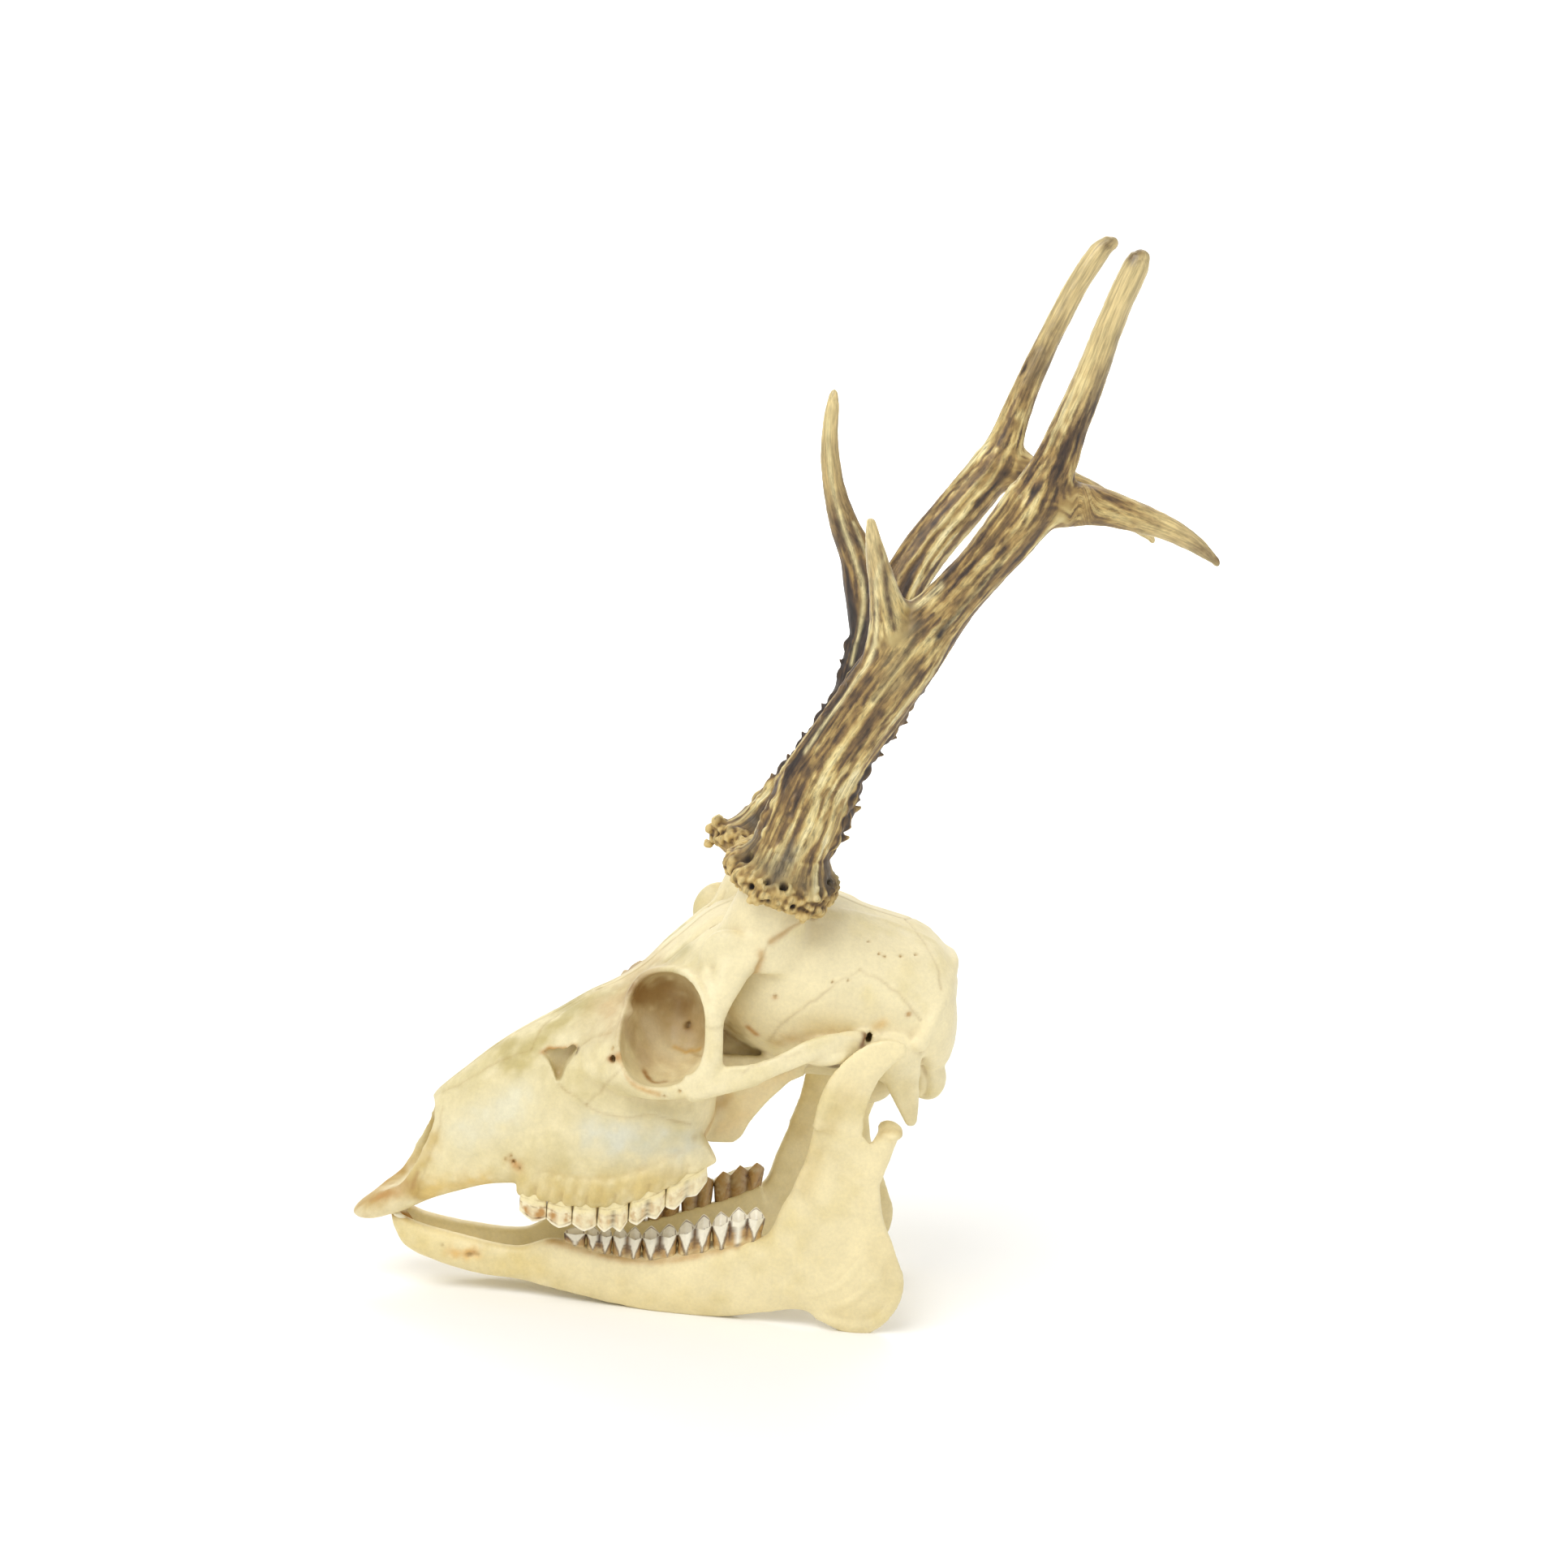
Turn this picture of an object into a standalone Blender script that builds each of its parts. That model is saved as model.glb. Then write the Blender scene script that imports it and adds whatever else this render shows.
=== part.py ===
"""Skull of a roe buck, life size: cranium, two halves of the lower jaw and a pair of six-point antlers.

The skull faces -X and rests on its lower jaw, on the two jaw angles and the bellies of the two jaw bodies.
Y is across the skull, with the animal's left side at -Y, and Z is up from the surface that it rests on.
The tables below are in millimetres, and the meshes are made in metres.
"""

import math

import bmesh
import bpy
from mathutils import Matrix, Vector

MM = 0.001

# Driving dimensions, in millimetres
ORIGIN = (-2.43, -0.21)  # what lies over the middle of the part's footprint, X and Y
GAP = 0.3  # between two pieces that touch
CRANIUM_GRAIN = 1.1  # voxel size that blends the bones of the cranium
JAW_GRAIN = 1.0
ANTLER_GRAIN = 1.1
CRANIUM_FACES = 3520
JAW_FACES = 980
ANTLER_FACES = 1020
BURR_RADIUS = 18.0
BURR_HEIGHT = 9.0
RIGHT_JAW_SLIP = 2.4  # the right half of the jaw lies this far behind the left half
EYE = (-37.0, -34.0, 99.5)  # middle of the left eye socket's rim
INTO_EYE = (0.34, 0.92, -0.18)
EYE_RIM = (  # round the left socket from its top, towards the rear
    (-35.7, -24.0, 116.0), (-28.3, -37.0, 116.1), (-23.9, -42.6, 107.4), (-23.0, -43.4, 100.1),
    (-23.6, -43.4, 93.6), (-27.0, -42.8, 87.9), (-32.4, -41.8, 84.1), (-38.6, -40.6, 82.4),
    (-44.3, -38.8, 83.2), (-48.1, -36.4, 86.7), (-49.9, -33.2, 91.6), (-49.9, -29.6, 97.6),
    (-48.5, -25.6, 103.9), (-46.4, -22.6, 108.9), (-42.0, -21.2, 113.4),
)  # fmt: skip
LEFT = -1
RIGHT = 1
ROUND_BELOW = 40.0  # degrees between two faces that are shaded as one surface
SURFACES = {
    # node: colour in the photo, roughness
    "braincase": ("EADFB9", 0.55),
    "face": ("E3D9B0", 0.5),
    "nasal_left": ("D8CBA0", 0.5),
    "nasal_right": ("D5C89E", 0.5),
    "premaxilla_left": ("C8AE72", 0.55),
    "premaxilla_right": ("C5AB70", 0.55),
    "zygomatic_arch_left": ("E2D5A9", 0.5),
    "zygomatic_arch_right": ("DED1A6", 0.5),
    "mandible_left": ("E8DAA9", 0.5),
    "mandible_right": ("E0D2A2", 0.5),
    "antler_left_burr": ("A88A52", 0.8),
    "antler_left_beam": ("A08A55", 0.6),
    "antler_left_front_tine": ("937A4A", 0.55),
    "antler_left_top_tine": ("D2BE8A", 0.4),
    "antler_left_rear_tine": ("B1996A", 0.45),
    "antler_right_burr": ("A58850", 0.8),
    "antler_right_beam": ("9C8652", 0.6),
    "antler_right_front_tine": ("CDBD8E", 0.4),
    "antler_right_top_tine": ("C0AE7D", 0.4),
    "antler_right_rear_tine": ("AE976A", 0.45),
}


# Curves through a few stations


def eased(stations, at):
    """The row of numbers at `at` on a smooth curve through rows whose first number is where they stand."""
    last = len(stations) - 1
    at = min(max(at, stations[0][0]), stations[last][0])
    i = max(k for k in range(last) if stations[k][0] <= at)
    span = stations[i + 1][0] - stations[i][0]
    t = (at - stations[i][0]) / span

    def slope(k, column):
        a, b = stations[max(k - 1, 0)], stations[min(k + 1, last)]
        return (b[column] - a[column]) / (b[0] - a[0]) * span

    here, leave = 2 * t**3 - 3 * t**2 + 1, t**3 - 2 * t**2 + t
    there, arrive = 3 * t**2 - 2 * t**3, t**3 - t**2
    return [
        here * stations[i][c] + leave * slope(i, c) + there * stations[i + 1][c] + arrive * slope(i + 1, c)
        for c in range(len(stations[0]))
    ]


def spaced(rows, count):
    """`count` rows at even steps along a smooth curve through rows that start with a point."""
    run = [0.0]
    for a, b in zip(rows, rows[1:]):
        run.append(run[-1] + (Vector(b[:3]) - Vector(a[:3])).length)
    stations = [(r, *row) for r, row in zip(run, rows)]
    return [eased(stations, run[-1] * k / (count - 1))[1:] for k in range(count)]


def looped(points, count):
    """`count` points at even parameters on a smooth closed curve through the points."""
    ring = []
    for k in range(count):
        place = k * len(points) / count
        i, t = int(place), place - int(place)
        p0, p1, p2, p3 = (Vector(points[(i + j) % len(points)]) for j in (-1, 0, 1, 2))
        bend = (2 * p0 - 5 * p1 + 4 * p2 - p3) * t * t + (3 * p1 - p0 - 3 * p2 + p3) * t**3
        ring.append(p1 + ((p2 - p0) * t + bend) / 2)
    return ring


def superellipse(angle, power):
    """A point of a unit ring that is round at power 2 and boxy above it."""
    c, s = math.cos(angle), math.sin(angle)
    return (
        math.copysign(abs(c) ** (2 / power), c),
        math.copysign(abs(s) ** (2 / power), s),
    )


# Closed forms, each a bmesh in millimetres


def skinned(rings):
    """A closed form over rings of points that all have the same count."""
    form = bmesh.new()
    loops = [[form.verts.new(p) for p in ring] for ring in rings]
    for a, b in zip(loops, loops[1:]):
        for k in range(len(a)):
            form.faces.new((a[k - 1], a[k], b[k], b[k - 1]))
    form.faces.new(loops[0])
    form.faces.new(reversed(loops[-1]))
    bmesh.ops.recalc_face_normals(form, faces=form.faces)
    return form


def hull(stations, step=3.0, sides=40):
    """A symmetric form across the middle plane. Each station is x, top, height of the widest place, bottom,
    half width, and how boxy the section is above and below its widest place."""
    first, last = stations[0][0], stations[-1][0]
    count = max(4, round((last - first) / step))
    rings = []
    for i in range(count + 1):
        x, top, wide, bottom, half, above, below = eased(stations, first + (last - first) * i / count)
        ring = []
        for k in range(sides):
            angle = 2 * math.pi * k / sides
            upper = math.sin(angle) >= 0
            c, s = superellipse(angle, above if upper else below)
            ring.append((x, half * c, wide + s * (top - wide if upper else wide - bottom)))
        rings.append(ring)
    return skinned(rings)


def tube(rows, power=2.0, sides=20, count=None, across=(0, 1, 0)):
    """A form along a path. Each row is x, y, z, half size towards `across`, and half size the other way.
    It is spaced out to `count` rings, or six for each row."""
    rows = spaced(rows, count or 6 * len(rows))
    rings = []
    for i, (x, y, z, wide, high) in enumerate(rows):
        ahead, behind = rows[min(i + 1, len(rows) - 1)], rows[max(i - 1, 0)]
        along = (Vector(ahead[:3]) - Vector(behind[:3])).normalized()
        side = (Vector(across) - along * along.dot(across)).normalized()
        up = along.cross(side)
        middle = Vector((x, y, z))
        points = (superellipse(2 * math.pi * k / sides, power) for k in range(sides))
        rings.append([middle + side * wide * c + up * high * s for c, s in points])
    return skinned(rings)


def hoop(points, radius, sides=10):
    """A closed ring of a round bar along a loop of points."""
    form = bmesh.new()
    middle = sum(points, Vector()) / len(points)
    loops = []
    for i, p in enumerate(points):
        along = (points[(i + 1) % len(points)] - points[i - 1]).normalized()
        out = (p - middle) - along * along.dot(p - middle)
        out.normalize()
        up = along.cross(out)
        angles = [2 * math.pi * k / sides for k in range(sides)]
        loops.append([form.verts.new(p + radius * (out * math.cos(t) + up * math.sin(t))) for t in angles])
    for i, loop in enumerate(loops):
        for k in range(sides):
            form.faces.new((loops[i - 1][k - 1], loops[i - 1][k], loop[k], loop[k - 1]))
    bmesh.ops.recalc_face_normals(form, faces=form.faces)
    return form


def slab(middle, size, turn=(0, 0, 0)):
    """A box, turned by degrees about X, Y and Z."""
    form = bmesh.new()
    bmesh.ops.create_cube(form, size=1)
    place = Matrix.Translation(middle)
    for axis, degrees in zip("ZYX", reversed(turn)):
        place = place @ Matrix.Rotation(math.radians(degrees), 4, axis)
    form.transform(place @ Matrix.Diagonal((*size, 1)))
    return form


def ball(centre, radii, turn=(0, 0, 0), detail=3):
    """An ellipsoid, turned by degrees about X, Y and Z."""
    form = bmesh.new()
    bmesh.ops.create_icosphere(form, subdivisions=detail, radius=1)
    place = Matrix.Translation(centre)
    for axis, degrees in zip("ZYX", reversed(turn)):
        place = place @ Matrix.Rotation(math.radians(degrees), 4, axis)
    form.transform(place @ Matrix.Diagonal((*radii, 1)))
    return form


def mirrored(form):
    """The same form on the other side of the middle plane."""
    other = form.copy()
    other.transform(Matrix.Diagonal((1, -1, 1, 1)))
    bmesh.ops.reverse_faces(other, faces=other.faces)
    return other


def both(*forms):
    """Each form and its mirror image."""
    return [f for form in forms for f in (form, mirrored(form))]


# Objects


def shown(name, forms):
    """One object that holds all the forms, in metres, and frees them."""
    mesh = bpy.data.meshes.new(name)
    joined = bmesh.new()
    for form in forms:
        piece = bpy.data.meshes.new(name)
        form.to_mesh(piece)
        form.free()
        joined.from_mesh(piece)
        bpy.data.meshes.remove(piece)
    joined.transform(Matrix.Scale(MM, 4) @ Matrix.Translation((-ORIGIN[0], -ORIGIN[1], 0)))
    joined.to_mesh(mesh)
    joined.free()
    made = bpy.data.objects.new(name, mesh)
    bpy.context.scene.collection.objects.link(made)
    return made


def helper(name, forms):
    """An object that only cuts or bounds others."""
    made = shown(name, forms)
    made.hide_render = True
    made.display_type = "WIRE"
    return made


def linear(hex_colour):
    """An sRGB colour as the linear red, green and blue that a material takes."""
    channels = [int(hex_colour[i : i + 2], 16) / 255 for i in (0, 2, 4)]
    return [c / 12.92 if c <= 0.04045 else ((c + 0.055) / 1.055) ** 2.4 for c in channels]


def surfaced(made):
    """Gives a node its own material, and shades its round surfaces as round."""
    colour, roughness = SURFACES[made.name]
    material = bpy.data.materials.new(made.name)
    material.use_nodes = True
    shader = material.node_tree.nodes["Principled BSDF"]
    shader.inputs["Base Color"].default_value = (*linear(colour), 1)
    shader.inputs["Roughness"].default_value = roughness
    shader.inputs["Metallic"].default_value = 0
    made.data.materials.clear()
    made.data.materials.append(material)
    made.data.shade_smooth()
    made.data.set_sharp_from_angle(angle=math.radians(ROUND_BELOW))


def blended(made, grain, softness):
    """Joins what overlaps in an object into one skin, and rounds its creases."""
    remesh = made.modifiers.new("Blend", "REMESH")
    remesh.mode = "VOXEL"
    remesh.voxel_size = grain * MM
    smooth = made.modifiers.new("Soften", "SMOOTH")
    smooth.factor = 0.5
    smooth.iterations = softness


def cut(made, other, operation="DIFFERENCE"):
    boolean = made.modifiers.new(other.name, "BOOLEAN")
    boolean.operation = operation
    boolean.object = other
    boolean.solver = "EXACT"


def thinned(made, faces):
    """Keeps about this many triangles."""
    now = sum(len(polygon.vertices) - 2 for polygon in made.data.polygons)
    made.modifiers.new("Thin", "DECIMATE").ratio = faces / now


def applied(made):
    """Turns an object's modifiers into its mesh."""
    graph = bpy.context.evaluated_depsgraph_get()
    mesh = bpy.data.meshes.new_from_object(made.evaluated_get(graph))
    made.modifiers.clear()
    old, made.data = made.data, mesh
    bpy.data.meshes.remove(old)


def merged(objects):
    """Adds the meshes of the later objects to the first."""
    form = bmesh.new()
    for made in objects:
        form.from_mesh(made.data)
    form.to_mesh(objects[0].data)
    form.free()
    for made in objects[1:]:
        bpy.data.objects.remove(made)


def islands(form):
    """The connected pieces of a bmesh, as lists of vertices."""
    left, found = set(form.verts), []
    while left:
        piece, edge = [], [left.pop()]
        while edge:
            vertex = edge.pop()
            piece.append(vertex)
            near = {link.other_vert(vertex) for link in vertex.link_edges} & left
            left -= near
            edge.extend(near)
        found.append(piece)
    return found


def parted(made, names):
    """Splits an object into its connected pieces. Each name takes the piece nearest to its place."""
    for name, place in names.items():
        place = (Vector(place) - Vector((*ORIGIN, 0))) * MM
        form = bmesh.new()
        form.from_mesh(made.data)
        own = min(islands(form), key=lambda points: min((v.co - place).length for v in points))
        bmesh.ops.delete(form, geom=list(set(form.verts) - set(own)), context="VERTS")
        mesh = bpy.data.meshes.new(name)
        form.to_mesh(mesh)
        form.free()
        piece = bpy.data.objects.new(name, mesh)
        bpy.context.scene.collection.objects.link(piece)
        surfaced(piece)
    bpy.data.objects.remove(made)


# Cranium


def face_forms():
    """Snout, upper jaw and palate, from the tip of the premaxillae to the rear of the tooth rows."""
    stations = [
        (-134.8, 23.9, 23.2, 22.4, 2.4, 2, 2),
        (-132.5, 26.0, 24.0, 21.6, 6.0, 2.2, 2.2),
        (-128, 29.4, 26.0, 21.8, 8.4, 2.4, 2.4),
        (-123, 34.4, 28.5, 23.2, 9.8, 2.6, 2.6),
        (-118, 42.4, 32.0, 25.4, 10.8, 2.6, 3),
        (-114, 54.8, 36.0, 27.6, 11.6, 2.5, 3),
        (-110.5, 63.6, 40.0, 29.4, 12.4, 2.3, 3),
        (-106, 68.6, 43.0, 31.4, 13.4, 2.1, 3.2),
        (-100, 73.8, 46.0, 33.8, 15.0, 2.0, 3.5),
        (-90, 82.3, 50.0, 37.6, 18.0, 2.0, 4),
        (-80, 89.4, 55.0, 39.4, 21.5, 2.0, 4.5),
        (-70, 95.4, 60.0, 38.6, 24.5, 2.1, 4.5),
        (-60, 101.4, 64.0, 38.2, 27.5, 2.2, 4.5),
        (-50, 106.6, 64.0, 39.0, 29.6, 2.3, 4.0),
        (-42, 112.6, 66.0, 41.5, 30.8, 2.4, 3.5),
        (-36, 118.6, 68.0, 44.5, 31.0, 2.4, 3.3),
        (-30, 124.2, 72.0, 48.0, 30.8, 2.4, 3.2),
        (-23, 130.8, 78.0, 52.0, 29.4, 2.4, 3.0),
        (-17, 134.4, 90.0, 58.0, 22.0, 2.4, 2.4),
    ]
    return [hull(stations)]


def orbit_forms():
    """The block that carries the eye sockets, and their rims: forehead, lacrimal and cheekbone."""
    stations = [
        (-62, 94.0, 82.0, 75.5, 25.0, 2.2, 2.2),
        (-56, 100.0, 83.0, 75.0, 30.5, 2.3, 2.3),
        (-50, 104.0, 83.0, 74.8, 34.8, 2.3, 2.6),
        (-45, 107.4, 82.5, 75.0, 37.8, 2.3, 2.8),
        (-39, 114.6, 82.0, 75.4, 40.8, 2.3, 3.0),
        (-30, 123.6, 83.0, 76.5, 43.8, 2.4, 3.0),
        (-24, 129.4, 85.2, 78.6, 45.0, 2.4, 2.8),
        (-19.5, 132.8, 87.0, 81.5, 44.0, 2.3, 2.6),
        (-17.2, 134.0, 90.0, 85.0, 38.0, 2.2, 2.2),
    ]
    middle = Vector(EYE)
    rim = [middle + (p - middle) * 1.07 + Vector(INTO_EYE) * 1.2 for p in looped(EYE_RIM, 44)]
    # the top of the right socket's rim is a little lower than the left one's
    right_rim = [p + Vector((0, 2.5, -3.6)) * max(0, min(1, (p.z - 94) / 10)) for p in rim]
    return [hull(stations), hoop(rim, 2.1), mirrored(hoop(right_rim, 2.1))]


def braincase_forms():
    """The box of the brain, with the flat back of the skull."""
    box = [
        (-19, 133.4, 112.0, 95.0, 15.0, 2.2, 2),
        (-12, 136.6, 112.0, 90.0, 24.0, 2.3, 2),
        (-4, 139.4, 112.0, 86.0, 28.4, 2.3, 2),
        (6, 140.6, 111.5, 83.5, 30.2, 2.2, 2.1),
        (18, 139.0, 110.0, 81.5, 31.0, 2.1, 2.2),
        (30, 134.8, 107.5, 80.5, 31.0, 2.1, 2.3),
        (40, 132.0, 105.5, 80.0, 30.4, 2.1, 2.3),
        (48, 129.2, 104.0, 80.5, 29.4, 2.2, 2.3),
        (54.4, 125.2, 103.0, 82.0, 27.6, 2.3, 2.4),
        (58.4, 119.6, 102.0, 85.0, 23.4, 2.4, 2.4),
        (60.6, 112.0, 101.0, 89.0, 15.0, 2.0, 2.0),
    ]
    floor = [
        (-20, 92, 84, 78, 9, 2.2, 2.5),
        (0, 88, 83, 78.0, 9, 2.2, 2.5),
        (25, 88, 82, 77.6, 10, 2.2, 2.5),
        (45, 86, 80, 76.0, 12, 2.2, 2.5),
        (52, 84, 80, 77.0, 11, 2.2, 2.5),
    ]
    crest = [
        (46, -30.0, 96, 2.4, 2.6),
        (51, -28.4, 105, 2.2, 2.6),
        (55, -22.0, 113.5, 2.2, 2.6),
        (57.8, -11, 117.6, 2.4, 2.6),
        (58.8, 0, 118.8, 2.6, 2.8),
    ]
    crest += [(x, -y, z, wide, high) for x, y, z, wide, high in reversed(crest[:-1])]
    return [hull(box), hull(floor), tube(crest, across=(1, 0, 0), count=40)]


def pedicle_forms():
    """The two stalks of the forehead that carry the antlers."""
    return both(
        tube(
            [
                (-6, -18, 122, 15, 17),
                (-4.6, -20.5, 133, 12.6, 13.5),
                (-3.4, -22.4, 141, 11.0, 11.4),
                (-1.6, -23.3, 150, 10.5, 10.5),
            ],
            sides=24,
        )
    )


def arch_forms():
    """Cheek arches, from the cheekbone back to the jaw's socket in front of the ear."""
    return both(
        tube(
            [
                (-28, -42.0, 83.0, 3.0, 4.6),
                (-18, -43.8, 86.6, 2.4, 4.4),
                (-7, -44.2, 89.2, 2.0, 3.3),
                (3, -43.4, 93.4, 1.9, 3.2),
                (11, -41.8, 97.2, 2.1, 3.5),
                (18, -39.6, 99.2, 2.4, 3.2),
                (25, -35.6, 98.6, 2.8, 3.0),
                (31, -29.0, 97.0, 3.4, 4.0),
            ],
            power=2.6,
        ),
        ball((17.0, -33.0, 94.6), (9.5, 9.5, 4.0), (0, -8, 0)),
        # bar behind the eye
        tube(
            [
                (-21.5, -29, 123, 4.6, 6.0),
                (-21.2, -36.5, 116, 2.8, 4.2),
                (-20.6, -41.2, 107, 2.4, 3.3),
                (-20.4, -43.4, 97, 2.4, 3.3),
                (-21.2, -43.6, 88, 2.6, 4.4),
            ]
        ),
    )


def ear_forms():
    """Ear region, ear capsule, hooked process behind the ear, and the knuckles that meet the neck."""
    return both(
        ball((38, -27.5, 93), (9, 5.5, 10)),
        ball((31.5, -27.5, 90.0), (5.0, 6.0, 5.0)),
        ball((32.5, -17.5, 79.5), (8.5, 5.0, 6.5)),
        tube(
            [
                (41.0, -27.0, 92, 3.8, 8.0),
                (42.4, -28.4, 84.5, 2.4, 5.8),
                (44.6, -29.2, 76.5, 1.9, 3.8),
                (46.4, -29.6, 69.4, 1.2, 1.8),
            ]
        ),
        ball((51.4, -12.5, 82.0), (7.0, 6.6, 9.0), (12, -14, -22)),
        ball((45.0, -9.5, 79.0), (7.0, 7.5, 6.0)),
    )


def plate(outline, y, thick):
    """An upright plate with an outline of x and z, from y outwards on both sides of the middle plane."""
    ring = [Vector((x, y, z)) for x, z in outline]
    return both(skinned([ring, [p - Vector((0, thick, 0)) for p in ring]]))


def throat_forms():
    """The upright plates behind the palate, with their hooks."""
    outline = [
        (-24, 57), (-17, 55.6), (-10, 56.0), (-7.6, 58.0), (-5, 63.5), (0, 70.0),
        (7, 77.5), (12, 80), (12, 86), (-24, 86),
    ]  # fmt: skip
    return plate(outline, -10.8, 2.6)


UPPER_ROW = (
    # middle of each crown: x, y, gum line, tip, length, width
    (-75.2, -19.8, 35.8, 29.0, 8.6, 6.5),
    (-66.6, -22.0, 35.0, 28.2, 8.0, 8.0),
    (-58.4, -24.0, 34.8, 28.0, 7.8, 9.4),
    (-49.4, -25.6, 35.6, 28.2, 10.2, 11.0),
    (-38.4, -26.6, 39.6, 31.8, 11.2, 11.8),
    (-25.6, -26.4, 46.0, 38.4, 13.0, 11.0),
)
LOWER_ROW = (
    (-62.6, -14.2, 20.6, 25.6, 6.2, 3.6),
    (-55.2, -15.4, 18.0, 25.8, 8.0, 4.6),
    (-46.4, -16.8, 16.6, 25.6, 9.2, 5.4),
    (-36.0, -18.8, 17.0, 28.2, 10.6, 6.4),
    (-24.4, -21.2, 20.0, 32.0, 11.4, 6.8),
    (-9.6, -24.4, 25.6, 35.6, 16.4, 6.8),
)


def crown(x, y, gum, tip, length, width, sink, lean):
    """A cheek tooth: a rounded block that stands `sink` deep in its jaw and tapers to a worn top."""
    down = 1 if gum > tip else -1
    rows = [
        (x - lean * down, y, gum + sink * down, width / 2 - 0.6, length / 2 - 0.5),
        (x, y, gum, width / 2, length / 2),
        (x, y, (gum + tip) / 2, width / 2 - 0.1, length / 2 + 0.1),
        (x, y, tip, width / 2 - 1.0, length / 2 - 0.3),
    ]
    return tube(rows, power=4, sides=16, count=5)


def upper_teeth():
    """The cheek teeth and the ridge of bone that holds them."""
    ridge = [(x, y * 0.97, gum + 5.6, width / 2 + 1.4, 6.0) for x, y, gum, _, _, width in UPPER_ROW]
    ridge.append((-19.0, -24.6, 56.5, 5.0, 5.0))
    teeth = (crown(*tooth, sink=5.0, lean=0.8) for tooth in UPPER_ROW)
    return both(tube(ridge, power=2.6), *teeth)


def nose_cutter():
    """The nose opening and the passage behind it."""
    return hull(
        [
            (-128.5, 52.0, 33.0, 30.5, 4.6, 3, 3),
            (-124, 58.0, 36.0, 31.5, 6.2, 3, 3),
            (-118, 66.0, 40.0, 34.0, 8.0, 3, 3),
            (-112, 66.0, 44.0, 37.0, 9.2, 2.6, 3),
            (-108, 62.0, 47.0, 39.0, 9.8, 2.2, 3),
            (-98, 68.0, 51.0, 42.0, 11.0, 2.2, 3),
            (-84, 76.0, 56.0, 47.0, 12.0, 2.2, 2.6),
            (-70, 80.0, 64.0, 54.0, 9.0, 2, 2),
        ]
    )


def orbit_cutters():
    """A bowl that narrows towards the brain, for each eye."""
    middle, inwards = Vector(EYE), Vector(INTO_EYE).normalized()
    rim = looped(EYE_RIM, 44)
    rings = []
    for depth, scale in ((-12, 1.12), (0, 1.0), (5, 1.02), (13, 0.92), (20, 0.7), (25, 0.4)):
        rings.append([middle + inwards * depth + (p - middle) * scale for p in rim])
    return both(skinned(rings))


def fossa_cutters():
    """The hollow behind the eye, where the jaw muscle passes inside the cheek arch."""
    return both(
        ball((-8.5, -36.5, 104), (8.0, 8.6, 17), (10, 0, -14)),
        ball((2.0, -36.0, 92), (15.0, 5.0, 13), (0, 10, -4)),
        ball((-11.0, -28.5, 84), (13.0, 12.5, 13)),
    )


def palate_cutter():
    """The hollow under the tip of the snout, where the front of the lower jaw lies."""
    return hull(
        [
            (-128.5, 23.5, 19, 14, 3.0, 3, 3),
            (-124, 26.2, 19, 14, 7.2, 4, 3),
            (-118, 28.0, 19, 14, 8.2, 4, 3),
            (-111, 30.0, 19, 14, 8.2, 4, 3),
            (-102, 32.5, 24, 20, 7.0, 3, 3),
        ]
    )


def back_cutters():
    """The great hole for the spinal cord, and the open end of the nose passage over the palate."""
    return [
        tube([(66, 0, 90.4, 9.2, 8.2), (52, 0, 89.2, 8.7, 7.9), (42, 0, 90, 7.0, 6.5)]),
        hull(
            [
                (-34, 66, 58, 54, 5.5, 3, 3),
                (-20, 72, 62, 46, 8.6, 3, 3),
                (-4, 77, 66, 40, 9.4, 3, 3),
                (14, 78, 66, 40, 9.4, 3, 3),
            ]
        ),
    ]


def whole_cranium():
    """The cranium in one piece."""
    cranium = shown("cranium", [*face_forms(), *orbit_forms(), *braincase_forms(), *pedicle_forms()])
    blended(cranium, CRANIUM_GRAIN, 7)
    sockets = helper("sockets", [*orbit_cutters(), *fossa_cutters()])
    blended(sockets, CRANIUM_GRAIN, 2)
    cut(cranium, sockets)
    applied(cranium)
    merged([cranium, shown("details", [*arch_forms(), *ear_forms(), *throat_forms(), *upper_teeth()])])
    blended(cranium, CRANIUM_GRAIN, 1)
    cut(cranium, helper("openings", [nose_cutter(), palate_cutter(), *back_cutters()]))
    applied(cranium)
    thinned(cranium, CRANIUM_FACES)
    applied(cranium)
    return cranium


def nasal_block(margin):
    """A block round the two nasal bones, open above the snout."""
    stations = [
        (-118 - margin, 62.0, 7.4),
        (-108, 64.0, 7.8),
        (-98, 69.0, 9.2),
        (-84, 79.5, 10.6),
        (-70, 89.0, 11.6),
        (-59 + margin, 95.0, 9.0),
    ]
    rings = []
    for x, floor, half in stations:
        half, floor = half + margin, floor - margin
        rings.append([(x, half, floor), (x, half, floor + 40), (x, -half, floor + 40), (x, -half, floor)])
    return skinned(rings)


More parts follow.
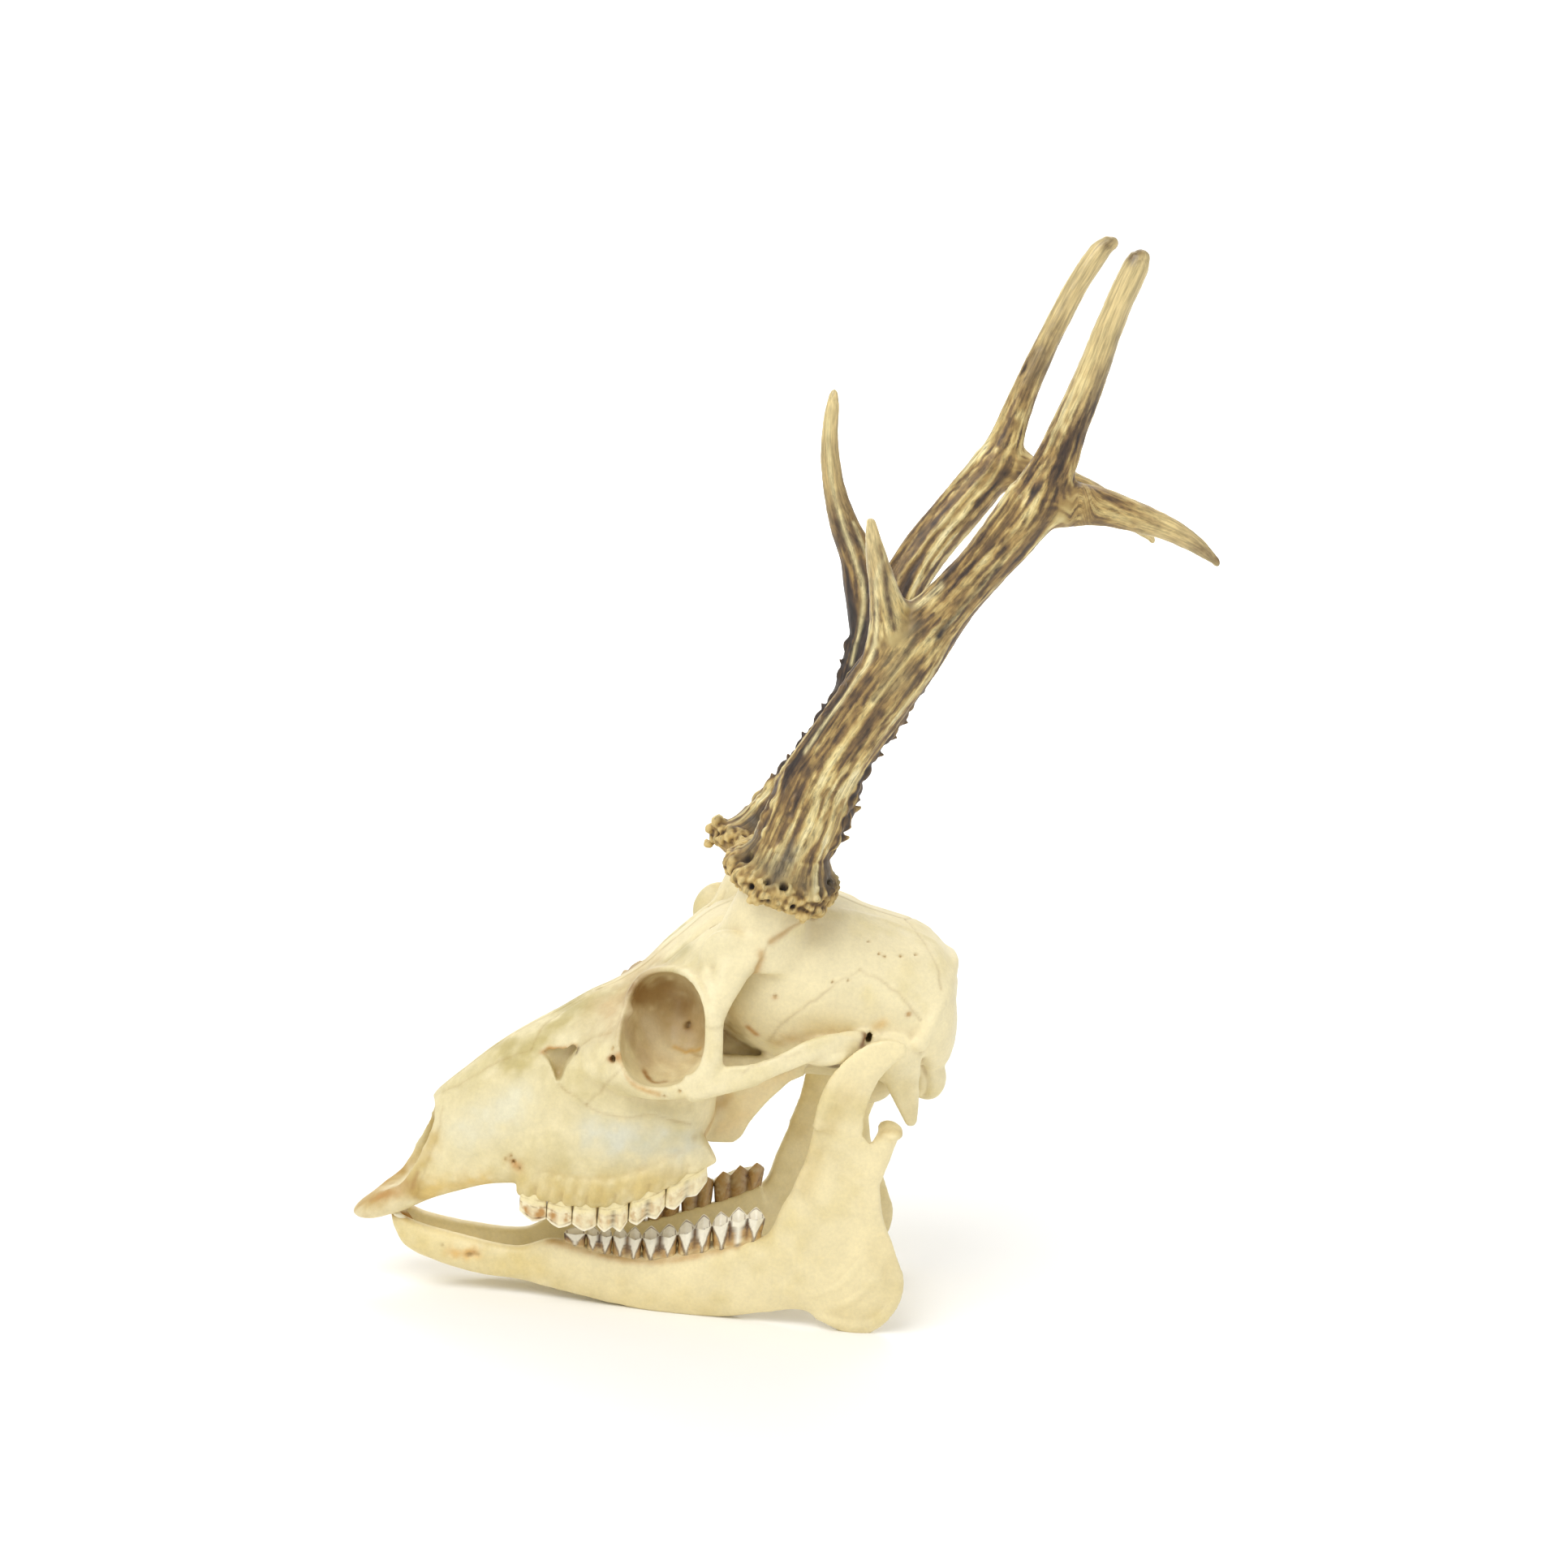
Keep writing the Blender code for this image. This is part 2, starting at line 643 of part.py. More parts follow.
def make_cranium():
    """The cranium, parted into the bones that a person would name."""
    rest = whole_cranium()
    nasals = rest.copy()
    nasals.data = rest.data.copy()
    bpy.context.scene.collection.objects.link(nasals)
    cut(nasals, helper("nasal_block", [nasal_block(0)]), "INTERSECT")
    cut(nasals, helper("nasal_suture", [slab((-85, 0, 80), (80, GAP, 80))]))
    applied(nasals)
    parted(nasals, {"nasal_left": (-85, -6, 84), "nasal_right": (-85, 6, 84)})
    cut(rest, helper("nasal_space", [nasal_block(GAP)]))
    sutures = [
        slab((-16.2, 0, 100), (GAP, 120, 130), (0, -1.6, 0)),
        *both(slab((3.0, -43, 94), (GAP, 18, 24), (0, -18, 0))),
        slab((-106.4, 0, 50), (GAP, 60, 60), (0, 4, 0)),
        slab((-120.7, 0, 40), (31.6, GAP, 60)),
    ]
    sutures += [burr_form(side, GAP + 0.2) for side in (LEFT, RIGHT)]
    for i, suture in enumerate(sutures):
        cut(rest, helper(f"suture_{i}", [suture]))
    applied(rest)
    parted(
        rest,
        {
            "braincase": (20, 0, 140),
            "face": (-60, -27, 60),
            "zygomatic_arch_left": (-6, -44, 90),
            "zygomatic_arch_right": (-6, 44, 90),
            "premaxilla_left": (-125, -8, 30),
            "premaxilla_right": (-125, 8, 30),
        },
    )


# Lower jaw


def jaw_ribs():
    """The left half of the lower jaw, as ribs from its lower or rear border to its upper or front one."""
    ribs = [
        # lower x, z, upper x, z, y, half thickness
        (-120.6, 19.6, -122.0, 24.6, -4.2, 2.4),
        (-117.4, 14.2, -119.0, 24.4, -5.0, 3.4),
        (-108.4, 9.8, -112.0, 21.6, -5.8, 3.9),
        (-92.0, 5.7, -95.0, 18.0, -7.2, 3.5),
        (-78.6, 5.0, -79.6, 16.4, -9.6, 3.4),
        (-66.0, 3.2, -68.0, 20.6, -12.8, 3.8),
        (-48.7, 0.5, -51.0, 18.6, -16.2, 4.6),
        (-32.6, -0.8, -33.0, 19.0, -19.8, 4.9),
        (-12.0, -0.2, -16.0, 23.8, -24.0, 4.8),
        (2.5, 3.2, 0.6, 30.0, -28.0, 4.2),
        (14.5, 5.4, 5.2, 40.0, -31.0, 3.6),
        (24.5, 0.6, 9.4, 50.0, -33.6, 3.0),
        (34.0, -1.4, 12.0, 58.0, -34.6, 2.6),
        (43.2, 5.6, 13.2, 64.0, -35.2, 2.4),
        (46.6, 17.0, 13.6, 67.0, -35.6, 2.3),
        (43.0, 29.4, 13.9, 70.0, -36.2, 2.3),
        (38.4, 40.0, 14.2, 72.0, -36.8, 2.3),
        (36.4, 52.0, 14.5, 74.0, -37.4, 2.3),
        (36.0, 60.0, 15.0, 76.0, -38.0, 2.0),
        (31.0, 68.0, 16.0, 79.0, -38.8, 1.8),
    ]
    return ribs


def rib_loft(ribs, count=80, sides=24, power=2.6):
    """A form over ribs, each x and z of one border, x and z of the other, y, and half its thickness."""
    stations = [((x0 + x1) / 2, y, (z0 + z1) / 2, x0, z0, x1, z1, half) for x0, z0, x1, z1, y, half in ribs]
    rows = spaced(stations, count)
    rings = []
    for _, y, _, x0, z0, x1, z1, half in rows:
        ring = []
        for k in range(sides):
            c, s = superellipse(2 * math.pi * k / sides, power)
            t = (1 + c) / 2
            ring.append((x0 + (x1 - x0) * t, y + half * s, z0 + (z1 - z0) * t))
        rings.append(ring)
    return skinned(rings)


def jaw_half():
    """Body and branch of the left half, its blade-like upper process, its joint knuckle and its teeth."""
    return [
        rib_loft(jaw_ribs()),
        tube(
            [
                (22.0, -38.4, 70, 1.9, 8.6),
                (22.6, -39.8, 79, 1.7, 8.0),
                (25.6, -41.0, 87.4, 1.6, 7.2),
                (30.4, -42.0, 94.2, 1.5, 6.0),
                (36.4, -42.6, 98.2, 1.4, 4.4),
                (41.6, -42.8, 98.8, 1.1, 2.0),
            ],
            power=2.6,
        ),
        tube([(33, -37.2, 56, 2.2, 4.4), (36.4, -36.8, 63.5, 2.6, 3.2), (39.2, -36.2, 68.6, 4.0, 2.8)]),
        ball((39.2, -35.4, 69.0), (4.6, 8.6, 2.5), (0, -6, 8)),
        *(crown(*tooth, sink=5.0, lean=0.6) for tooth in LOWER_ROW),
    ]


def incisor_forms():
    """The four worn front teeth of the left half, which lean forward out of the tip of the jaw."""
    forms = []
    for k in range(4):
        y, x = -1.5 - 1.5 * k, -121.6 + 0.7 * k
        rows = [
            (x + 3.6, y, 20.0, 0.9, 1.2),
            (x + 0.6, y, 23.2, 0.9, 1.1),
            (x - 1.2, y, 25.0 - 0.2 * k, 0.9, 0.7),
        ]
        forms.append(tube(rows, sides=10, count=5))
    return forms


def make_jaw(side):
    """One half of the lower jaw, with flats under its angle and its belly."""
    forms = jaw_half() + incisor_forms()
    if side == RIGHT:
        forms = [mirrored(f) for f in forms]
        for form in forms:
            form.transform(Matrix.Translation((RIGHT_JAW_SLIP, 0, 0)))
    jaw = shown("mandible_left" if side == LEFT else "mandible_right", forms)
    blended(jaw, JAW_GRAIN, 1)
    applied(jaw)
    thinned(jaw, JAW_FACES)
    cut(jaw, helper("rest", [slab((0, 0, -10), (400, 200, 20))]))
    applied(jaw)
    surfaced(jaw)


# Antlers


ANTLERS = {
    # x, distance from the middle plane, z and radius, from the skull outwards
    LEFT: {
        "beam": (
            (-0.7, 23.3, 150.7, 12.6), (2.4, 23.6, 160.1, 12.8), (6.2, 24.0, 170.5, 13.0),
            (9.9, 24.6, 182.1, 12.2), (15.4, 25.6, 193.2, 11.3), (22.1, 26.8, 204.9, 11.2),
            (28.3, 28.3, 215.5, 11.4), (35.5, 30.0, 226.5, 10.8), (42.3, 32.0, 237.4, 9.4),
            (48.9, 34.6, 246.8, 8.2), (55.7, 37.3, 256.1, 8.0), (63.7, 40.5, 267.9, 8.8),
            (70.3, 43.0, 278.3, 9.4),
        ),
        "top": (
            (70.3, 43.0, 278.3, 9.0), (75.3, 44.3, 291.0, 7.1), (78.2, 45.3, 301.4, 5.9),
            (81.6, 46.1, 311.8, 5.3), (84.8, 46.8, 322.1, 4.8), (87.7, 47.4, 332.4, 4.4),
            (90.9, 47.8, 342.6, 4.2), (94.8, 48.0, 352.8, 4.1), (96.2, 48.0, 356.8, 3.2),
        ),
        "rear": (
            (70.3, 43.0, 278.3, 9.0), (80.7, 43.6, 278.2, 7.4), (89.4, 43.8, 277.9, 6.2),
            (101.9, 43.4, 275.1, 4.8), (112.5, 42.6, 271.7, 3.8), (120.7, 41.8, 267.6, 2.9),
            (128.8, 41.0, 261.9, 1.4),
        ),
        "front": (
            (31.3, 31.0, 226.2, 8.6), (27.6, 34.0, 238.8, 6.4), (24.0, 37.6, 250.9, 4.2),
            (21.1, 40.4, 260.5, 3.0), (19.0, 42.6, 269.8, 1.7),
        ),
    },
    RIGHT: {
        "beam": (
            (-3.3, 23.3, 147.4, 11.6), (0.8, 23.6, 156.4, 11.4), (8.1, 24.0, 166.6, 11.0),
            (14.1, 24.6, 175.9, 10.8), (20.3, 25.6, 186.2, 10.6), (25.4, 26.8, 196.2, 10.4),
            (28.1, 28.3, 206.5, 10.2), (30.0, 29.6, 216.5, 10.0), (33.3, 31.4, 227.3, 9.0),
            (37.9, 33.8, 237.7, 8.0), (44.5, 36.4, 248.6, 7.8), (53.2, 39.4, 259.7, 7.8),
            (61.9, 42.0, 270.7, 7.8), (66.7, 43.0, 277.6, 7.6),
        ),
        "top": (
            (66.7, 43.0, 277.6, 7.4), (69.4, 44.0, 283.6, 6.2), (72.6, 45.2, 293.9, 5.0),
            (76.5, 46.2, 305.3, 4.4), (80.9, 47.0, 316.3, 4.0), (85.6, 47.5, 327.3, 3.8),
            (90.5, 47.9, 338.2, 3.7), (97.0, 48.0, 349.3, 3.5), (100.7, 48.0, 353.2, 2.6),
        ),
        "rear": (
            (66.7, 43.0, 277.6, 7.6), (80.4, 43.6, 273.8, 6.6), (92.9, 43.8, 271.2, 5.2),
            (105.8, 43.2, 265.9, 4.2), (115.4, 42.4, 260.2, 3.0), (121.2, 41.6, 255.4, 1.5),
        ),
        "front": (
            (28.7, 30.8, 222.2, 8.2), (25.3, 33.6, 235.2, 7.2), (22.1, 35.8, 245.9, 6.0),
            (17.8, 37.8, 254.6, 5.0), (14.1, 39.6, 265.0, 3.9), (11.8, 41.0, 275.6, 3.3),
            (11.1, 42.0, 286.2, 2.7), (11.4, 42.7, 294.2, 2.2), (11.7, 43.0, 299.1, 1.4),
        ),
    },
}  # fmt: skip


def antler_tube(side, branch):
    """The beam or one tine of an antler, plain and round."""
    rows = [(x, y * side, z, r, r) for x, y, z, r in ANTLERS[side][branch]]
    return tube(rows, sides=16, count=3 * len(rows))


def burr_form(side, margin):
    """The knobbly ring at the foot of an antler, as a plain disc square to the beam."""
    base, above = (Vector((x, y * side, z)) for x, y, z, _ in ANTLERS[side]["beam"][:2])
    burr = bmesh.new()
    bmesh.ops.create_cone(
        burr,
        cap_ends=True,
        segments=24,
        radius1=BURR_RADIUS - 1 + margin,
        radius2=BURR_RADIUS + margin,
        depth=BURR_HEIGHT + 2 * margin,
    )
    burr.transform(Matrix.Translation(base) @ (above - base).to_track_quat("Z", "Y").to_matrix().to_4x4())
    return burr


def fork_cut(a, b, size):
    """A thin square slab at point b, square to the line from a to b."""
    along = Vector(b) - Vector(a)
    form = slab((0, 0, 0), (size, size, GAP))
    form.transform(Matrix.Translation(b) @ along.to_track_quat("Z", "Y").to_matrix().to_4x4())
    return form


def make_antler(side):
    """An antler, parted at its burr and its forks."""
    name = "antler_left" if side == LEFT else "antler_right"
    paths = {branch: [(x, y * side, z) for x, y, z, _ in rows] for branch, rows in ANTLERS[side].items()}
    forms = [antler_tube(side, branch) for branch in paths]
    base = Vector(paths["beam"][0])
    upwards = (Vector(paths["beam"][1]) - base).normalized()
    antler = shown(name, [*forms, burr_form(side, 0)])
    blended(antler, ANTLER_GRAIN, 2)
    applied(antler)
    thinned(antler, ANTLER_FACES)
    cuts = [
        fork_cut(base, base + upwards * (BURR_HEIGHT / 2 + 1), 80),
        fork_cut(paths["front"][0], paths["front"][2], 14),
        fork_cut(paths["top"][0], paths["top"][2], 20),
        fork_cut(paths["rear"][0], paths["rear"][2], 18),
    ]
    for i, form in enumerate(cuts):
        cut(antler, helper(f"{name}_cut_{i}", [form]))
    applied(antler)
    parted(
        antler,
        {
            f"{name}_burr": base - Vector((BURR_RADIUS - 1, 0, -6)),
            f"{name}_beam": paths["beam"][6],
            f"{name}_front_tine": paths["front"][-1],
            f"{name}_top_tine": paths["top"][-1],
            f"{name}_rear_tine": paths["rear"][-1],
        },
    )


def main():
    for old in list(bpy.data.objects):
        bpy.data.objects.remove(old)
    make_cranium()
    make_jaw(LEFT)
    make_jaw(RIGHT)
    make_antler(LEFT)
    make_antler(RIGHT)


main()
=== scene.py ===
# %% [markdown]
# # Skull of a roe buck, life size
#
# A cleaned roe deer skull with its antlers stands on its own lower jaw. Most of it is built the way a sculptor would:
# plain closed forms are laid over each other, a voxel remesh melts them into one skin, hollows are cut out, and fine
# strokes finish it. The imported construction, whose solids give every place and size, is loaded first.

# %% Load the construction and keep its box
import math
import random

import bmesh
import bpy
import numpy as np
from mathutils import Matrix, Vector
from mathutils.bvhtree import BVHTree
from mathutils.kdtree import KDTree


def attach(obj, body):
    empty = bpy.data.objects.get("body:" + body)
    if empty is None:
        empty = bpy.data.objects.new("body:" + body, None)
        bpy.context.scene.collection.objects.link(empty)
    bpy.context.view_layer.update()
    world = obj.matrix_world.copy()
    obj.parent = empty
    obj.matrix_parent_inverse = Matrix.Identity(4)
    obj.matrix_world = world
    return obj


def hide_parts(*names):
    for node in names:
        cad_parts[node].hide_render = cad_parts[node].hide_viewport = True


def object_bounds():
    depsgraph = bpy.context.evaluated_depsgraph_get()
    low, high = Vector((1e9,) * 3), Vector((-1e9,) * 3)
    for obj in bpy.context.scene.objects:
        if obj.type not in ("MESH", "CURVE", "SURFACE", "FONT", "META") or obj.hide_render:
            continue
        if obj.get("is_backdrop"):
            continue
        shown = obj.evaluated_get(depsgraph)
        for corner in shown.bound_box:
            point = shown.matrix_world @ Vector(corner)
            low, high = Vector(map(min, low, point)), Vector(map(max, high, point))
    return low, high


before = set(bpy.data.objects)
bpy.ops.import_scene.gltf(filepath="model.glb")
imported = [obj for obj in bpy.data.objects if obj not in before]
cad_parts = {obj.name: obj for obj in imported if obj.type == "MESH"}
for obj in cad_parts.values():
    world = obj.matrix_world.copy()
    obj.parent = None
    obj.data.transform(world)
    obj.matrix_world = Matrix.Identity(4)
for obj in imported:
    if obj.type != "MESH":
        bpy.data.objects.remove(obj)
cad_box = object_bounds()
print("nodes to dress:", len(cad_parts), "height of the construction in mm:", round(cad_box[1].z * 1000))

# %% [markdown]
# ## Units and sides
#
# Every table below is in millimetres, and one place turns them into metres. The skull faces -X and its left side, the
# one that the camera sees, is at -Y. `MIDDLE` is the point of the skull's own frame that stands over the middle of
# the construction's footprint.

# %% Units and sides
MM = 0.001
MIDDLE = Vector((-2.43, -0.21, 0))
FORWARDS = (-1, 0, 0)
LEFT, RIGHT = -1, 1
SIDE_NAMES = {LEFT: "left", RIGHT: "right"}
RIGHT_JAW_SLIP = 2.4  # how far the right half of the jaw lies behind the left one


def in_metres(points):
    """Points of the skull's own frame as points of the scene."""
    return (np.asarray(points, float) - np.array(MIDDLE)) * MM


def in_millimetres(points):
    return np.asarray(points, float) / MM + np.array(MIDDLE)


# %% [markdown]
# ## Smooth curves through a few stations
#
# A bone's outline is given at a few stations, and a cubic curve runs through them. The same curve serves for
# profiles, for the middle line of a bar, and for the path of a stroke or a seam.

# %% Curves through stations
def eased(stations, at):
    """The row at `at` on a smooth curve through rows whose first number is where they stand."""
    last = len(stations) - 1
    at = min(max(at, stations[0][0]), stations[last][0])
    i = max(k for k in range(last) if stations[k][0] <= at)
    span = stations[i + 1][0] - stations[i][0]
    t = (at - stations[i][0]) / span

    def slope(k, column):
        a, b = stations[max(k - 1, 0)], stations[min(k + 1, last)]
        return (b[column] - a[column]) / (b[0] - a[0]) * span

    here, leave = 2 * t**3 - 3 * t**2 + 1, t**3 - 2 * t**2 + t
    there, arrive = 3 * t**2 - 2 * t**3, t**3 - t**2
    return [
        here * stations[i][c] + leave * slope(i, c) + there * stations[i + 1][c] + arrive * slope(i + 1, c)
        for c in range(len(stations[0]))
    ]


def spaced(rows, count):
    """`count` rows at even steps along a smooth curve through rows that start with a point."""
    run = [0]
    for a, b in zip(rows, rows[1:]):
        run.append(run[-1] + (Vector(b[:3]) - Vector(a[:3])).length)
    stations = [(r, *row) for r, row in zip(run, rows)]
    return [eased(stations, run[-1] * k / (count - 1))[1:] for k in range(count)]


def looped(points, count):
    """`count` points on a smooth closed curve through the points."""
    ring = []
    for k in range(count):
        place = k * len(points) / count
        i, t = int(place), place - int(place)
        p0, p1, p2, p3 = (Vector(points[(i + j) % len(points)]) for j in (-1, 0, 1, 2))
        bend = (2 * p0 - 5 * p1 + 4 * p2 - p3) * t * t + (3 * p1 - p0 - 3 * p2 + p3) * t**3
        ring.append(p1 + ((p2 - p0) * t + bend) / 2)
    return ring


def superellipse(angle, power):
    """A point of a unit ring that is round at power 2 and boxy above it."""
    c, s = math.cos(angle), math.sin(angle)
    return math.copysign(abs(c) ** (2 / power), c), math.copysign(abs(s) ** (2 / power), s)


print("a curve through 0, 4, 0 is", round(eased([(0, 0), (1, 4), (2, 0)], 0.5)[1], 2), "high a quarter of the way")

# %% [markdown]
# ## The closed forms that bone is laid up from
#
# A hull with a mirror-symmetric section serves for the snout and the braincase, a tube for bars, arches and
# processes, a hoop for the rims of the eye sockets, and an ellipsoid for knuckles and capsules. Slabs and plates are
# used for cuts and thin bones. Each is a closed bmesh in millimetres, and paired bones get its mirror image too.

# %% Closed forms
def skinned(rings):
    """A closed form over rings of equally many points."""
    form = bmesh.new()
    loops = [[form.verts.new(p) for p in ring] for ring in rings]
    for a, b in zip(loops, loops[1:]):
        for k in range(len(a)):
            form.faces.new((a[k - 1], a[k], b[k], b[k - 1]))
    form.faces.new(loops[0])
    form.faces.new(reversed(loops[-1]))
    bmesh.ops.recalc_face_normals(form, faces=form.faces)
    return form


def hull(stations, step=2, sides=56):
    """A form across the middle plane. Each station is x, top, height of the widest place, bottom, half width, and
    how boxy the section is above and below its widest place."""
    first, last = stations[0][0], stations[-1][0]
    count = max(4, round((last - first) / step))
    rings = []
    for i in range(count + 1):
        x, top, wide, bottom, half, above, below = eased(stations, first + (last - first) * i / count)
        ring = []
        for k in range(sides):
            angle = 2 * math.pi * k / sides
            upper = math.sin(angle) >= 0
            c, s = superellipse(angle, above if upper else below)
            ring.append((x, half * c, wide + s * (top - wide if upper else wide - bottom)))
        rings.append(ring)
    return skinned(rings)


def tube(rows, power=2, sides=24, count=None, across=(0, 1, 0)):
    """A form along a path. Each row is x, y, z, half size towards `across`, and half size the other way."""
    rows = spaced(rows, count or 8 * len(rows))
    rings = []
    for i, (x, y, z, wide, high) in enumerate(rows):
        ahead, behind = rows[min(i + 1, len(rows) - 1)], rows[max(i - 1, 0)]
        along = (Vector(ahead[:3]) - Vector(behind[:3])).normalized()
        side = (Vector(across) - along * along.dot(across)).normalized()
        up = along.cross(side)
        middle = Vector((x, y, z))
        points = (superellipse(2 * math.pi * k / sides, power) for k in range(sides))
        rings.append([middle + side * wide * c + up * high * s for c, s in points])
    return skinned(rings)


def hoop(points, radii, sides=12):
    """A round bar along a loop of points, with a radius for each."""
    form = bmesh.new()
    middle = sum(points, Vector()) / len(points)
    loops = []
    for i, p in enumerate(points):
        along = (points[(i + 1) % len(points)] - points[i - 1]).normalized()
        out = (p - middle) - along * along.dot(p - middle)
        out.normalize()
        up = along.cross(out)
        angles = [2 * math.pi * k / sides for k in range(sides)]
        loops.append([form.verts.new(p + radii[i] * (out * math.cos(t) + up * math.sin(t))) for t in angles])
    for i, loop in enumerate(loops):
        for k in range(sides):
            form.faces.new((loops[i - 1][k - 1], loops[i - 1][k], loop[k], loop[k - 1]))
    bmesh.ops.recalc_face_normals(form, faces=form.faces)
    return form


def placed(form, middle, sizes, turn):
    """Stretches a form, turns it by degrees about X, Y and Z, and moves it."""
    place = Matrix.Translation(middle)
    for axis, degrees in zip("ZYX", reversed(turn)):
        place = place @ Matrix.Rotation(math.radians(degrees), 4, axis)
    form.transform(place @ Matrix.Diagonal((*sizes, 1)))
    return form


def ball(middle, radii, turn=(0, 0, 0), detail=3):
    form = bmesh.new()
    bmesh.ops.create_icosphere(form, subdivisions=detail, radius=1)
    return placed(form, middle, radii, turn)


def slab(middle, sizes, turn=(0, 0, 0)):
    form = bmesh.new()
    bmesh.ops.create_cube(form, size=1)
    return placed(form, middle, sizes, turn)


def plate(outline, y, thick):
    """An upright plate with an outline of x and z, from y outwards."""
    ring = [Vector((x, y, z)) for x, z in outline]
    return skinned([ring, [p - Vector((0, thick, 0)) for p in ring]])


def mirrored(form):
    """The same form on the other side of the middle plane."""
    other = form.copy()
    other.transform(Matrix.Diagonal((1, -1, 1, 1)))
    bmesh.ops.reverse_faces(other, faces=other.faces)
    return other


def both(*forms):
    """Each form and its mirror image."""
    return [f for form in forms for f in (form, mirrored(form))]


def on_side(forms, side, shift=(0, 0, 0)):
    """Forms of the left side as they are, or their mirror images, moved a little, on the right."""
    if side == RIGHT:
        forms = [mirrored(form) for form in forms]
        for form in forms:
            form.transform(Matrix.Translation(shift))
    return forms


def flipped(path, sign):
    """The path as it is for 1, and on the other side of the middle plane for -1."""
    return [(x, y * sign, z) for x, y, z in path]


# %% [markdown]
# ## From forms to one skin
#
# Overlapping forms go into one object. The Remesh modifier in voxel mode keeps only their outer skin, as if lumps of
# clay were pressed together, and a few rounds of Smooth close the creases. Cuts are Booleans with a helper object.

# %% Objects, cuts and remeshing
def only(made):
    """Makes this object the one that an operator acts on."""
    bpy.ops.object.select_all(action="DESELECT")
    made.select_set(True)
    bpy.context.view_layer.objects.active = made


def laid_up(name, forms):
    """One object, in metres, of all the forms, which are freed."""
    whole = bmesh.new()
    for form in forms:
        piece = bpy.data.meshes.new(name)
        form.to_mesh(piece)
        form.free()
        whole.from_mesh(piece)
        bpy.data.meshes.remove(piece)
    whole.transform(Matrix.Scale(MM, 4) @ Matrix.Translation(-MIDDLE))
    mesh = bpy.data.meshes.new(name)
    whole.to_mesh(mesh)
    whole.free()
    made = bpy.data.objects.new(name, mesh)
    bpy.context.scene.collection.objects.link(made)
    return made


def apply_modifiers(made):
    only(made)
    for modifier in list(made.modifiers):
        bpy.ops.object.modifier_apply(modifier=modifier.name)


def melted(made, grain, rounds):
    """Keeps the outer skin of an object, at a voxel of `grain` mm, and softens it."""
    remesh = made.modifiers.new("Melt", "REMESH")
    remesh.mode = "VOXEL"
    remesh.voxel_size = grain * MM
    soften = made.modifiers.new("Soften", "SMOOTH")
    soften.factor = 0.5
    soften.iterations = rounds
    apply_modifiers(made)


def cut(made, other, operation="DIFFERENCE", solver="EXACT"):
    """Cuts an object with another, which is removed."""
    boolean = made.modifiers.new("Cut", "BOOLEAN")
    boolean.operation = operation
    boolean.object = other
    boolean.solver = solver
    apply_modifiers(made)
    bpy.data.objects.remove(other)


def joined(made, other):
    """Adds another object's mesh to the first."""
    only(made)
    other.select_set(True)
    bpy.ops.object.join()


def twin(made, name):
    """A copy with its own mesh."""
    other = made.copy()
    other.data = made.data.copy()
    other.name = name
    bpy.context.scene.collection.objects.link(other)
    return other


# %% [markdown]
# ## Strokes on a skin
#
# Once a bone is one fine skin, its small relief is drawn on it: a ridge or a groove is a path with a width and a
# height, and pushes the points near it out or in. Smooth noise keeps surfaces and stains from looking ruled.

# %% Sculpting tools
FAR_OFF, TINY = 1e9, 1e-9


def read(items, key, width, kind=np.float32):
    """A property of every item, as rows of numbers."""
    values = np.empty(len(items) * width, kind)
    items.foreach_get(key, values)
    return values.reshape(-1, width)


def skin_of(made):
    """Points in millimetres and normals of a mesh."""
    mesh = made.data
    return in_millimetres(read(mesh.vertices, "co", 3)), read(mesh.vertex_normals, "vector", 3).astype(float)


def put_back(made, points):
    made.data.vertices.foreach_set("co", in_metres(points).astype(np.float32).ravel())
    made.data.update()


def distance_to(points, path):
    """How far each point is from the nearest step of a path."""
    near = np.full(len(points), FAR_OFF)
    for a, b in zip(path, path[1:]):
        t = np.clip((points - a) @ (b - a) / max(((b - a) ** 2).sum(), TINY), 0, 1)
        near = np.minimum(near, np.linalg.norm(points - a - t[:, None] * (b - a), axis=1))
    return near


def falloff(points, path, width):
    """A bell curve that is 1 on a smooth path and about 0 two widths off. A path of one point is a spot."""
    path = np.asarray(path, float)
    if len(path) > 2:
        path = np.array(spaced([tuple(p) for p in path], 6 * len(path)))
    low, high = path.min(0) - 2.6 * width, path.max(0) + 2.6 * width
    inside = ((points > low) & (points < high)).all(1)
    weight = np.zeros(len(points))
    if len(path) == 1:
        near = np.linalg.norm(points[inside] - path[0], axis=1)
    else:
        near = distance_to(points[inside], path)
    weight[inside] = np.exp(-((near / width) ** 2))
    return weight


def laid_on(made):
    """A function that moves a path onto a skin, where it isn't too far off."""
    points, _ = skin_of(made)
    tree = BVHTree.FromPolygons(points.tolist(), [face.vertices[:] for face in made.data.polygons])

    def onto(path, reach=9):
        if len(path) > 2:
            path = spaced([tuple(p) for p in path], 5 * len(path))
        found = [tree.find_nearest(Vector(p), reach)[0] for p in path]
        return [tuple(p) if near is None else tuple(near) for p, near in zip(path, found)]

    return onto


def sculpted(made, strokes, sides=(1, -1)):
    """Draws strokes on a skin. Each is a width, a height outwards, and its path on the left side."""
    onto = laid_on(made)
    for side in sides:
        points, normals = skin_of(made)
        height = np.zeros(len(points))
        for width, high, path in strokes:
            height += high * falloff(points, onto(flipped(path, side)), width)
        put_back(made, points + normals * height[:, None])


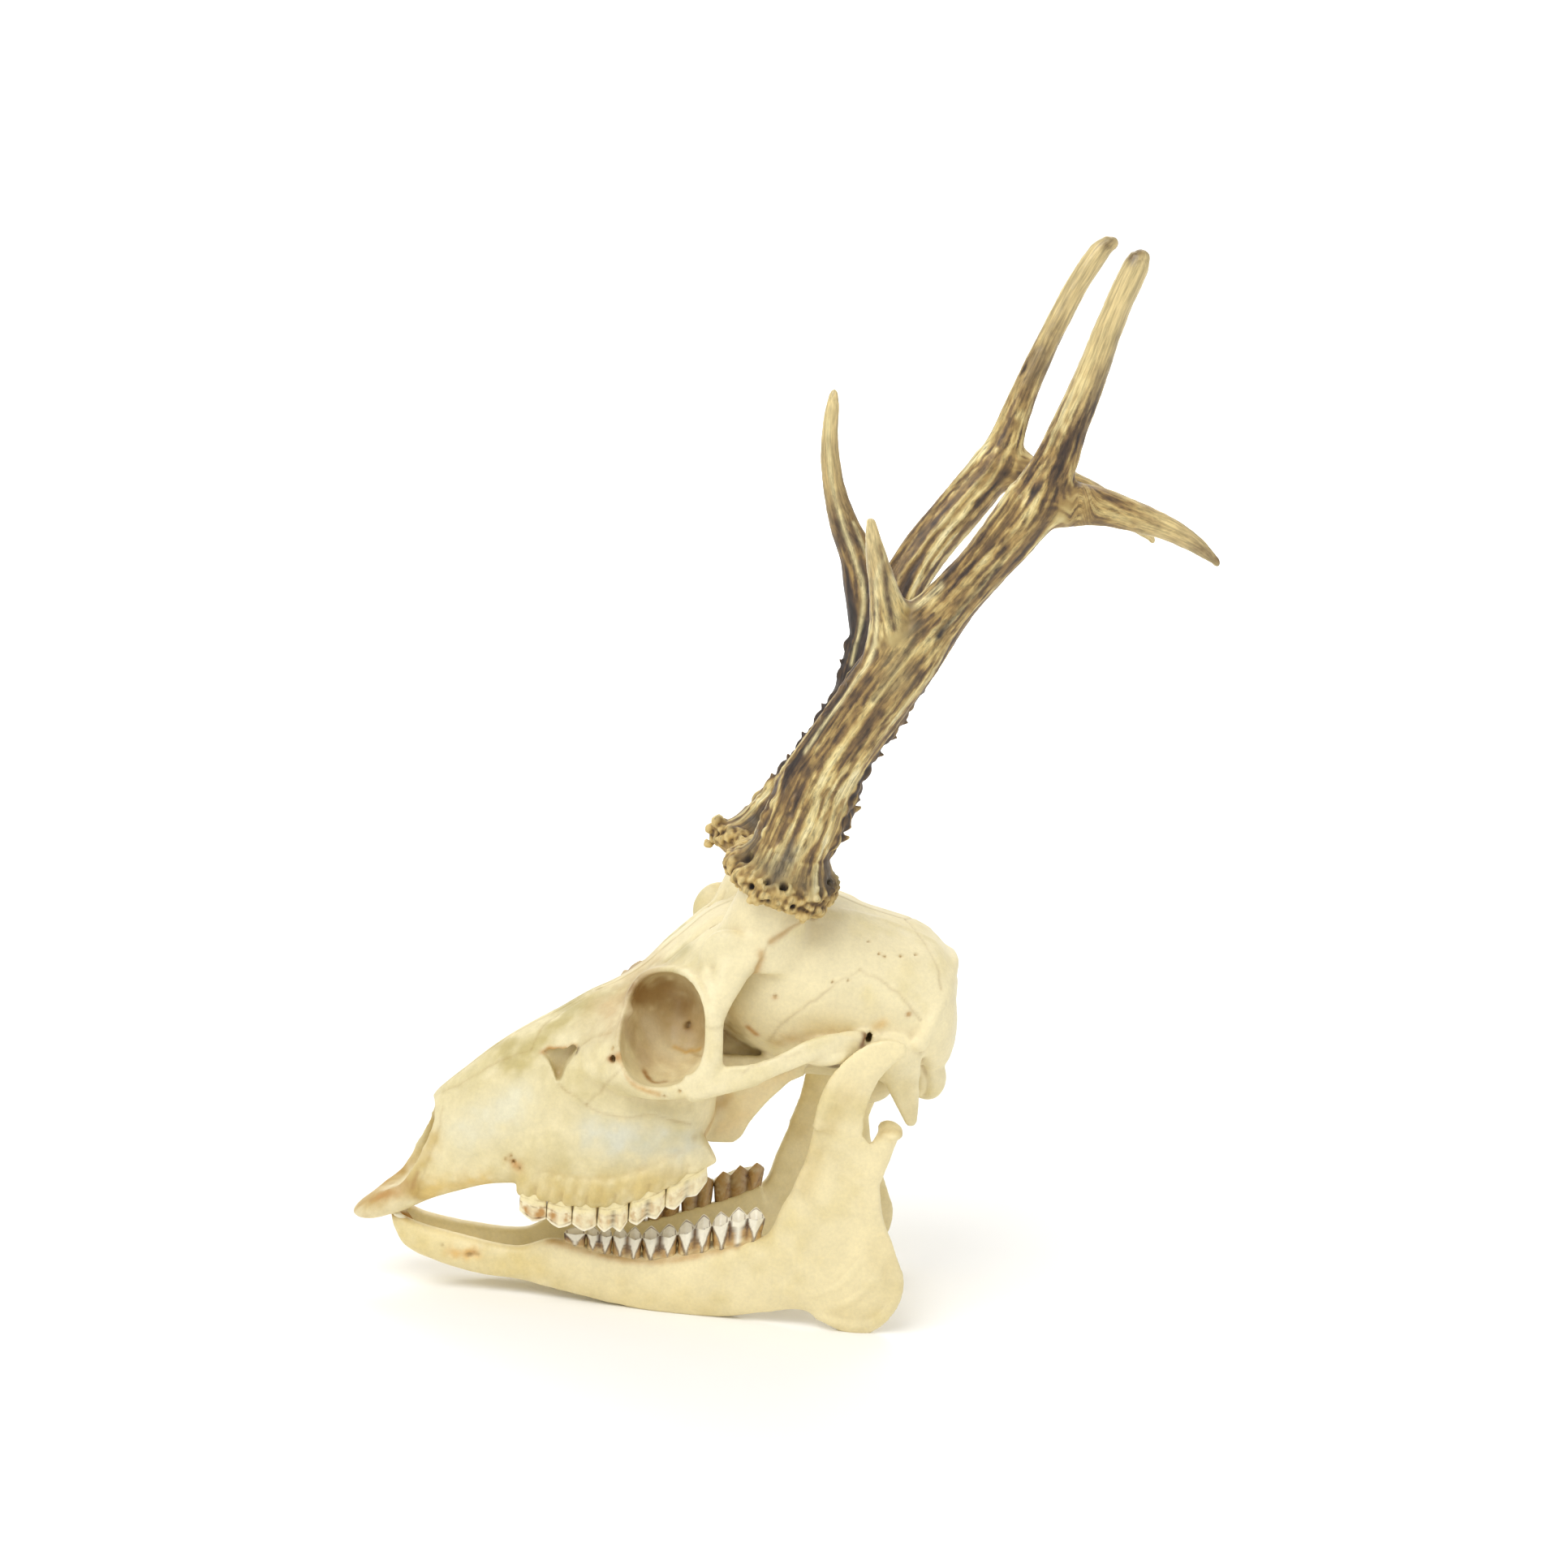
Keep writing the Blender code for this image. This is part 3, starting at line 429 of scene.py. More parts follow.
def lattice_noise(points, size, seed=0):
    """Smooth noise from -1 to 1 that changes over about `size` millimetres."""
    cells = points / size
    base = np.floor(cells).astype(np.int64)
    t = cells - base
    t = t * t * (3 - 2 * t)
    total = np.zeros(len(points))
    for corner in np.ndindex(2, 2, 2):
        x, y, z = (base + corner).T
        h = (x * 374761393 + y * 668265263 + z * 2147483647 + seed * 144269504) & 0xFFFFFFFF
        h = ((h ^ (h >> 13)) * 1274126177) & 0xFFFFFFFF
        value = ((h ^ (h >> 16)) & 0xFFFF) / 32767.5 - 1
        wx, wy, wz = np.where(corner, t, 1 - t).T
        total += value * wx * wy * wz
    return total


def edges_of(made):
    return read(made.data.edges, "vertices", 2, np.int32)


def smoothed(values, pairs, rounds):
    """Values at the points of a mesh, moved some rounds towards the mean of their neighbours'."""
    count = len(values)
    here, there = np.concatenate([pairs, pairs[:, ::-1]]).T
    share = np.maximum(np.bincount(here, minlength=count), 1)
    values = np.array(values, float).reshape(count, -1)
    for _ in range(rounds):
        sums = [np.bincount(here, weights=column[there], minlength=count) for column in values.T]
        values = 0.4 * values + 0.6 * np.stack(sums, 1) / share[:, None]
    return values if values.shape[1] > 1 else values[:, 0]


def softened(made, places, width, rounds):
    """Smooths the skin near some places only."""
    points, _ = skin_of(made)
    gaps = [np.linalg.norm(points - np.array(place), axis=1) for place in places]
    near = np.exp(-((np.min(gaps, axis=0) / width) ** 2))[:, None]
    put_back(made, points + (smoothed(points, edges_of(made), rounds) - points) * near)


def depth_below(made, rounds):
    """How far each point lies under the skin smoothed by some rounds."""
    points, normals = skin_of(made)
    return ((smoothed(points, edges_of(made), rounds) - points) * normals).sum(1)


print("noise at one place:", lattice_noise(np.array([[1, 2, 3]]), 2).round(3))

# %% [markdown]
# ## Stains on a skin
#
# Stains are drawn like strokes, into a colour attribute. Two more attributes hold how deep each point lies in a near
# and in a wide surrounding, because the materials darken deep places, as painted shade and as dirt that gathers
# there. Colours are given as sRGB hex codes.

# %% Staining tools
def unit(values):
    return np.clip(values, 0, 1)


ATTRIBUTE_KINDS = {"FLOAT": ("value", 1), "FLOAT_COLOR": ("color", 4), "FLOAT_VECTOR": ("vector", 3)}


def keep(made, name, values, kind="FLOAT"):
    """Keeps values of a skin's points, as an attribute that materials can read."""
    attribute = made.data.attributes.new(name, kind, "POINT")
    attribute.data.foreach_set(ATTRIBUTE_KINDS[kind][0], np.asarray(values, np.float32).ravel())


def keep_paint(made, colours, hollow, deep):
    """Keeps the colour, how hollow a place is, and how deep it is or, on an antler, how worn."""
    keep(made, "stain", np.concatenate([unit(colours), np.ones((len(colours), 1))], 1), "FLOAT_COLOR")
    keep(made, "hollow", hollow)
    keep(made, "deep", deep)


def linear(hex_colour):
    """An sRGB colour as the linear red, green and blue that a material takes."""
    channels = [int(hex_colour[i : i + 2], 16) / 255 for i in (0, 2, 4)]
    return [c / 12.92 if c <= 0.04045 else ((c + 0.055) / 1.055) ** 2.4 for c in channels]


def mixed(colours, *layers):
    """The colours under layers, each a colour and how much of it every point gets."""
    for hex_colour, weight in layers:
        weight = unit(weight)[:, None]
        colours = colours * (1 - weight) + np.array(linear(hex_colour)) * weight
    return colours


def plain(points, hex_colour):
    return np.tile(linear(hex_colour), (len(points), 1))


def bell(values, middle, width):
    return np.exp(-(((values - middle) / width) ** 2))


print("half grey as linear light:", round(linear("808080")[0], 3))

# %% [markdown]
# ## The cranium: snout, eye sockets and braincase
#
# A deer's cranium is a box for the brain with a long roofed snout in front of it. Hulls give the snout, the block
# that carries the eyes, the braincase and its base, and two short tubes on the forehead are the antlers' stalks. The
# corners of a hull can be read off the photograph one by one, which is why hulls were chosen.

# %% Snout, eye block, braincase and stalks
EYE = Vector((-37, -34, 99.5))
INTO_EYE = Vector((0.34, 0.92, -0.18))
EYE_RIM = (
    (-35.7, -24, 116), (-31.8, -31, 117), (-28.3, -37, 116.1), (-25.7, -40.6, 112.6),
    (-23.9, -42.6, 107.4), (-23, -43.4, 100.1), (-23.6, -43.4, 93.6), (-27, -42.8, 87.9),
    (-32.4, -41.8, 84.1), (-38.6, -40.6, 82.4), (-44.3, -38.8, 83.2), (-48.1, -36.4, 86.7),
    (-49.9, -33.2, 91.6), (-49.9, -29.6, 97.6), (-48.5, -25.6, 103.9), (-46.4, -22.6, 108.9),
    (-43.4, -21, 112.7), (-39.6, -21.6, 114.9),
)

SNOUT = [
    # x, top, height of the widest place, bottom, half width, how boxy above, how boxy below
    (-134.8, 23.9, 23.2, 22.4, 2.4, 2, 2),
    (-132.5, 26, 24, 21.6, 6, 2.2, 2.2),
    (-128, 29.4, 26, 21.8, 8.4, 2.4, 2.4),
    (-123, 34.4, 28.5, 23.2, 9.8, 2.6, 2.6),
    (-118, 42.4, 32, 25.4, 10.8, 2.6, 3),
    (-114, 54.8, 36, 27.6, 11.6, 2.5, 3),
    (-110.5, 63.6, 40, 29.4, 12.4, 2.3, 3),
    (-106, 68.6, 43, 31.4, 13.4, 2.1, 3.2),
    (-100, 73.8, 46, 33.8, 15, 2, 3.5),
    (-90, 82.3, 50, 37.6, 18, 2, 4),
    (-80, 89.4, 55, 39.4, 21.5, 2, 4.5),
    (-70, 95.4, 60, 38.6, 24.5, 2.1, 4.5),
    (-60, 101.4, 64, 38.2, 27.5, 2.2, 4.5),
    (-50, 106.6, 64, 39, 29.6, 2.3, 4),
    (-42, 112.6, 66, 41.5, 30.8, 2.4, 3.5),
    (-36, 118.6, 68, 44.5, 31, 2.4, 3.3),
    (-30, 124.2, 72, 48, 30.8, 2.4, 3.2),
    (-23, 130.8, 78, 52, 29.4, 2.4, 3),
    (-17, 134.4, 90, 58, 22, 2.4, 2.4),
]
EYE_BLOCK = [
    (-62, 94, 82, 75.5, 25, 2.2, 2.2),
    (-56, 100, 83, 75, 30.5, 2.3, 2.3),
    (-50, 104, 83, 74.8, 34.8, 2.3, 2.6),
    (-45, 107.4, 82.5, 75, 37.8, 2.3, 2.8),
    (-39, 114.6, 82, 75.4, 40.8, 2.3, 3),
    (-30, 123.6, 83, 76.5, 43.8, 2.4, 3),
    (-24, 129.4, 85.2, 78.6, 45, 2.4, 2.8),
    (-19.5, 132.8, 87, 81.5, 44, 2.3, 2.6),
    (-17.2, 134, 90, 85, 38, 2.2, 2.2),
]
BRAIN_BOX = [
    (-19, 133.4, 112, 95, 15, 2.2, 2),
    (-12, 136.6, 112, 90, 24, 2.3, 2),
    (-4, 139.4, 112, 86, 28.4, 2.3, 2),
    (6, 140.6, 111.5, 83.5, 30.2, 2.2, 2.1),
    (18, 139, 110, 81.5, 31, 2.1, 2.2),
    (30, 134.8, 107.5, 80.5, 31, 2.1, 2.3),
    (40, 132, 105.5, 80, 30.4, 2.1, 2.3),
    (48, 129.2, 104, 80.5, 29.4, 2.2, 2.3),
    (54.4, 125.2, 103, 82, 27.6, 2.3, 2.4),
    (58.4, 119.6, 102, 85, 23.4, 2.4, 2.4),
    (60.6, 112, 101, 89, 15, 2, 2),
]
SKULL_BASE = [
    (-20, 92, 84, 78, 9, 2.2, 2.5),
    (0, 88, 83, 78, 9, 2.2, 2.5),
    (25, 88, 82, 77.6, 10, 2.2, 2.5),
    (45, 86, 80, 76, 12, 2.2, 2.5),
    (52, 84, 80, 77, 11, 2.2, 2.5),
]
STALK = [
    (-6, -18, 122, 15, 17), (-4.6, -20.5, 133, 12.6, 13.5), (-3.4, -22.4, 141, 11, 11.4),
    (-1.6, -23.3, 150, 10.5, 10.5),
]


def rim_of_eye():
    """The rim's points, pushed out a little from the bowl, and the bar's radius at each."""
    ring = looped(EYE_RIM, 108)
    points = [EYE + (p - EYE) * 1.05 + INTO_EYE * 1.1 for p in ring]
    radii = []
    for k, p in enumerate(ring):
        high = max(0, min(1, (p.z - 96) / 14))
        radii.append(1.55 - 0.25 * high + (0.10 + 0.34 * high) * math.sin(k * 1.9) * math.sin(k * 0.61))
    return points, radii


def roof_of_eye(points):
    """A thin roof from the upper part of the rim in to the forehead."""
    count, limit = len(points), 104
    start = next(k for k in range(count) if points[k].z > limit >= points[k - 1].z)
    upper = []
    while points[(start + len(upper)) % count].z > limit:
        upper.append(points[(start + len(upper)) % count])
    inwards, radius = Vector((0.07, 0.97, -0.22)), 1.25
    courses = [[(*(p + inwards * deep), radius, radius) for p in upper] for deep in (1.6, 3.2, 4.8, 6.4, 8, 9.6)]
    return [tube(course, sides=10, count=40) for course in courses]


def nuchal_crest():
    """The sharp rim round the back of the braincase, from ear to ear."""
    half = [
        (46, -30, 96, 2.4, 2.6), (51, -28.4, 105, 2.2, 2.6), (55, -22, 113.5, 2.2, 2.6),
        (57.8, -11, 117.6, 2.4, 2.6),
    ]
    rows = half + [(58.8, 0, 118.8, 2.6, 2.8)] + [(x, -y, z, w, h) for x, y, z, w, h in reversed(half)]
    return tube(rows, across=(1, 0, 0), count=60)


rim, rim_radii = rim_of_eye()
right_rim = [p + Vector((0, 3, -4.6)) * max(0, min(1, (p.z - 94) / 10)) for p in rim]
cranium = laid_up(
    "cranium",
    [
        hull(SNOUT),
        hull(EYE_BLOCK),
        hull(BRAIN_BOX),
        hull(SKULL_BASE),
        hoop(rim, rim_radii),
        mirrored(hoop(right_rim, rim_radii)),
        *roof_of_eye(rim),
        *[mirrored(form) for form in roof_of_eye(right_rim)],
        nuchal_crest(),
        *both(tube(STALK, sides=40)),
    ],
)
melted(cranium, grain=0.9, rounds=10)
print("points in the first skin:", len(cranium.data.vertices))

# %% [markdown]
# ## Eye sockets and temporal hollows
#
# The eye sockets are bowls that narrow towards the brain. Behind each eye the jaw muscle passed down inside the cheek
# arch, so the braincase is pinched there. Bowls and hollows are melted into one cutter, which rounds the ridge that
# is left between them.

# %% Cut the sockets
def eye_bowls():
    inwards = INTO_EYE.normalized()
    ring = looped(EYE_RIM, 60)
    depths = ((-12, 1.12), (0, 1), (5, 1.03), (13, 0.95), (20, 0.74), (26, 0.42))
    return both(skinned([[EYE + inwards * deep + (p - EYE) * wide for p in ring] for deep, wide in depths]))


def temporal_hollows():
    return both(
        ball((-15, -35.5, 101), (5.6, 13.5, 13.5), (0, 0, -16)),
        ball((0, -37, 90.5), (17, 5.6, 11), (0, 10, -4)),
        ball((-11, -28.5, 84), (12, 12.5, 12)),
    )


sockets = laid_up("sockets", [*eye_bowls(), *temporal_hollows()])
melted(sockets, grain=0.9, rounds=3)
cut(cranium, sockets)
print("points with the sockets cut:", len(cranium.data.vertices))

# %% [markdown]
# ## Cheek arches, ear region and the plates behind the palate
#
# Thin bars and hooks are laid on after the first melting, which would lose them: the cheek arch with the bar that
# closes the socket behind the eye, the ear with its capsule, the process behind it, the two knuckles that meet the
# neck, the plates that hang behind the palate, and the ridge that holds the upper teeth.

# %% Arches, ears, knuckles and plates
ARCH = [
    # x, y, z, half size across, half size upwards
    (-28, -42, 83, 3, 4.6),
    (-18, -43.8, 86.6, 2.3, 4.4),
    (-7, -44.2, 89.2, 1.9, 3.3),
    (3, -43.4, 93.4, 1.8, 3.1),
    (11, -41.8, 97.2, 2, 3.5),
    (18, -39.6, 99.2, 2.4, 3.2),
    (25, -35.6, 98.6, 2.8, 3),
    (31, -29, 97, 3.4, 4),
]
EYE_BAR = [
    (-20.4, -31.5, 119.5, 2.4, 4.6),
    (-21, -36.6, 114, 2.6, 4.2),
    (-20.6, -41.2, 107, 2.3, 3.2),
    (-20.4, -43.4, 97, 2.3, 3.2),
    (-21.2, -43.6, 88, 2.6, 4.4),
]
PROCESS_BEHIND_EAR = [
    (41, -27, 92, 3.8, 8),
    (42.4, -28.4, 84.5, 2.2, 5.8),
    (44.6, -29.2, 76.5, 1.7, 3.8),
    (46.4, -29.6, 69.4, 1.1, 1.8),
]
BAR_TOP = [
    (-20.2, -41, 106, 1.9, 3), (-18.6, -38.4, 111.6, 2.2, 4), (-16.4, -35.6, 117.6, 2.8, 5.2),
    (-13.6, -33, 123.4, 3.2, 5.6), (-9.6, -30.6, 128.8, 3.4, 5), (-4, -28.4, 133.2, 3.2, 3.6),
    (4, -25, 136.4, 2.4, 2.4),
]
HOOK_PLATE = [
    (-24, 57), (-17, 55.6), (-10, 56), (-7.6, 58), (-5, 63.5), (0, 70), (7, 77.5), (12, 80), (12, 86), (-24, 86),
]
ROWS = {
    # along the row: x, y of the row's middle, gum line, tip of the higher side, width
    "upper": [
        (-80, -18.8, 37.6, 30.6, 5.6), (-74.2, -19.9, 37, 29.2, 6.4), (-67.5, -21.6, 36.3, 28.5, 7.6),
        (-60.4, -23.2, 36.1, 28.4, 8.6), (-51, -24.6, 37, 28.9, 10), (-47, -25.1, 38.2, 29.5, 10.6),
        (-42.6, -25.4, 40, 31.6, 10.8), (-36.6, -25.6, 42.8, 34, 10.8), (-31.7, -25.6, 45.4, 36.6, 10.6),
        (-26.3, -25.4, 48.6, 39.9, 10.2), (-19, -25.2, 53.2, 45.6, 9.4),
    ],
    "lower": [
        (-65, -14.2, 20.6, 24.2, 3.8), (-57, -15.2, 18.8, 25.4, 4.8), (-47, -16.6, 17, 26.2, 5.6),
        (-39, -18.2, 16.7, 26.8, 6.4), (-30, -20, 18.9, 28.6, 7), (-24.6, -21.2, 20.4, 30.6, 7.2),
        (-19.2, -22.2, 21.8, 33, 7.2), (-13.4, -23.4, 23.4, 34.8, 7), (-8, -24.4, 25.2, 36.8, 6.8),
        (0.6, -25.8, 28.6, 37.6, 5.6),
    ],
}
TEETH = {
    # where each tooth begins and ends along the row, and its lobes
    "upper": [(-79.7, -70.9, 1), (-70.7, -62.6, 1), (-62.3, -54.5, 1), (-54.2, -44.3, 2), (-44.1, -32.4, 2),
        (-32.4, -19.2, 2)],
    "lower": [(-64.4, -57.4, 1), (-57.2, -48.7, 2), (-48.5, -39, 2), (-38.8, -27.5, 2), (-27.3, -16.5, 2),
        (-16.3, 0.5, 3)],
}


def tooth_ridge():
    """The bone that holds the upper teeth, and a fuller flank above it."""
    low = [(x, y + 0.3, gum + 5.4, width / 2 + 0.4, 6) for x, y, gum, _, width in ROWS["upper"]]
    low[0] = (-80.8, -18.2, 42.2, 2.7, 5.4)
    flank = [(x, y + 1.4, gum + 14, width / 2 + 0.6, 9) for x, y, gum, _, width in ROWS["upper"][2:-1]]
    return [tube(low, power=2.6, count=70), tube(flank, power=2.2, count=70)]


EYE_CORNER = (-47.4, -22.8, 102.4)  # the bowl comes close to the side of the snout here
bars = laid_up(
    "bars",
    both(
        tube(ARCH, power=2.5, count=70),
        ball((17, -33, 94.6), (9.5, 9.5, 4), (0, -8, 0)),
        tube(EYE_BAR, count=40),
        tube(BAR_TOP, count=50),
        ball((-17.6, -30.4, 124.4), (8.5, 4.4, 9.5), (10, 24, 0)),
        ball((38, -27.5, 93), (9, 5.5, 10)),
        ball((31.5, -27.5, 90), (5, 6, 5)),
        ball((32.5, -17.5, 79.5), (8.5, 5, 6.5)),
        tube(PROCESS_BEHIND_EAR, power=2.4),
        ball((51.4, -12.5, 82), (7, 6.6, 9), (12, -14, -22)),
        ball((45, -9.5, 79), (7, 7.5, 6)),
        plate(HOOK_PLATE, -10.8, 2.4),
        ball(EYE_CORNER, (2.2, 1.6, 2.4)),
        *tooth_ridge(),
    ),
)
joined(cranium, bars)
melted(cranium, grain=0.8, rounds=2)
print("points with the bars:", len(cranium.data.vertices))

# %% [markdown]
# ## Openings
#
# The nose, the hole for the spinal cord, the passage over the palate, the slit in front of each eye, and small
# holes for nerves and tear ducts are plain cutters. A last melting at a fine voxel rounds their edges, where a
# bevel would fail on so dense a mesh.

# %% Cut the openings
NOSE = [
    (-128.5, 52, 33, 30.5, 4.6, 3, 3),
    (-124, 58, 36, 31.5, 6.4, 3, 3),
    (-118, 66, 40, 34, 8.4, 3, 3),
    (-112, 66, 44, 37, 9.7, 2.6, 3),
    (-108, 62.4, 47, 39, 10.4, 2.2, 3),
    (-98, 68.4, 51, 42, 11.6, 2.2, 3),
    (-84, 76.4, 56, 47, 12.6, 2.2, 2.6),
    (-70, 80, 64, 54, 9, 2, 2),
]
UNDER_NOSE = [
    (-128.5, 23.5, 19, 14, 3, 3, 3),
    (-124, 26.2, 19, 14, 7.2, 4, 3),
    (-118, 28, 19, 14, 8.2, 4, 3),
    (-111, 30, 19, 14, 8.2, 4, 3),
    (-102, 32.5, 24, 20, 7, 3, 3),
]
THROAT = [
    (-34, 66, 58, 54, 5.5, 3, 3), (-20, 72, 62, 46, 8.6, 3, 3), (-4, 77, 66, 40, 9.4, 3, 3),
    (14, 78, 66, 40, 9.4, 3, 3),
]
SPINAL_HOLE = [(66, 0, 90.4, 9.2, 8.2), (52, 0, 89.2, 8.7, 7.9), (42, 0, 90, 7, 6.5)]


def small_holes():
    """The slit, tear ducts, nerve holes of cheek and forehead, ear hole, and holes in the eye's bowl."""
    slit = [(-75.4, 85), (-72.4, 83), (-70.4, 79.4), (-69.2, 75.6), (-68, 78.4), (-66.6, 82.4), (-64.8, 85.2)]
    slit += [(-62.6, 88.6), (-64.8, 88.8), (-67.4, 87.2), (-70.6, 86.4), (-73.4, 86)]
    brow_hole = [(-22, -13, 136, 1.2, 1.4), (-21, -13, 129, 0.9, 1.2), (-20, -13, 122, 0.6, 0.8)]
    ear_hole = [(28.4, -42, 100.4, 1.8, 2.1), (30.2, -32, 99.4, 1.7, 2), (31, -22, 98, 1.2, 1.4)]
    return both(
        plate(slit, -13.6, 16),
        tube([(-53.6, -36, 88.9, 1.2, 1.6), (-50.6, -29, 88.6, 1, 1.4), (-46, -25, 88, 0.6, 0.8)], sides=12),
        tube([(-51.6, -37, 95.2, 0.7, 0.9), (-48.4, -29, 93.8, 0.6, 0.8), (-44, -25, 92, 0.5, 0.6)], sides=12),
        tube([(-88, -24, 47.8, 1, 1.3), (-82.4, -20.4, 49, 1, 1.3), (-74, -15, 51, 0.7, 0.9)], sides=16),
        tube(brow_hole, sides=12, across=(1, 0, 0)),
        tube(ear_hole, sides=20, across=(1, 0, 0)),
        tube([(-29.5, -11.8, 95.4, 1.1, 1.5), (-25, -6, 94, 0.9, 1.2)], sides=16),
        tube([(-14, -22, 88, 2, 2.6), (-8, -10, 87, 1.2, 1.4)], sides=16),
    )


big_holes = [hull(NOSE), hull(UNDER_NOSE), hull(THROAT), tube(SPINAL_HOLE, sides=40)]
openings = laid_up("openings", big_holes + small_holes())
cut(cranium, openings)
melted(cranium, grain=0.72, rounds=2)
NOSE_EDGE = [
    (-107, -7, 63), (-108.6, -9, 57.5), (-111.4, -9.4, 52), (-114.4, -9.4, 47), (-117.6, -9, 42),
    (-120.6, -8, 38),
]
softened(cranium, NOSE_EDGE + flipped(NOSE_EDGE, -1), width=6, rounds=40)
softened(cranium, [EYE_CORNER] + flipped([EYE_CORNER], -1), width=3.5, rounds=12)
print("points of the whole cranium:", len(cranium.data.vertices))

# %% [markdown]
# ## Relief of the cranium
#
# Bone is marked by seams where two bones met, lines where a muscle began, bulges over the roots of the teeth, and
# pits for vessels. Every stroke is a width, a height (below zero for a groove) and its path on the left side, and
# is drawn on both sides. A table of strokes can be drawn again after any change of the form, which sculpting by
# hand can't. Seams wander a little, as the real ones do.

# %% Draw seams, crests, bulges and pits
def wandering(path, sway, step=2.6, seed=0):
    """A path with small turns to both sides."""
    length = sum((Vector(b) - Vector(a)).length for a, b in zip(path, path[1:]))
    rows = spaced([tuple(p) for p in path], max(4, int(length / step)))
    picks = random.Random(seed)
    return [tuple(c + picks.uniform(-sway, sway) for c in row) for row in rows]


SEAMS = {
    # the left side's path of each seam between two bones
    "nasal and upper jaw": [(-106.8, -4.1, 66.9), (-103.9, -5.9, 69.5), (-98.9, -6.8, 72.5), (-92.5, -8.2, 77.2),
        (-84.7, -10.2, 81.8), (-78.2, -12, 85.2)],
    "nasal and forehead": [(-78.2, -12, 85.2), (-77, -9.9, 88), (-74, -6, 91.9), (-69.3, -3.8, 95.4),
        (-62, -2.4, 100.4), (-57, 0, 103.6)],
    "middle of the nasals": [(-108, 0, 67.4), (-96, 0, 77.8), (-80, 0, 90.4), (-60, 0, 102)],
    "premaxilla": [(-106.5, -8.7, 62.7), (-107.5, -11.2, 56.5), (-109.8, -12, 48.3), (-112.1, -11.9, 39.8),
        (-114, -11.2, 32.5)],
    "forehead, front": [(-63.2, -20, 88.8), (-60, -21.4, 91.5), (-56.7, -23.8, 94), (-53.1, -26.1, 95.9)],
    "tear bone and upper jaw": [(-69, -22.5, 76.1), (-65.8, -24.3, 74.8), (-62.5, -25.7, 73.5),
        (-59.8, -26.6, 71.1)],
    "cheekbone and upper jaw": [(-59.8, -26.6, 71.1), (-53.7, -28.8, 69.3), (-45.8, -30.2, 68.4),
        (-39.3, -30.9, 70), (-32.6, -31, 68.7), (-25.9, -30, 67.5)],
    "tear bone and cheekbone": [(-59.8, -26.6, 71.1), (-56.4, -29.4, 76), (-52.6, -32.6, 81.4), (-50.2, -36, 86)],
    "middle of the forehead": [(-58, 0, 103.2), (-42, 0, 113.2), (-28, 0, 127), (-14, 0, 136.6), (-4, 0, 139.8)],
    "crown": [(-3, 0, 140.2), (6, -9, 139.2), (13.1, -14.6, 137.2), (5.7, -28.5, 136.4), (0.4, -31.9, 133.6),
        (-3.4, -32.7, 130.4), (-5.7, -32.7, 126.2), (-8.1, -32.6, 122.6), (-11.4, -28.1, 117.9),
        (-13.7, -26, 114.8), (-15.2, -24.3, 108.8)],
    "middle of the crown": [(0, 0, 140.6), (14, 0, 140), (28, 0, 136), (41, 0, 132.2)],
    "temple": [(-1.8, -24, 92.8), (1.4, -28.8, 100.4), (7.4, -30.9, 107), (13.6, -31, 112.1),
        (19.9, -30.1, 117.2), (26.3, -28.5, 121.2)],
    "temple, rear": [(26.3, -28.5, 121.2), (34, -29, 117.5), (41, -28.8, 112), (47, -28.6, 105)],
    "back of the crown": [(43, 0, 131.6), (46, -9, 129.2), (50, -17, 123.6), (52.6, -24, 114)],
    "cheek arch": [(-10.8, -46.2, 90.1), (-5.7, -45.3, 92.8), (0.2, -43.8, 94.6), (7.1, -44.5, 97)],
    "bar behind the eye": [(-23.2, -43.6, 104.2), (-20.6, -44.4, 103.8), (-18, -43.2, 104.6)],
    "throat plate": [(-19, -13.4, 74.5), (-9, -13.2, 76), (0, -13.2, 79.4), (8, -13, 82)],
    "palate and upper jaw": [(-22.5, -22.6, 61), (-18.6, -18.6, 64.5), (-15.6, -15.2, 69)],
    "floor of the eye": [(-29.7, -14.1, 89.3), (-26.5, -16.4, 88.1), (-22.8, -20.8, 88)],
}
for name, path in SEAMS.items():
    SEAMS[name] = wandering(path, 0.0 if name.startswith("middle") else 0.42, seed=len(name))

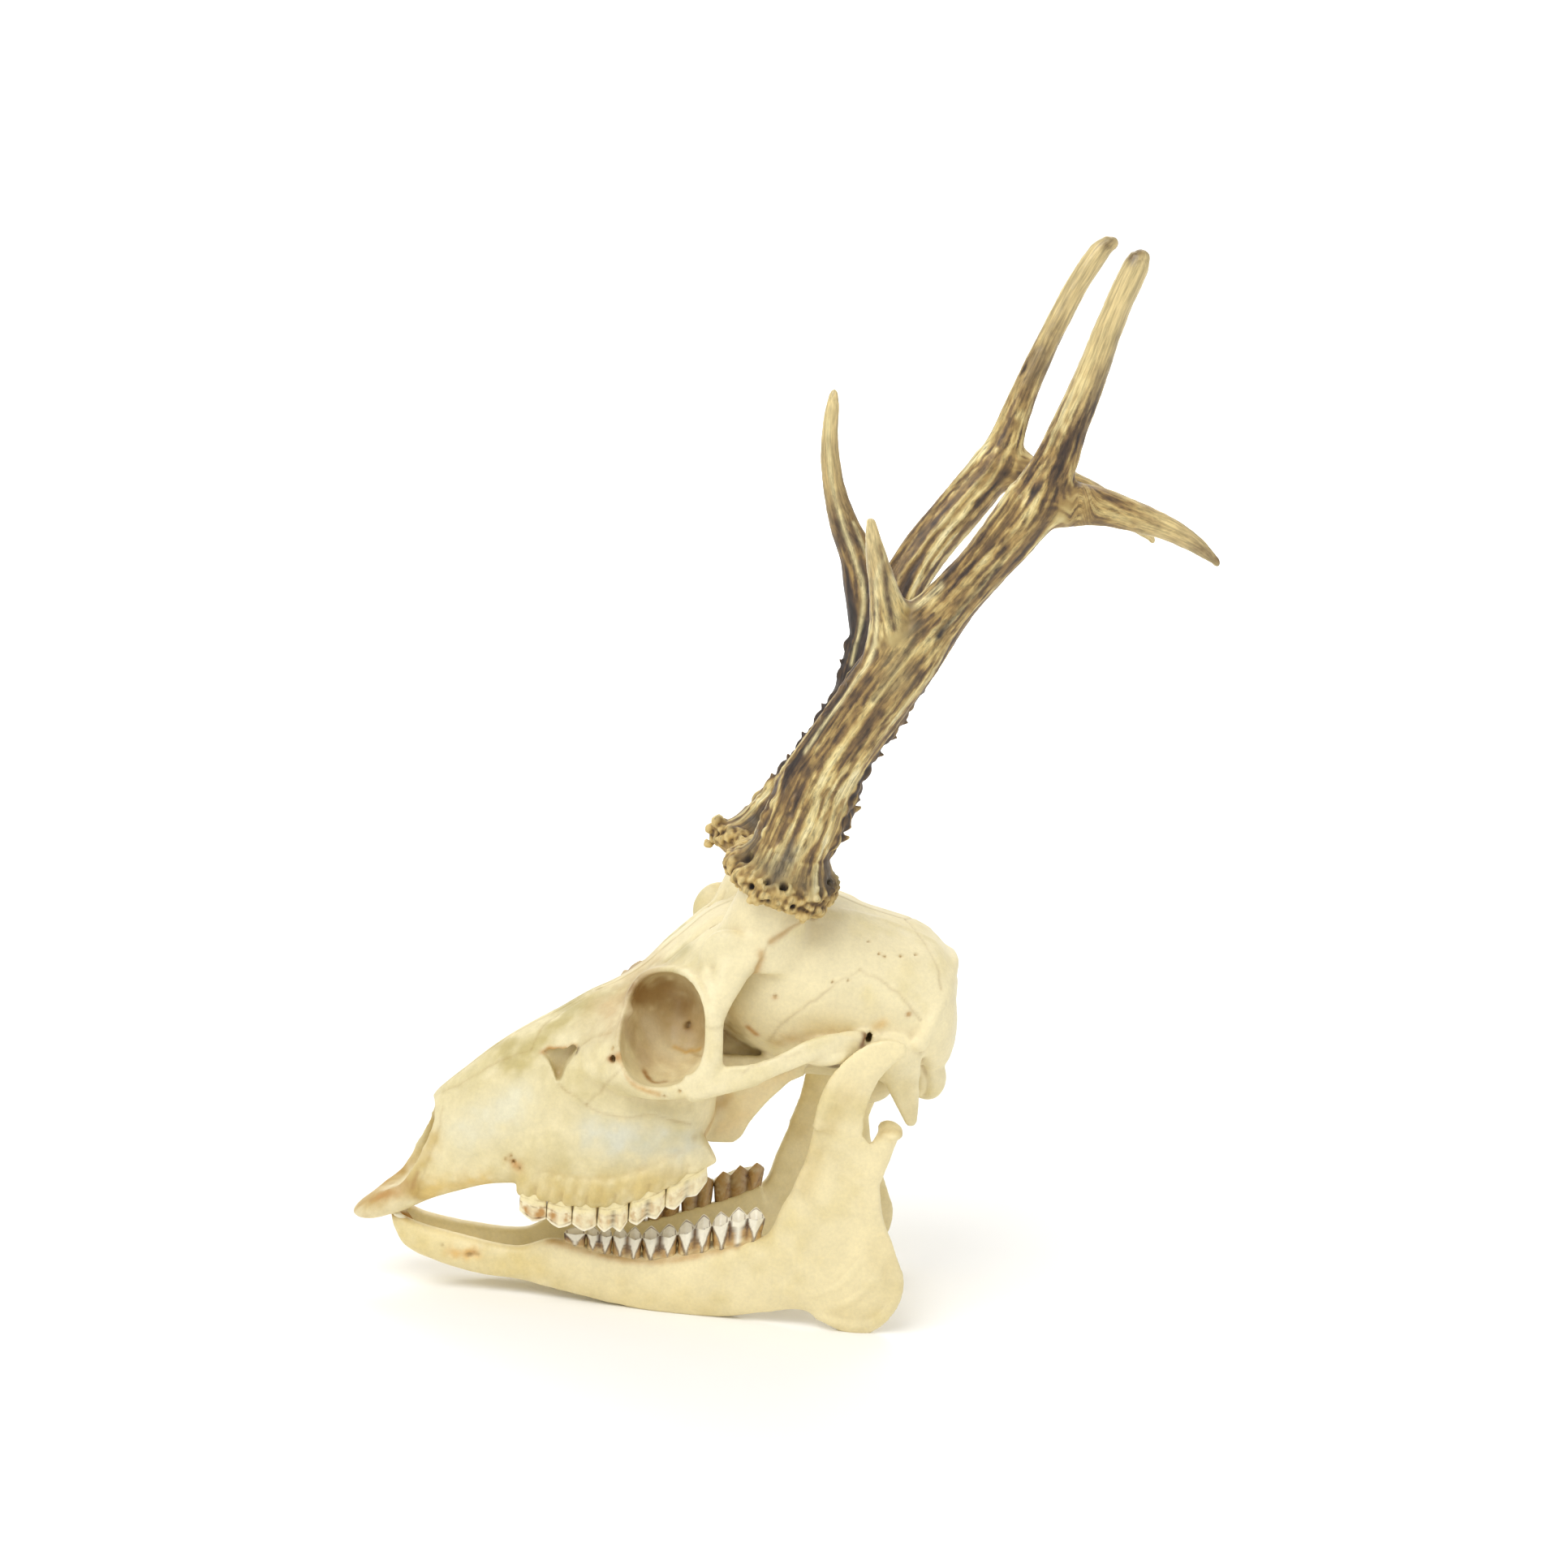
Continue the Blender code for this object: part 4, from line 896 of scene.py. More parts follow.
CRESTS = [
    # width, height, path
    (2.6, 0.8, [(-12.5, -31, 123), (-8.1, -32.6, 124.6), (-3.4, -32.7, 131.4), (5.7, -28.5, 137),
        (13, -18, 138.4), (26, -12, 135.6)]),
    (1.2, 0.35, [(19.9, -12.3, 136.4), (32.6, -7.4, 133.5), (43.3, -8.3, 130.1), (51.6, -8.5, 126.4)]),
    (2.4, 0.9, [(22, -35.6, 100.6), (31, -33, 100.4), (41, -31.6, 98.6), (48, -30.6, 96.4)]),
    (2.4, 0.8, [(-48.8, -30.4, 77.4), (-39.9, -38.8, 78.5), (-22, -45.5, 81.9), (-6.7, -46.3, 86.8)]),
    (1.2, 0.5, [(-14.7, -45.5, 91.4), (-2, -45.4, 95.4), (8.3, -43.3, 99.3), (14.8, -42.4, 101.5),
        (18.8, -41.1, 102.1), (24.2, -39.2, 100.9)]),
    (3, -0.5, [(-60, -29, 86.6), (-57, -30.6, 87.4)]),
    (6, -0.8, [(-82, -20, 60), (-72, -24, 62.5), (-62, -27, 64.5)]),
    (3.2, -0.5, [(-92, -14.2, 58), (-84, -17.6, 62)]),
    (3.4, -0.5, [(-42, -31, 74.4), (-34, -31.6, 75.4), (-27, -31.8, 75)]),
    (2.2, 0.7, [(55.5, -2, 112), (57, -2, 104), (57.6, -2, 98)]),
    (4, -0.8, [(57, -11, 107)]),
    (2.2, -1.1, [(-30, -12, 128.6), (-24.5, -12.6, 133.4), (-20.5, -13, 136.2)]),
    (1.2, -0.5, [(-38, -12.8, 119.4), (-30, -12, 128.6)]),
    (4, 0.8, [(16, -20, 79.5), (24, -18, 78.5)]),
    (1.2, -0.8, [(49.6, -20.6, 86), (52, -19.8, 80), (51, -19, 74)]),
    (2.2, -1.2, [(47.6, -24.2, 92), (49.6, -22.6, 84.5)]),
    (0.8, 0.4, [(-50.5, -32.3, 93), (-49.8, -33.9, 89.4), (-48.1, -36.4, 86.1)]),
]


def root_bulges():
    """The swellings over the two outer roots of each upper cheek tooth."""
    strokes = []
    for start, end, _ in TEETH["upper"]:
        for share in (0.24, 0.76):
            x, y, gum, _, width = eased(ROWS["upper"], start + (end - start) * share)
            out = y - width / 2 - 0.2
            path = [(x, out, gum + 0.5), (x + 0.5, out - 0.4, gum + 4.5), (x + 1.2, out - 0.2, gum + 8.5)]
            strokes.append((1.4, 0.8, path))
        x, y, gum, _, width = eased(ROWS["upper"], (start + end) / 2)
        strokes.append((0.8, -0.35, [(x, y - width / 2 - 0.2, gum + 0.5), (x + 0.4, y - width / 2 - 0.6, gum + 4)]))
    return strokes


PITS = [
    # small vessel holes
    (29.1, -20.7, 128.6), (32.5, -23.2, 125.3), (34.4, -23.3, 124.6), (39.9, -21.8, 124.5), (44.8, -19.8, 124.7),
    (17.3, -30.2, 117.1), (22.5, -29.8, 117.7), (-0.7, -28.9, 111), (42.9, -29.9, 107.2), (57.2, -9, 103),
    (56.4, -15, 104.5), (-35, -41.6, 80.2), (-30.5, -43.6, 82.4), (-85.2, -19.7, 49.6), (-83.2, -20.1, 50.9),
    (-81.5, -18.6, 48.3), (-80.3, -21.2, 46.9), (-52.8, -31.4, 92.6),
]


strokes = [(0.6, -0.26, path) for path in SEAMS.values()]
strokes += [(1.5, 0.10, path) for path in SEAMS.values()]
strokes += [(w, h, wandering(p, 0.15, 3, 5) if len(p) > 2 else p) for w, h, p in CRESTS]
strokes += root_bulges() + [(0.5, -0.8, [p]) for p in PITS]
sculpted(cranium, strokes)


def uneven(made, rows, seed=0):
    """Moves a skin in and out by noise. Each row is its size and its height."""
    points, normals = skin_of(made)
    height = sum(high * lattice_noise(points, size, seed + i) for i, (size, high) in enumerate(rows))
    put_back(made, points + normals * height[:, None])


uneven(cranium, [(14, 0.20), (5, 0.06), (2, 0.03)])
print("strokes on each side of the cranium:", len(strokes))

# %% [markdown]
# ## Stains and depth of the cranium
#
# Fat left in the forehead and the snout turned olive, the thin bones at the tip of the snout are tan, and earth
# stayed in the seams and hollows. Inside each eye socket, tan and brown strokes are painted shade that deepens into
# the bowl. The stains are strokes of colour, because a painted image would need a mesh laid out flat. The depth of
# each point below a smoothed copy of the skin is kept too, so that the bone's material can darken hollows with
# painted shade and dust.

# %% Paint the cranium
CRANIUM_STAINS_AND_SHADE = [
    # colour, strength, width, path
    ("D6C897", 0.9, 16, [(-98, -13, 62), (-78, -20, 70), (-60, -25, 76), (-44, -30, 72), (-36, -31, 62),
        (-60, -27, 50), (-84, -19, 50)]),
    ("DDD1A6", 0.85, 12, [(-62, -14, 96), (-48, -22, 104), (-36, -26, 114), (-24, -28, 124)]),
    ("DFD8B8", 0.9, 7, [(-99, -13.5, 57), (-91.6, -16, 61.5), (-81.4, -18.4, 69)]),
    ("D0B978", 0.85, 7.5, [(-78.6, -21.4, 41), (-69.3, -25.4, 40), (-60, -28.3, 40), (-50.4, -31.4, 42),
        (-40.5, -32.6, 45), (-30.8, -32.9, 51)]),
    ("D6D3BC", 0.85, 7, [(-54.6, -28.8, 61.5), (-46.7, -30.1, 60.9), (-38.8, -30.8, 60.7), (-29.4, -29.3, 59.5)]),
    ("D3C592", 0.85, 5.5, [(-104, -5, 70), (-96, -7, 75.5), (-88, -8, 81), (-80, -8, 87)]),
    ("BFAF74", 0.95, 4.6, [(-87.4, -4.6, 83.2), (-84.6, -11.6, 79.8), (-79.4, -11.9, 84.3), (-74.4, -10.3, 89.6),
        (-66.7, -7.5, 96)]),
    ("BDB078", 0.95, 5.2, [(-66.7, -4.3, 96.8), (-58, -6, 101.6), (-51, -8.2, 105), (-43.5, -10.7, 110.8)]),
    ("C4B988", 0.85, 4.4, [(-43, -13, 111.5), (-37, -14, 117.5), (-32, -15, 122.5)]),
    ("BA9A56", 0.95, 4.8, [(-113, -11, 34), (-118, -8.7, 34.5), (-124, -5, 29.5), (-130, -3, 26)]),
    ("CBB06C", 0.8, 3.2, [(-109.5, -11.5, 53), (-112, -11.8, 45), (-115, -11, 39)]),
    ("B58A4A", 0.7, 1.8, [(-117.5, -10.5, 36.5), (-122.5, -7.6, 32.5), (-128, -4, 28.5)]),
    ("BC8E50", 0.65, 1.6, [(-119, -9.4, 33.4), (-124.6, -6, 29.6)]),
    ("A67B44", 0.6, 0.9, [(-113.5, -11.5, 41), (-114.4, -11.4, 38.6), (-115.2, -11.4, 35.8)]),
    ("DCC07A", 0.9, 4.2, [(-108, -13, 34), (-100, -15.5, 36.5), (-92, -17, 39.5)]),
    ("B48B4C", 0.8, 1.3, [(13.1, -14.6, 137.2), (5.7, -28.5, 136.4), (0.4, -31.9, 133.6), (-3.4, -32.7, 130.4)]),
    ("BE924E", 0.7, 1.6, [(-6.5, -33, 127), (-9, -31, 119), (-12.5, -26.5, 116)]),
    ("B9803C", 0.8, 1.2, [(-7.1, -24, 94.1), (-9.7, -24, 96.4)]),
    ("B9803C", 0.8, 1.1, [(-0.7, -29, 111)]),
    ("B07A38", 0.85, 1, [(42.9, -29.9, 107.2)]),
    ("C7B07A", 0.8, 5, [(-17, -28, 93), (-16, -28, 101), (-15, -27, 108)]),
    ("7A4E22", 0.9, 1.7, [(29.5, -35.2, 100.3), (27.7, -36.7, 98.2)]),
    ("7C522A", 0.85, 2.4, [(27, -34, 95), (31, -31, 93)]),
    ("B07A3A", 0.8, 1.3, [(-52.8, -31.4, 88.8), (-50.6, -34, 90)]),
    ("C09450", 0.6, 0.9, [(-49.6, -36, 92), (-48.6, -37.6, 86.6), (-44, -40.4, 82.2), (-37, -41.5, 80.4)]),
    ("B98A48", 0.8, 0.8, [(-74.7, -14.8, 85.1), (-70.3, -17.2, 86.4), (-64.3, -19.4, 89)]),
    ("5E3B1C", 0.9, 0.8, [(-63.4, -20.2, 88.2), (-64.2, -20.4, 87.4)]),
    ("BE8C4C", 0.7, 1.8, [(-83.1, -19.1, 48.9), (-81, -20, 47.6)]),
    # inside the eye socket: tan and brown painted shade, deepest in the bowl, round the hole at its back and in its
    # floor's notch, with paler and ochre strokes on its floor
    ("C9B182", 0.9, 15, [(-42, -20, 104), (-36, -10, 98), (-28, -9, 96), (-33, -14, 90)]),
    ("8F6B36", 0.9, 5, [(-46.4, -21, 109.5), (-40.5, -10.4, 104.5), (-36, -8, 107)]),
    ("A58048", 0.8, 4.5, [(-38, -8, 103), (-32.5, -6, 103.4), (-29, -6.1, 100)]),
    ("C2AC84", 0.85, 4, [(-48.1, -23.5, 101.4), (-46, -21.5, 92.7), (-42.6, -20.9, 87.2)]),
    ("D3C3A0", 0.85, 4.2, [(-40.2, -12.3, 95.8), (-37, -13, 91)]),
    ("DFD2AC", 0.85, 3.6, [(-34.5, -13.4, 88.1), (-29.5, -15.2, 86.8)]),
    ("9C7440", 0.85, 1.6, [(-27.5, -9.8, 94.6)]),
    ("CFA24C", 0.8, 0.9, [(-31.5, -13.6, 89), (-27.6, -15.4, 88.4), (-23.6, -17.6, 89.2)]),
    ("9A6E38", 0.85, 1.3, [(-41.5, -26, 82.8), (-38.3, -30.8, 81), (-35, -29, 81)]),
    ("7C5226", 0.9, 1.1, [(-52.6, -30.5, 88.5)]),
    ("DCB468", 0.5, 1.8, [(32.4, -31.6, 103), (34.6, -30.7, 103.8)]),
    ("5A3A1C", 0.9, 2.3, [(20.8, -19, 85.5), (23.5, -19.5, 86.5)]),
    ("AE9A68", 0.8, 5, [(-12.3, -14.7, 94.9), (-7.6, -8, 87.6), (-3.4, -8.7, 85.2)]),
    ("CDB27A", 0.7, 3, [(1, -24, 93), (5.6, -29, 96), (12, -30.6, 97.4), (20, -31, 99)]),
    ("E8CF98", 0.6, 5, [(-12, -13.5, 62), (-4, -13.5, 72), (4, -13.3, 80)]),
    ("C9A668", 0.6, 2.4, [(-20, -20, 60), (-17, -17, 66), (-13, -14, 72)]),
    ("D9CDA0", 0.5, 6, [(20, -14, 79), (40, -14, 78)]),
    ("CDBB86", 0.5, 3, [(46, -29.6, 72), (45, -30, 82)]),
] + [("B99556", 0.6, 0.6, [p]) for p in PITS]


def painted(made, base, stains_and_shade, seams=()):
    """Paints a skin. Each stroke of stain and of painted shade is a colour, how strong it is, its width, and its
    path.
    Its edge is ragged, and it is only on the side that its path is on."""
    points, _ = skin_of(made)
    onto = laid_on(made)
    colours = plain(points, base)
    rag = 0.75 * (lattice_noise(points, 5, 3) + 0.7 * lattice_noise(points, 2, 4))
    for hex_colour, strength, width, path in stains_and_shade:
        spot = falloff(points, onto(path), width)
        colours = mixed(colours, (hex_colour, strength * (spot + rag * spot * (1.5 - spot))))
    cloud = lattice_noise(points, 13, 11) + 0.6 * lattice_noise(points, 6, 12) + 0.35 * lattice_noise(points, 2.4, 13)
    yellow = (unit(cloud - 0.05) * 0.55)[:, None]
    colours = colours * (1 - yellow * (1 - np.array((0.86, 0.82, 0.62))))
    colours = colours * (1 + 0.05 * unit(-cloud))[:, None]
    faint = 0.6 + 0.5 * lattice_noise(points, 6, 9)
    for path in seams:
        for side in (1, -1):
            line = unit(0.30 * falloff(points, onto(flipped(path, side)), 0.6) * faint)[:, None]
            colours += (np.array(linear("94702F")) - colours) * line
    # depths below the skin, which the bone materials darken as painted shade and dust
    hollow, deep = depth_below(made, 7) * 1.35, depth_below(made, 60) * 0.6
    keep_paint(made, colours, np.clip(hollow, -1, 1), np.clip(deep, -1, 1))


both_sides = CRANIUM_STAINS_AND_SHADE + [(c, s, w, flipped(path, -1)) for c, s, w, path in CRANIUM_STAINS_AND_SHADE]
painted(cranium, "EADDB2", both_sides, SEAMS.values())
print("stains on each side of the cranium:", len(CRANIUM_STAINS_AND_SHADE))

# %% [markdown]
# ## Parting the cranium into its bones
#
# The skin is parted where the construction is: nasals, premaxillae, cheek arches, face and braincase. A block takes
# each bone out of the whole by an intersection, and the same block is cut from the rest, so no false gap shows.

# %% Part the cranium
def nasal_block():
    stations = [(-118, 62, 7.4), (-108, 64, 7.8), (-98, 69, 9.2), (-84, 79.5, 10.6), (-70, 89, 11.6), (-59, 95, 9)]
    rings = [[(x, half, z), (x, half, z + 40), (x, -half, z + 40), (x, -half, z)] for x, z, half in stations]
    return skinned(rings)


def taken_out(name, whole, block):
    """The part of a skin inside a block, which the whole loses."""
    piece = twin(whole, name)
    cut(piece, laid_up("block", [block.copy()]), "INTERSECT", "MANIFOLD")
    cut(whole, laid_up("block", [block]), "DIFFERENCE", "MANIFOLD")
    return piece


def finish_of(whole):
    """The painted values of a skin, with a search tree of its points."""
    tree = KDTree(len(whole.data.vertices))
    for i, vertex in enumerate(whole.data.vertices):
        tree.insert(vertex.co, i)
    tree.balance()
    kept = {}
    for attribute in whole.data.attributes:
        if attribute.name in ("stain", "hollow", "deep", "grain", "between"):
            key, width = ATTRIBUTE_KINDS[attribute.data_type]
            kept[attribute.name] = key, read(attribute.data, key, width)
    return tree, kept


def refinished(piece, finish):
    """Gives each point of a piece the painted values of the whole's nearest point."""
    tree, kept = finish
    nearest = [tree.find(vertex.co)[1] for vertex in piece.data.vertices]
    for name, (key, values) in kept.items():
        piece.data.attributes[name].data.foreach_set(key, values[nearest].ravel())


def side_block(side):
    return slab((0, side * 100, 100), (400, 200, 400))


pieces = {}
whole_finish = finish_of(cranium)
nasals = taken_out("nasals", cranium, nasal_block())
pieces["nasal_left"] = taken_out("nasal_left", nasals, side_block(LEFT))
pieces["nasal_right"] = nasals
tip = taken_out("tip", cranium, slab((-156.4, 0, 50), (100, 60, 90), (0, 4, 0)))
pieces["premaxilla_left"] = taken_out("premaxilla_left", tip, side_block(LEFT))
pieces["premaxilla_right"] = tip
for side, side_name in SIDE_NAMES.items():
    name = f"zygomatic_arch_{side_name}"
    pieces[name] = taken_out(name, cranium, slab((-6.6, 48 * side, 94), (19.2, 20, 24), (0, -6, 0)))
pieces["braincase"] = taken_out("braincase", cranium, slab((83.8, 0, 100), (200, 160, 200), (0, -1.6, 0)))
pieces["face"] = cranium
for name, piece in pieces.items():
    refinished(piece, whole_finish)
    print(name, "points:", len(piece.data.vertices))

# %% [markdown]
# ## The lower jaw
#
# Each half of the jaw bends outwards: a slim body with the teeth, and an upright branch with a knuckle and a thin
# hooked blade. A tube can't follow so broad a bend, so ribs from the lower border to the upper one give its
# outline. The right half has slipped back a little on the left one, as it has in the photograph.

# %% Shape the jaw halves
JAW_RIBS = [
    # lower x, z, upper x, z, y, half thickness
    (-120.6, 19.6, -122, 24.6, -4.2, 2.4),
    (-117.4, 14.2, -119, 24.4, -5, 3.4),
    (-108.4, 9.8, -112, 21.6, -5.8, 3.9),
    (-92, 5.7, -95, 18, -7.2, 3.5),
    (-78.6, 5, -79.6, 16.4, -9.6, 3.4),
    (-66, 3.2, -68, 20.6, -12.8, 3.8),
    (-48.7, 0.5, -51, 17.9, -16.4, 4.5),
    (-32.6, -0.8, -33, 18.2, -19.9, 4.8),
    (-12, -0.2, -16, 22.8, -24.1, 4.7),
    (2.5, 3.2, 0.6, 29.2, -28, 4.2),
    (14.5, 5.4, 5.2, 40, -31, 3.6),
    (24.5, 0.6, 9.4, 50, -33.6, 3),
    (34, -1.4, 12, 58, -34.6, 2.6),
    (43.2, 5.6, 13.2, 64, -35.2, 2.4),
    (46.6, 17, 13.6, 67, -35.6, 2.3),
    (43, 29.4, 13.9, 70, -36.2, 2.3),
    (38.4, 40, 14.2, 72, -36.8, 2.3),
    (36.4, 52, 14.5, 74, -37.4, 2.3),
    (36, 60, 15, 76, -38, 2),
    (31, 68, 16, 79, -38.8, 1.8),
]
BLADE = [
    (22, -38.4, 70, 1.9, 8.6),
    (22.6, -39.8, 79, 1.7, 8),
    (25.6, -41, 87.4, 1.6, 7.2),
    (30.4, -42, 94.2, 1.5, 6),
    (36.4, -42.6, 98.2, 1.4, 4.4),
    (41.6, -42.8, 98.8, 1.1, 2),
]


def rib_loft(ribs, count=150, sides=44, power=2.6):
    """A form over ribs from one border to the other."""
    stations = [((x0 + x1) / 2, y, (z0 + z1) / 2, x0, z0, x1, z1, half) for x0, z0, x1, z1, y, half in ribs]
    rings = []
    for _, y, _, x0, z0, x1, z1, half in spaced(stations, count):
        ring = []
        for k in range(sides):
            c, s = superellipse(2 * math.pi * k / sides, power)
            t = (1 + c) / 2
            ring.append((x0 + (x1 - x0) * t, y + half * s, z0 + (z1 - z0) * t))
        rings.append(ring)
    return skinned(rings)


def jaw_forms():
    """The left half of the jaw without its teeth."""
    ridge = [(x, y, gum - 3, width / 2 + 0.5, 3.4) for x, y, gum, _, width in ROWS["lower"]]
    tongue_side = [(x, y + width / 2 - 0.5, gum - 1, 1.3, 2.6) for x, y, gum, _, width in ROWS["lower"][2:]]
    return [
        rib_loft(JAW_RIBS),
        tube(BLADE, power=2.6),
        tube([(32, -37.4, 54, 2.2, 5.2), (35.4, -37, 62, 2.6, 4.4), (38.4, -36, 68.4, 4.6, 3.4)]),
        ball((39, -35, 69.4), (3.9, 7, 2), (6, -8, 12)),
        tube(ridge, power=2.6, count=50),
        tube(tongue_side, count=50),
    ]


JAW_STROKES = [
    # width, height, path
    (6, -0.9, [(22, -37, 52), (26, -37, 62), (28, -38.5, 72)]),
    (7, -0.8, [(22, -35.5, 20), (28, -36.5, 30), (26, -36.6, 42)]),
    (1.6, 0.8, [(20, -32.8, 5), (30, -36.4, 2.4), (38, -37, 4), (44.4, -37.4, 12), (45.6, -37.6, 20)]),
    (1.2, 0.5, [(24, -36, 8.5), (31, -37, 12.5), (37, -37.6, 19.5), (39.4, -38, 28)]),
    (1, 0.4, [(18, -34.8, 12), (26, -36.6, 17), (32, -37.4, 25)]),
    (2, 0.7, [(9.6, -35.2, 50), (13.2, -38.8, 62), (15.6, -40.4, 74), (19.4, -41.6, 86)]),
    (1.2, 0.4, [(36, -39.4, 50), (37, -38.6, 42), (41, -38, 32)]),
    (1.1, -1.3, [(-95.8, -11.4, 12.8)]),
    (0.9, -0.7, [(-94.6, -11.2, 12.9), (-92.6, -11.6, 13.2)]),
    (0.7, -0.8, [(-104.5, -10.2, 15.8)]),
    (2, 0.35, [(-108, -9.2, 17.5), (-96, -10.6, 15.6), (-80, -13, 15), (-68, -16.6, 17)]),
    (4, -0.45, [(-60, -19.5, 10), (-44, -22, 8.5), (-30, -25.2, 9)]),
    (1.2, -0.6, [(30.5, -33.6, 47), (24, -32.2, 42)]),
    (1.8, -0.9, [(28, -34.4, 46)]),
]


def lower_root_bulges():
    strokes = []
    for start, end, _ in TEETH["lower"]:
        for share in (0.27, 0.73):
            x, y, gum, _, width = eased(ROWS["lower"], start + (end - start) * share)
            out = y - width / 2 - 0.5
            path = [(x, out, gum - 0.5), (x + 0.3, out - 0.5, gum - 3), (x + 0.6, out - 0.7, gum - 6)]
            strokes.append((1.5, 0.4, path))
    return strokes


JAW_STAINS = [
    ("E0CC8E", 0.7, 6, [(-116, -8, 16), (-104, -9, 13), (-90, -10, 11), (-74, -13, 10)]),
    ("DCC98F", 0.5, 6, [(-64, -18, 6), (-44, -22, 4), (-20, -27, 4)]),
    ("D9C793", 0.5, 6, [(30, -36, 6), (42, -37, 14), (40, -38, 30)]),
    ("DDAA58", 0.8, 2.2, [(-101, -10.6, 13.4), (-96.4, -11.2, 12.8), (-93.8, -11.4, 13)]),
    ("AC7230", 0.8, 1.1, [(-94.4, -11.4, 13)]),
    ("BC9250", 0.6, 1.3, [(-70, -14, 20.5), (-58, -17.6, 18.4), (-46, -19.8, 16.6), (-34, -22.4, 17),
        (-22, -25.2, 20.5), (-8, -28, 26)]),
    ("C9A35C", 0.6, 2, [(-121, -5, 24), (-117, -6, 24.6)]),
    ("C4A666", 0.5, 2, [(34, -40, 71), (43, -40, 71)]),
    ("CDB67A", 0.45, 4, [(12, -34, 47), (16, -38, 66), (24, -42, 84)]),
]


def jaw_half(side):
    """Half of the jaw, sculpted and painted, with its underside cut flat at the floor."""
    slip = 0 if side == LEFT else RIGHT_JAW_SLIP
    jaw = laid_up(f"mandible_{SIDE_NAMES[side]}", on_side(jaw_forms(), side, (slip, 0, 0)))
    melted(jaw, grain=0.8, rounds=3)

    def moved(path):
        return [(x + slip, y * -side, z) for x, y, z in path]

    sculpted(jaw, [(w, h, moved(path)) for w, h, path in JAW_STROKES + lower_root_bulges()], sides=(1,))
    uneven(jaw, [(11, 0.18), (4.5, 0.09), (2, 0.05)], seed=20 + side)
    cut(jaw, laid_up("floor block", [slab((0, 0, -10), (400, 200, 20))]))
    painted(jaw, "EADBAC", [(c, s, w, moved(path)) for c, s, w, path in JAW_STAINS])
    return jaw


for side, side_name in SIDE_NAMES.items():
    pieces[f"mandible_{side_name}"] = jaw_half(side)
print("points of a jaw half:", len(pieces["mandible_left"].data.vertices))

# %% [markdown]
# ## Shape of the cheek teeth
#
# A roe deer's cheek tooth is a row of moon-shaped lobes. Seen from the cheek, an upper tooth is a wall with upright
# ribs and a pointed edge, and a lower one is a row of wedges that narrow down to the gum. Rings of points are stacked
# from the root to the rim, and go on inwards over the chewing face, whose height is a function of the place on it.

# %% Cheek teeth
def lobe_of(place, lobes):
    """0 in the middle of a lobe and 1 at its edges, for a place along a tooth from -0.5 to 0.5."""
    within = (place + 0.5) * lobes
    return abs(within - math.floor(min(max(within, 0), lobes - 1e-6)) - 0.5) * 2


def chewing_height(edge, cheek, kind):
    """Height of the worn face as a share of the crown, at a place between the cheek, -1, and the tongue, 1."""
    if kind == "upper":
        outer = 1.0 - 0.24 * edge**1.3
        inner = 0.78 - 0.10 * edge
        dip = 0.16 * math.exp(-(((cheek + 0.05) / 0.28) ** 2))
        return outer + (inner - outer) * (cheek + 1) / 2 - dip
    groove = -0.30 + 0.42 * edge
    if cheek < groove:
        return 0.56 + (0.16 + 0.05 * edge) * ((groove - cheek) / (groove + 1)) ** 0.7
    tip = 1.0 - 0.26 * edge**1.2
    return 0.56 + (tip - 0.56) * min(1, (cheek - groove) / (0.88 - groove)) ** 0.85


WALL_LEVELS = [-0.7, -0.4, -0.2, -0.08] + [k / 36 for k in range(37)]
FACE_INSETS = [0.99, 0.975, 0.955, 0.93, 0.9, 0.865, 0.83] + [0.79 - 0.055 * k for k in range(14)] + [0.03]


def cheek_tooth(start, end, lobes, kind):
    """A cheek tooth of the left side, and each point's lobe edge, cheek side, and level. Levels over 1 are on the
    face."""
    down = -1 if kind == "upper" else 1
    sides = 44 * lobes + 40
    rings, places = [], []
    for level, inset in [(level, 1) for level in WALL_LEVELS] + [(1, inset) for inset in FACE_INSETS]:
        ring = []
        for k in range(sides):
            c, s = superellipse(2 * math.pi * k / sides, 4.2)
            edge = lobe_of(c / 2 * inset, lobes)
            up = max(level, 0)
            if kind == "upper":
                ribs = 0.06 * math.exp(-((edge / 0.2) ** 2)) + 0.11 * math.exp(-(((1 - edge) / 0.11) ** 2))
                out = 0.89 + ribs * min(1, up * 4) if s < 0 else 1 - 0.30 * edge**3
                taper = 0.74 + 0.26 * min(1, (level + 0.7) / 0.8) - 0.12 * max(0, level - 0.5)
                narrow = 0.95 + 0.05 * up + 0.12 * min(level, 0)
            else:
                out = 1 - 0.56 * edge**1.15 * (0.22 + 0.78 * up) if s < 0 else 1 - 0.24 * edge**2.2
                taper = 0.86 + 0.14 * min(1, (level + 0.7) / 0.9) - 0.10 * max(0, level - 0.4)
                narrow = 0.90 + 0.10 * up + 0.12 * min(level, 0)
            x = (start + end) / 2 + (end - start) / 2 * c * narrow * inset
            _, y, gum, tip, width = eased(ROWS[kind], x)
            high = abs(tip - gum)
            height = high * (level * chewing_height(edge, s * inset, kind) if level > 0 else level)
            ring.append((x, y + s * width / 2 * out * taper * inset, gum + down * height))
            places.append((edge, s * inset, level if inset == 1 else 2 - inset))
        rings.append(ring)
    return skinned(rings), places


print("rings in a cheek tooth:", len(WALL_LEVELS) + len(FACE_INSETS))

# %% [markdown]
# ## Colour of the cheek teeth
#
# The place of each point on its tooth gives its stain, so every line of tartar lies in its valley: enamel is white,
# dentine browner, and the valleys between the lower lobes are black-brown.

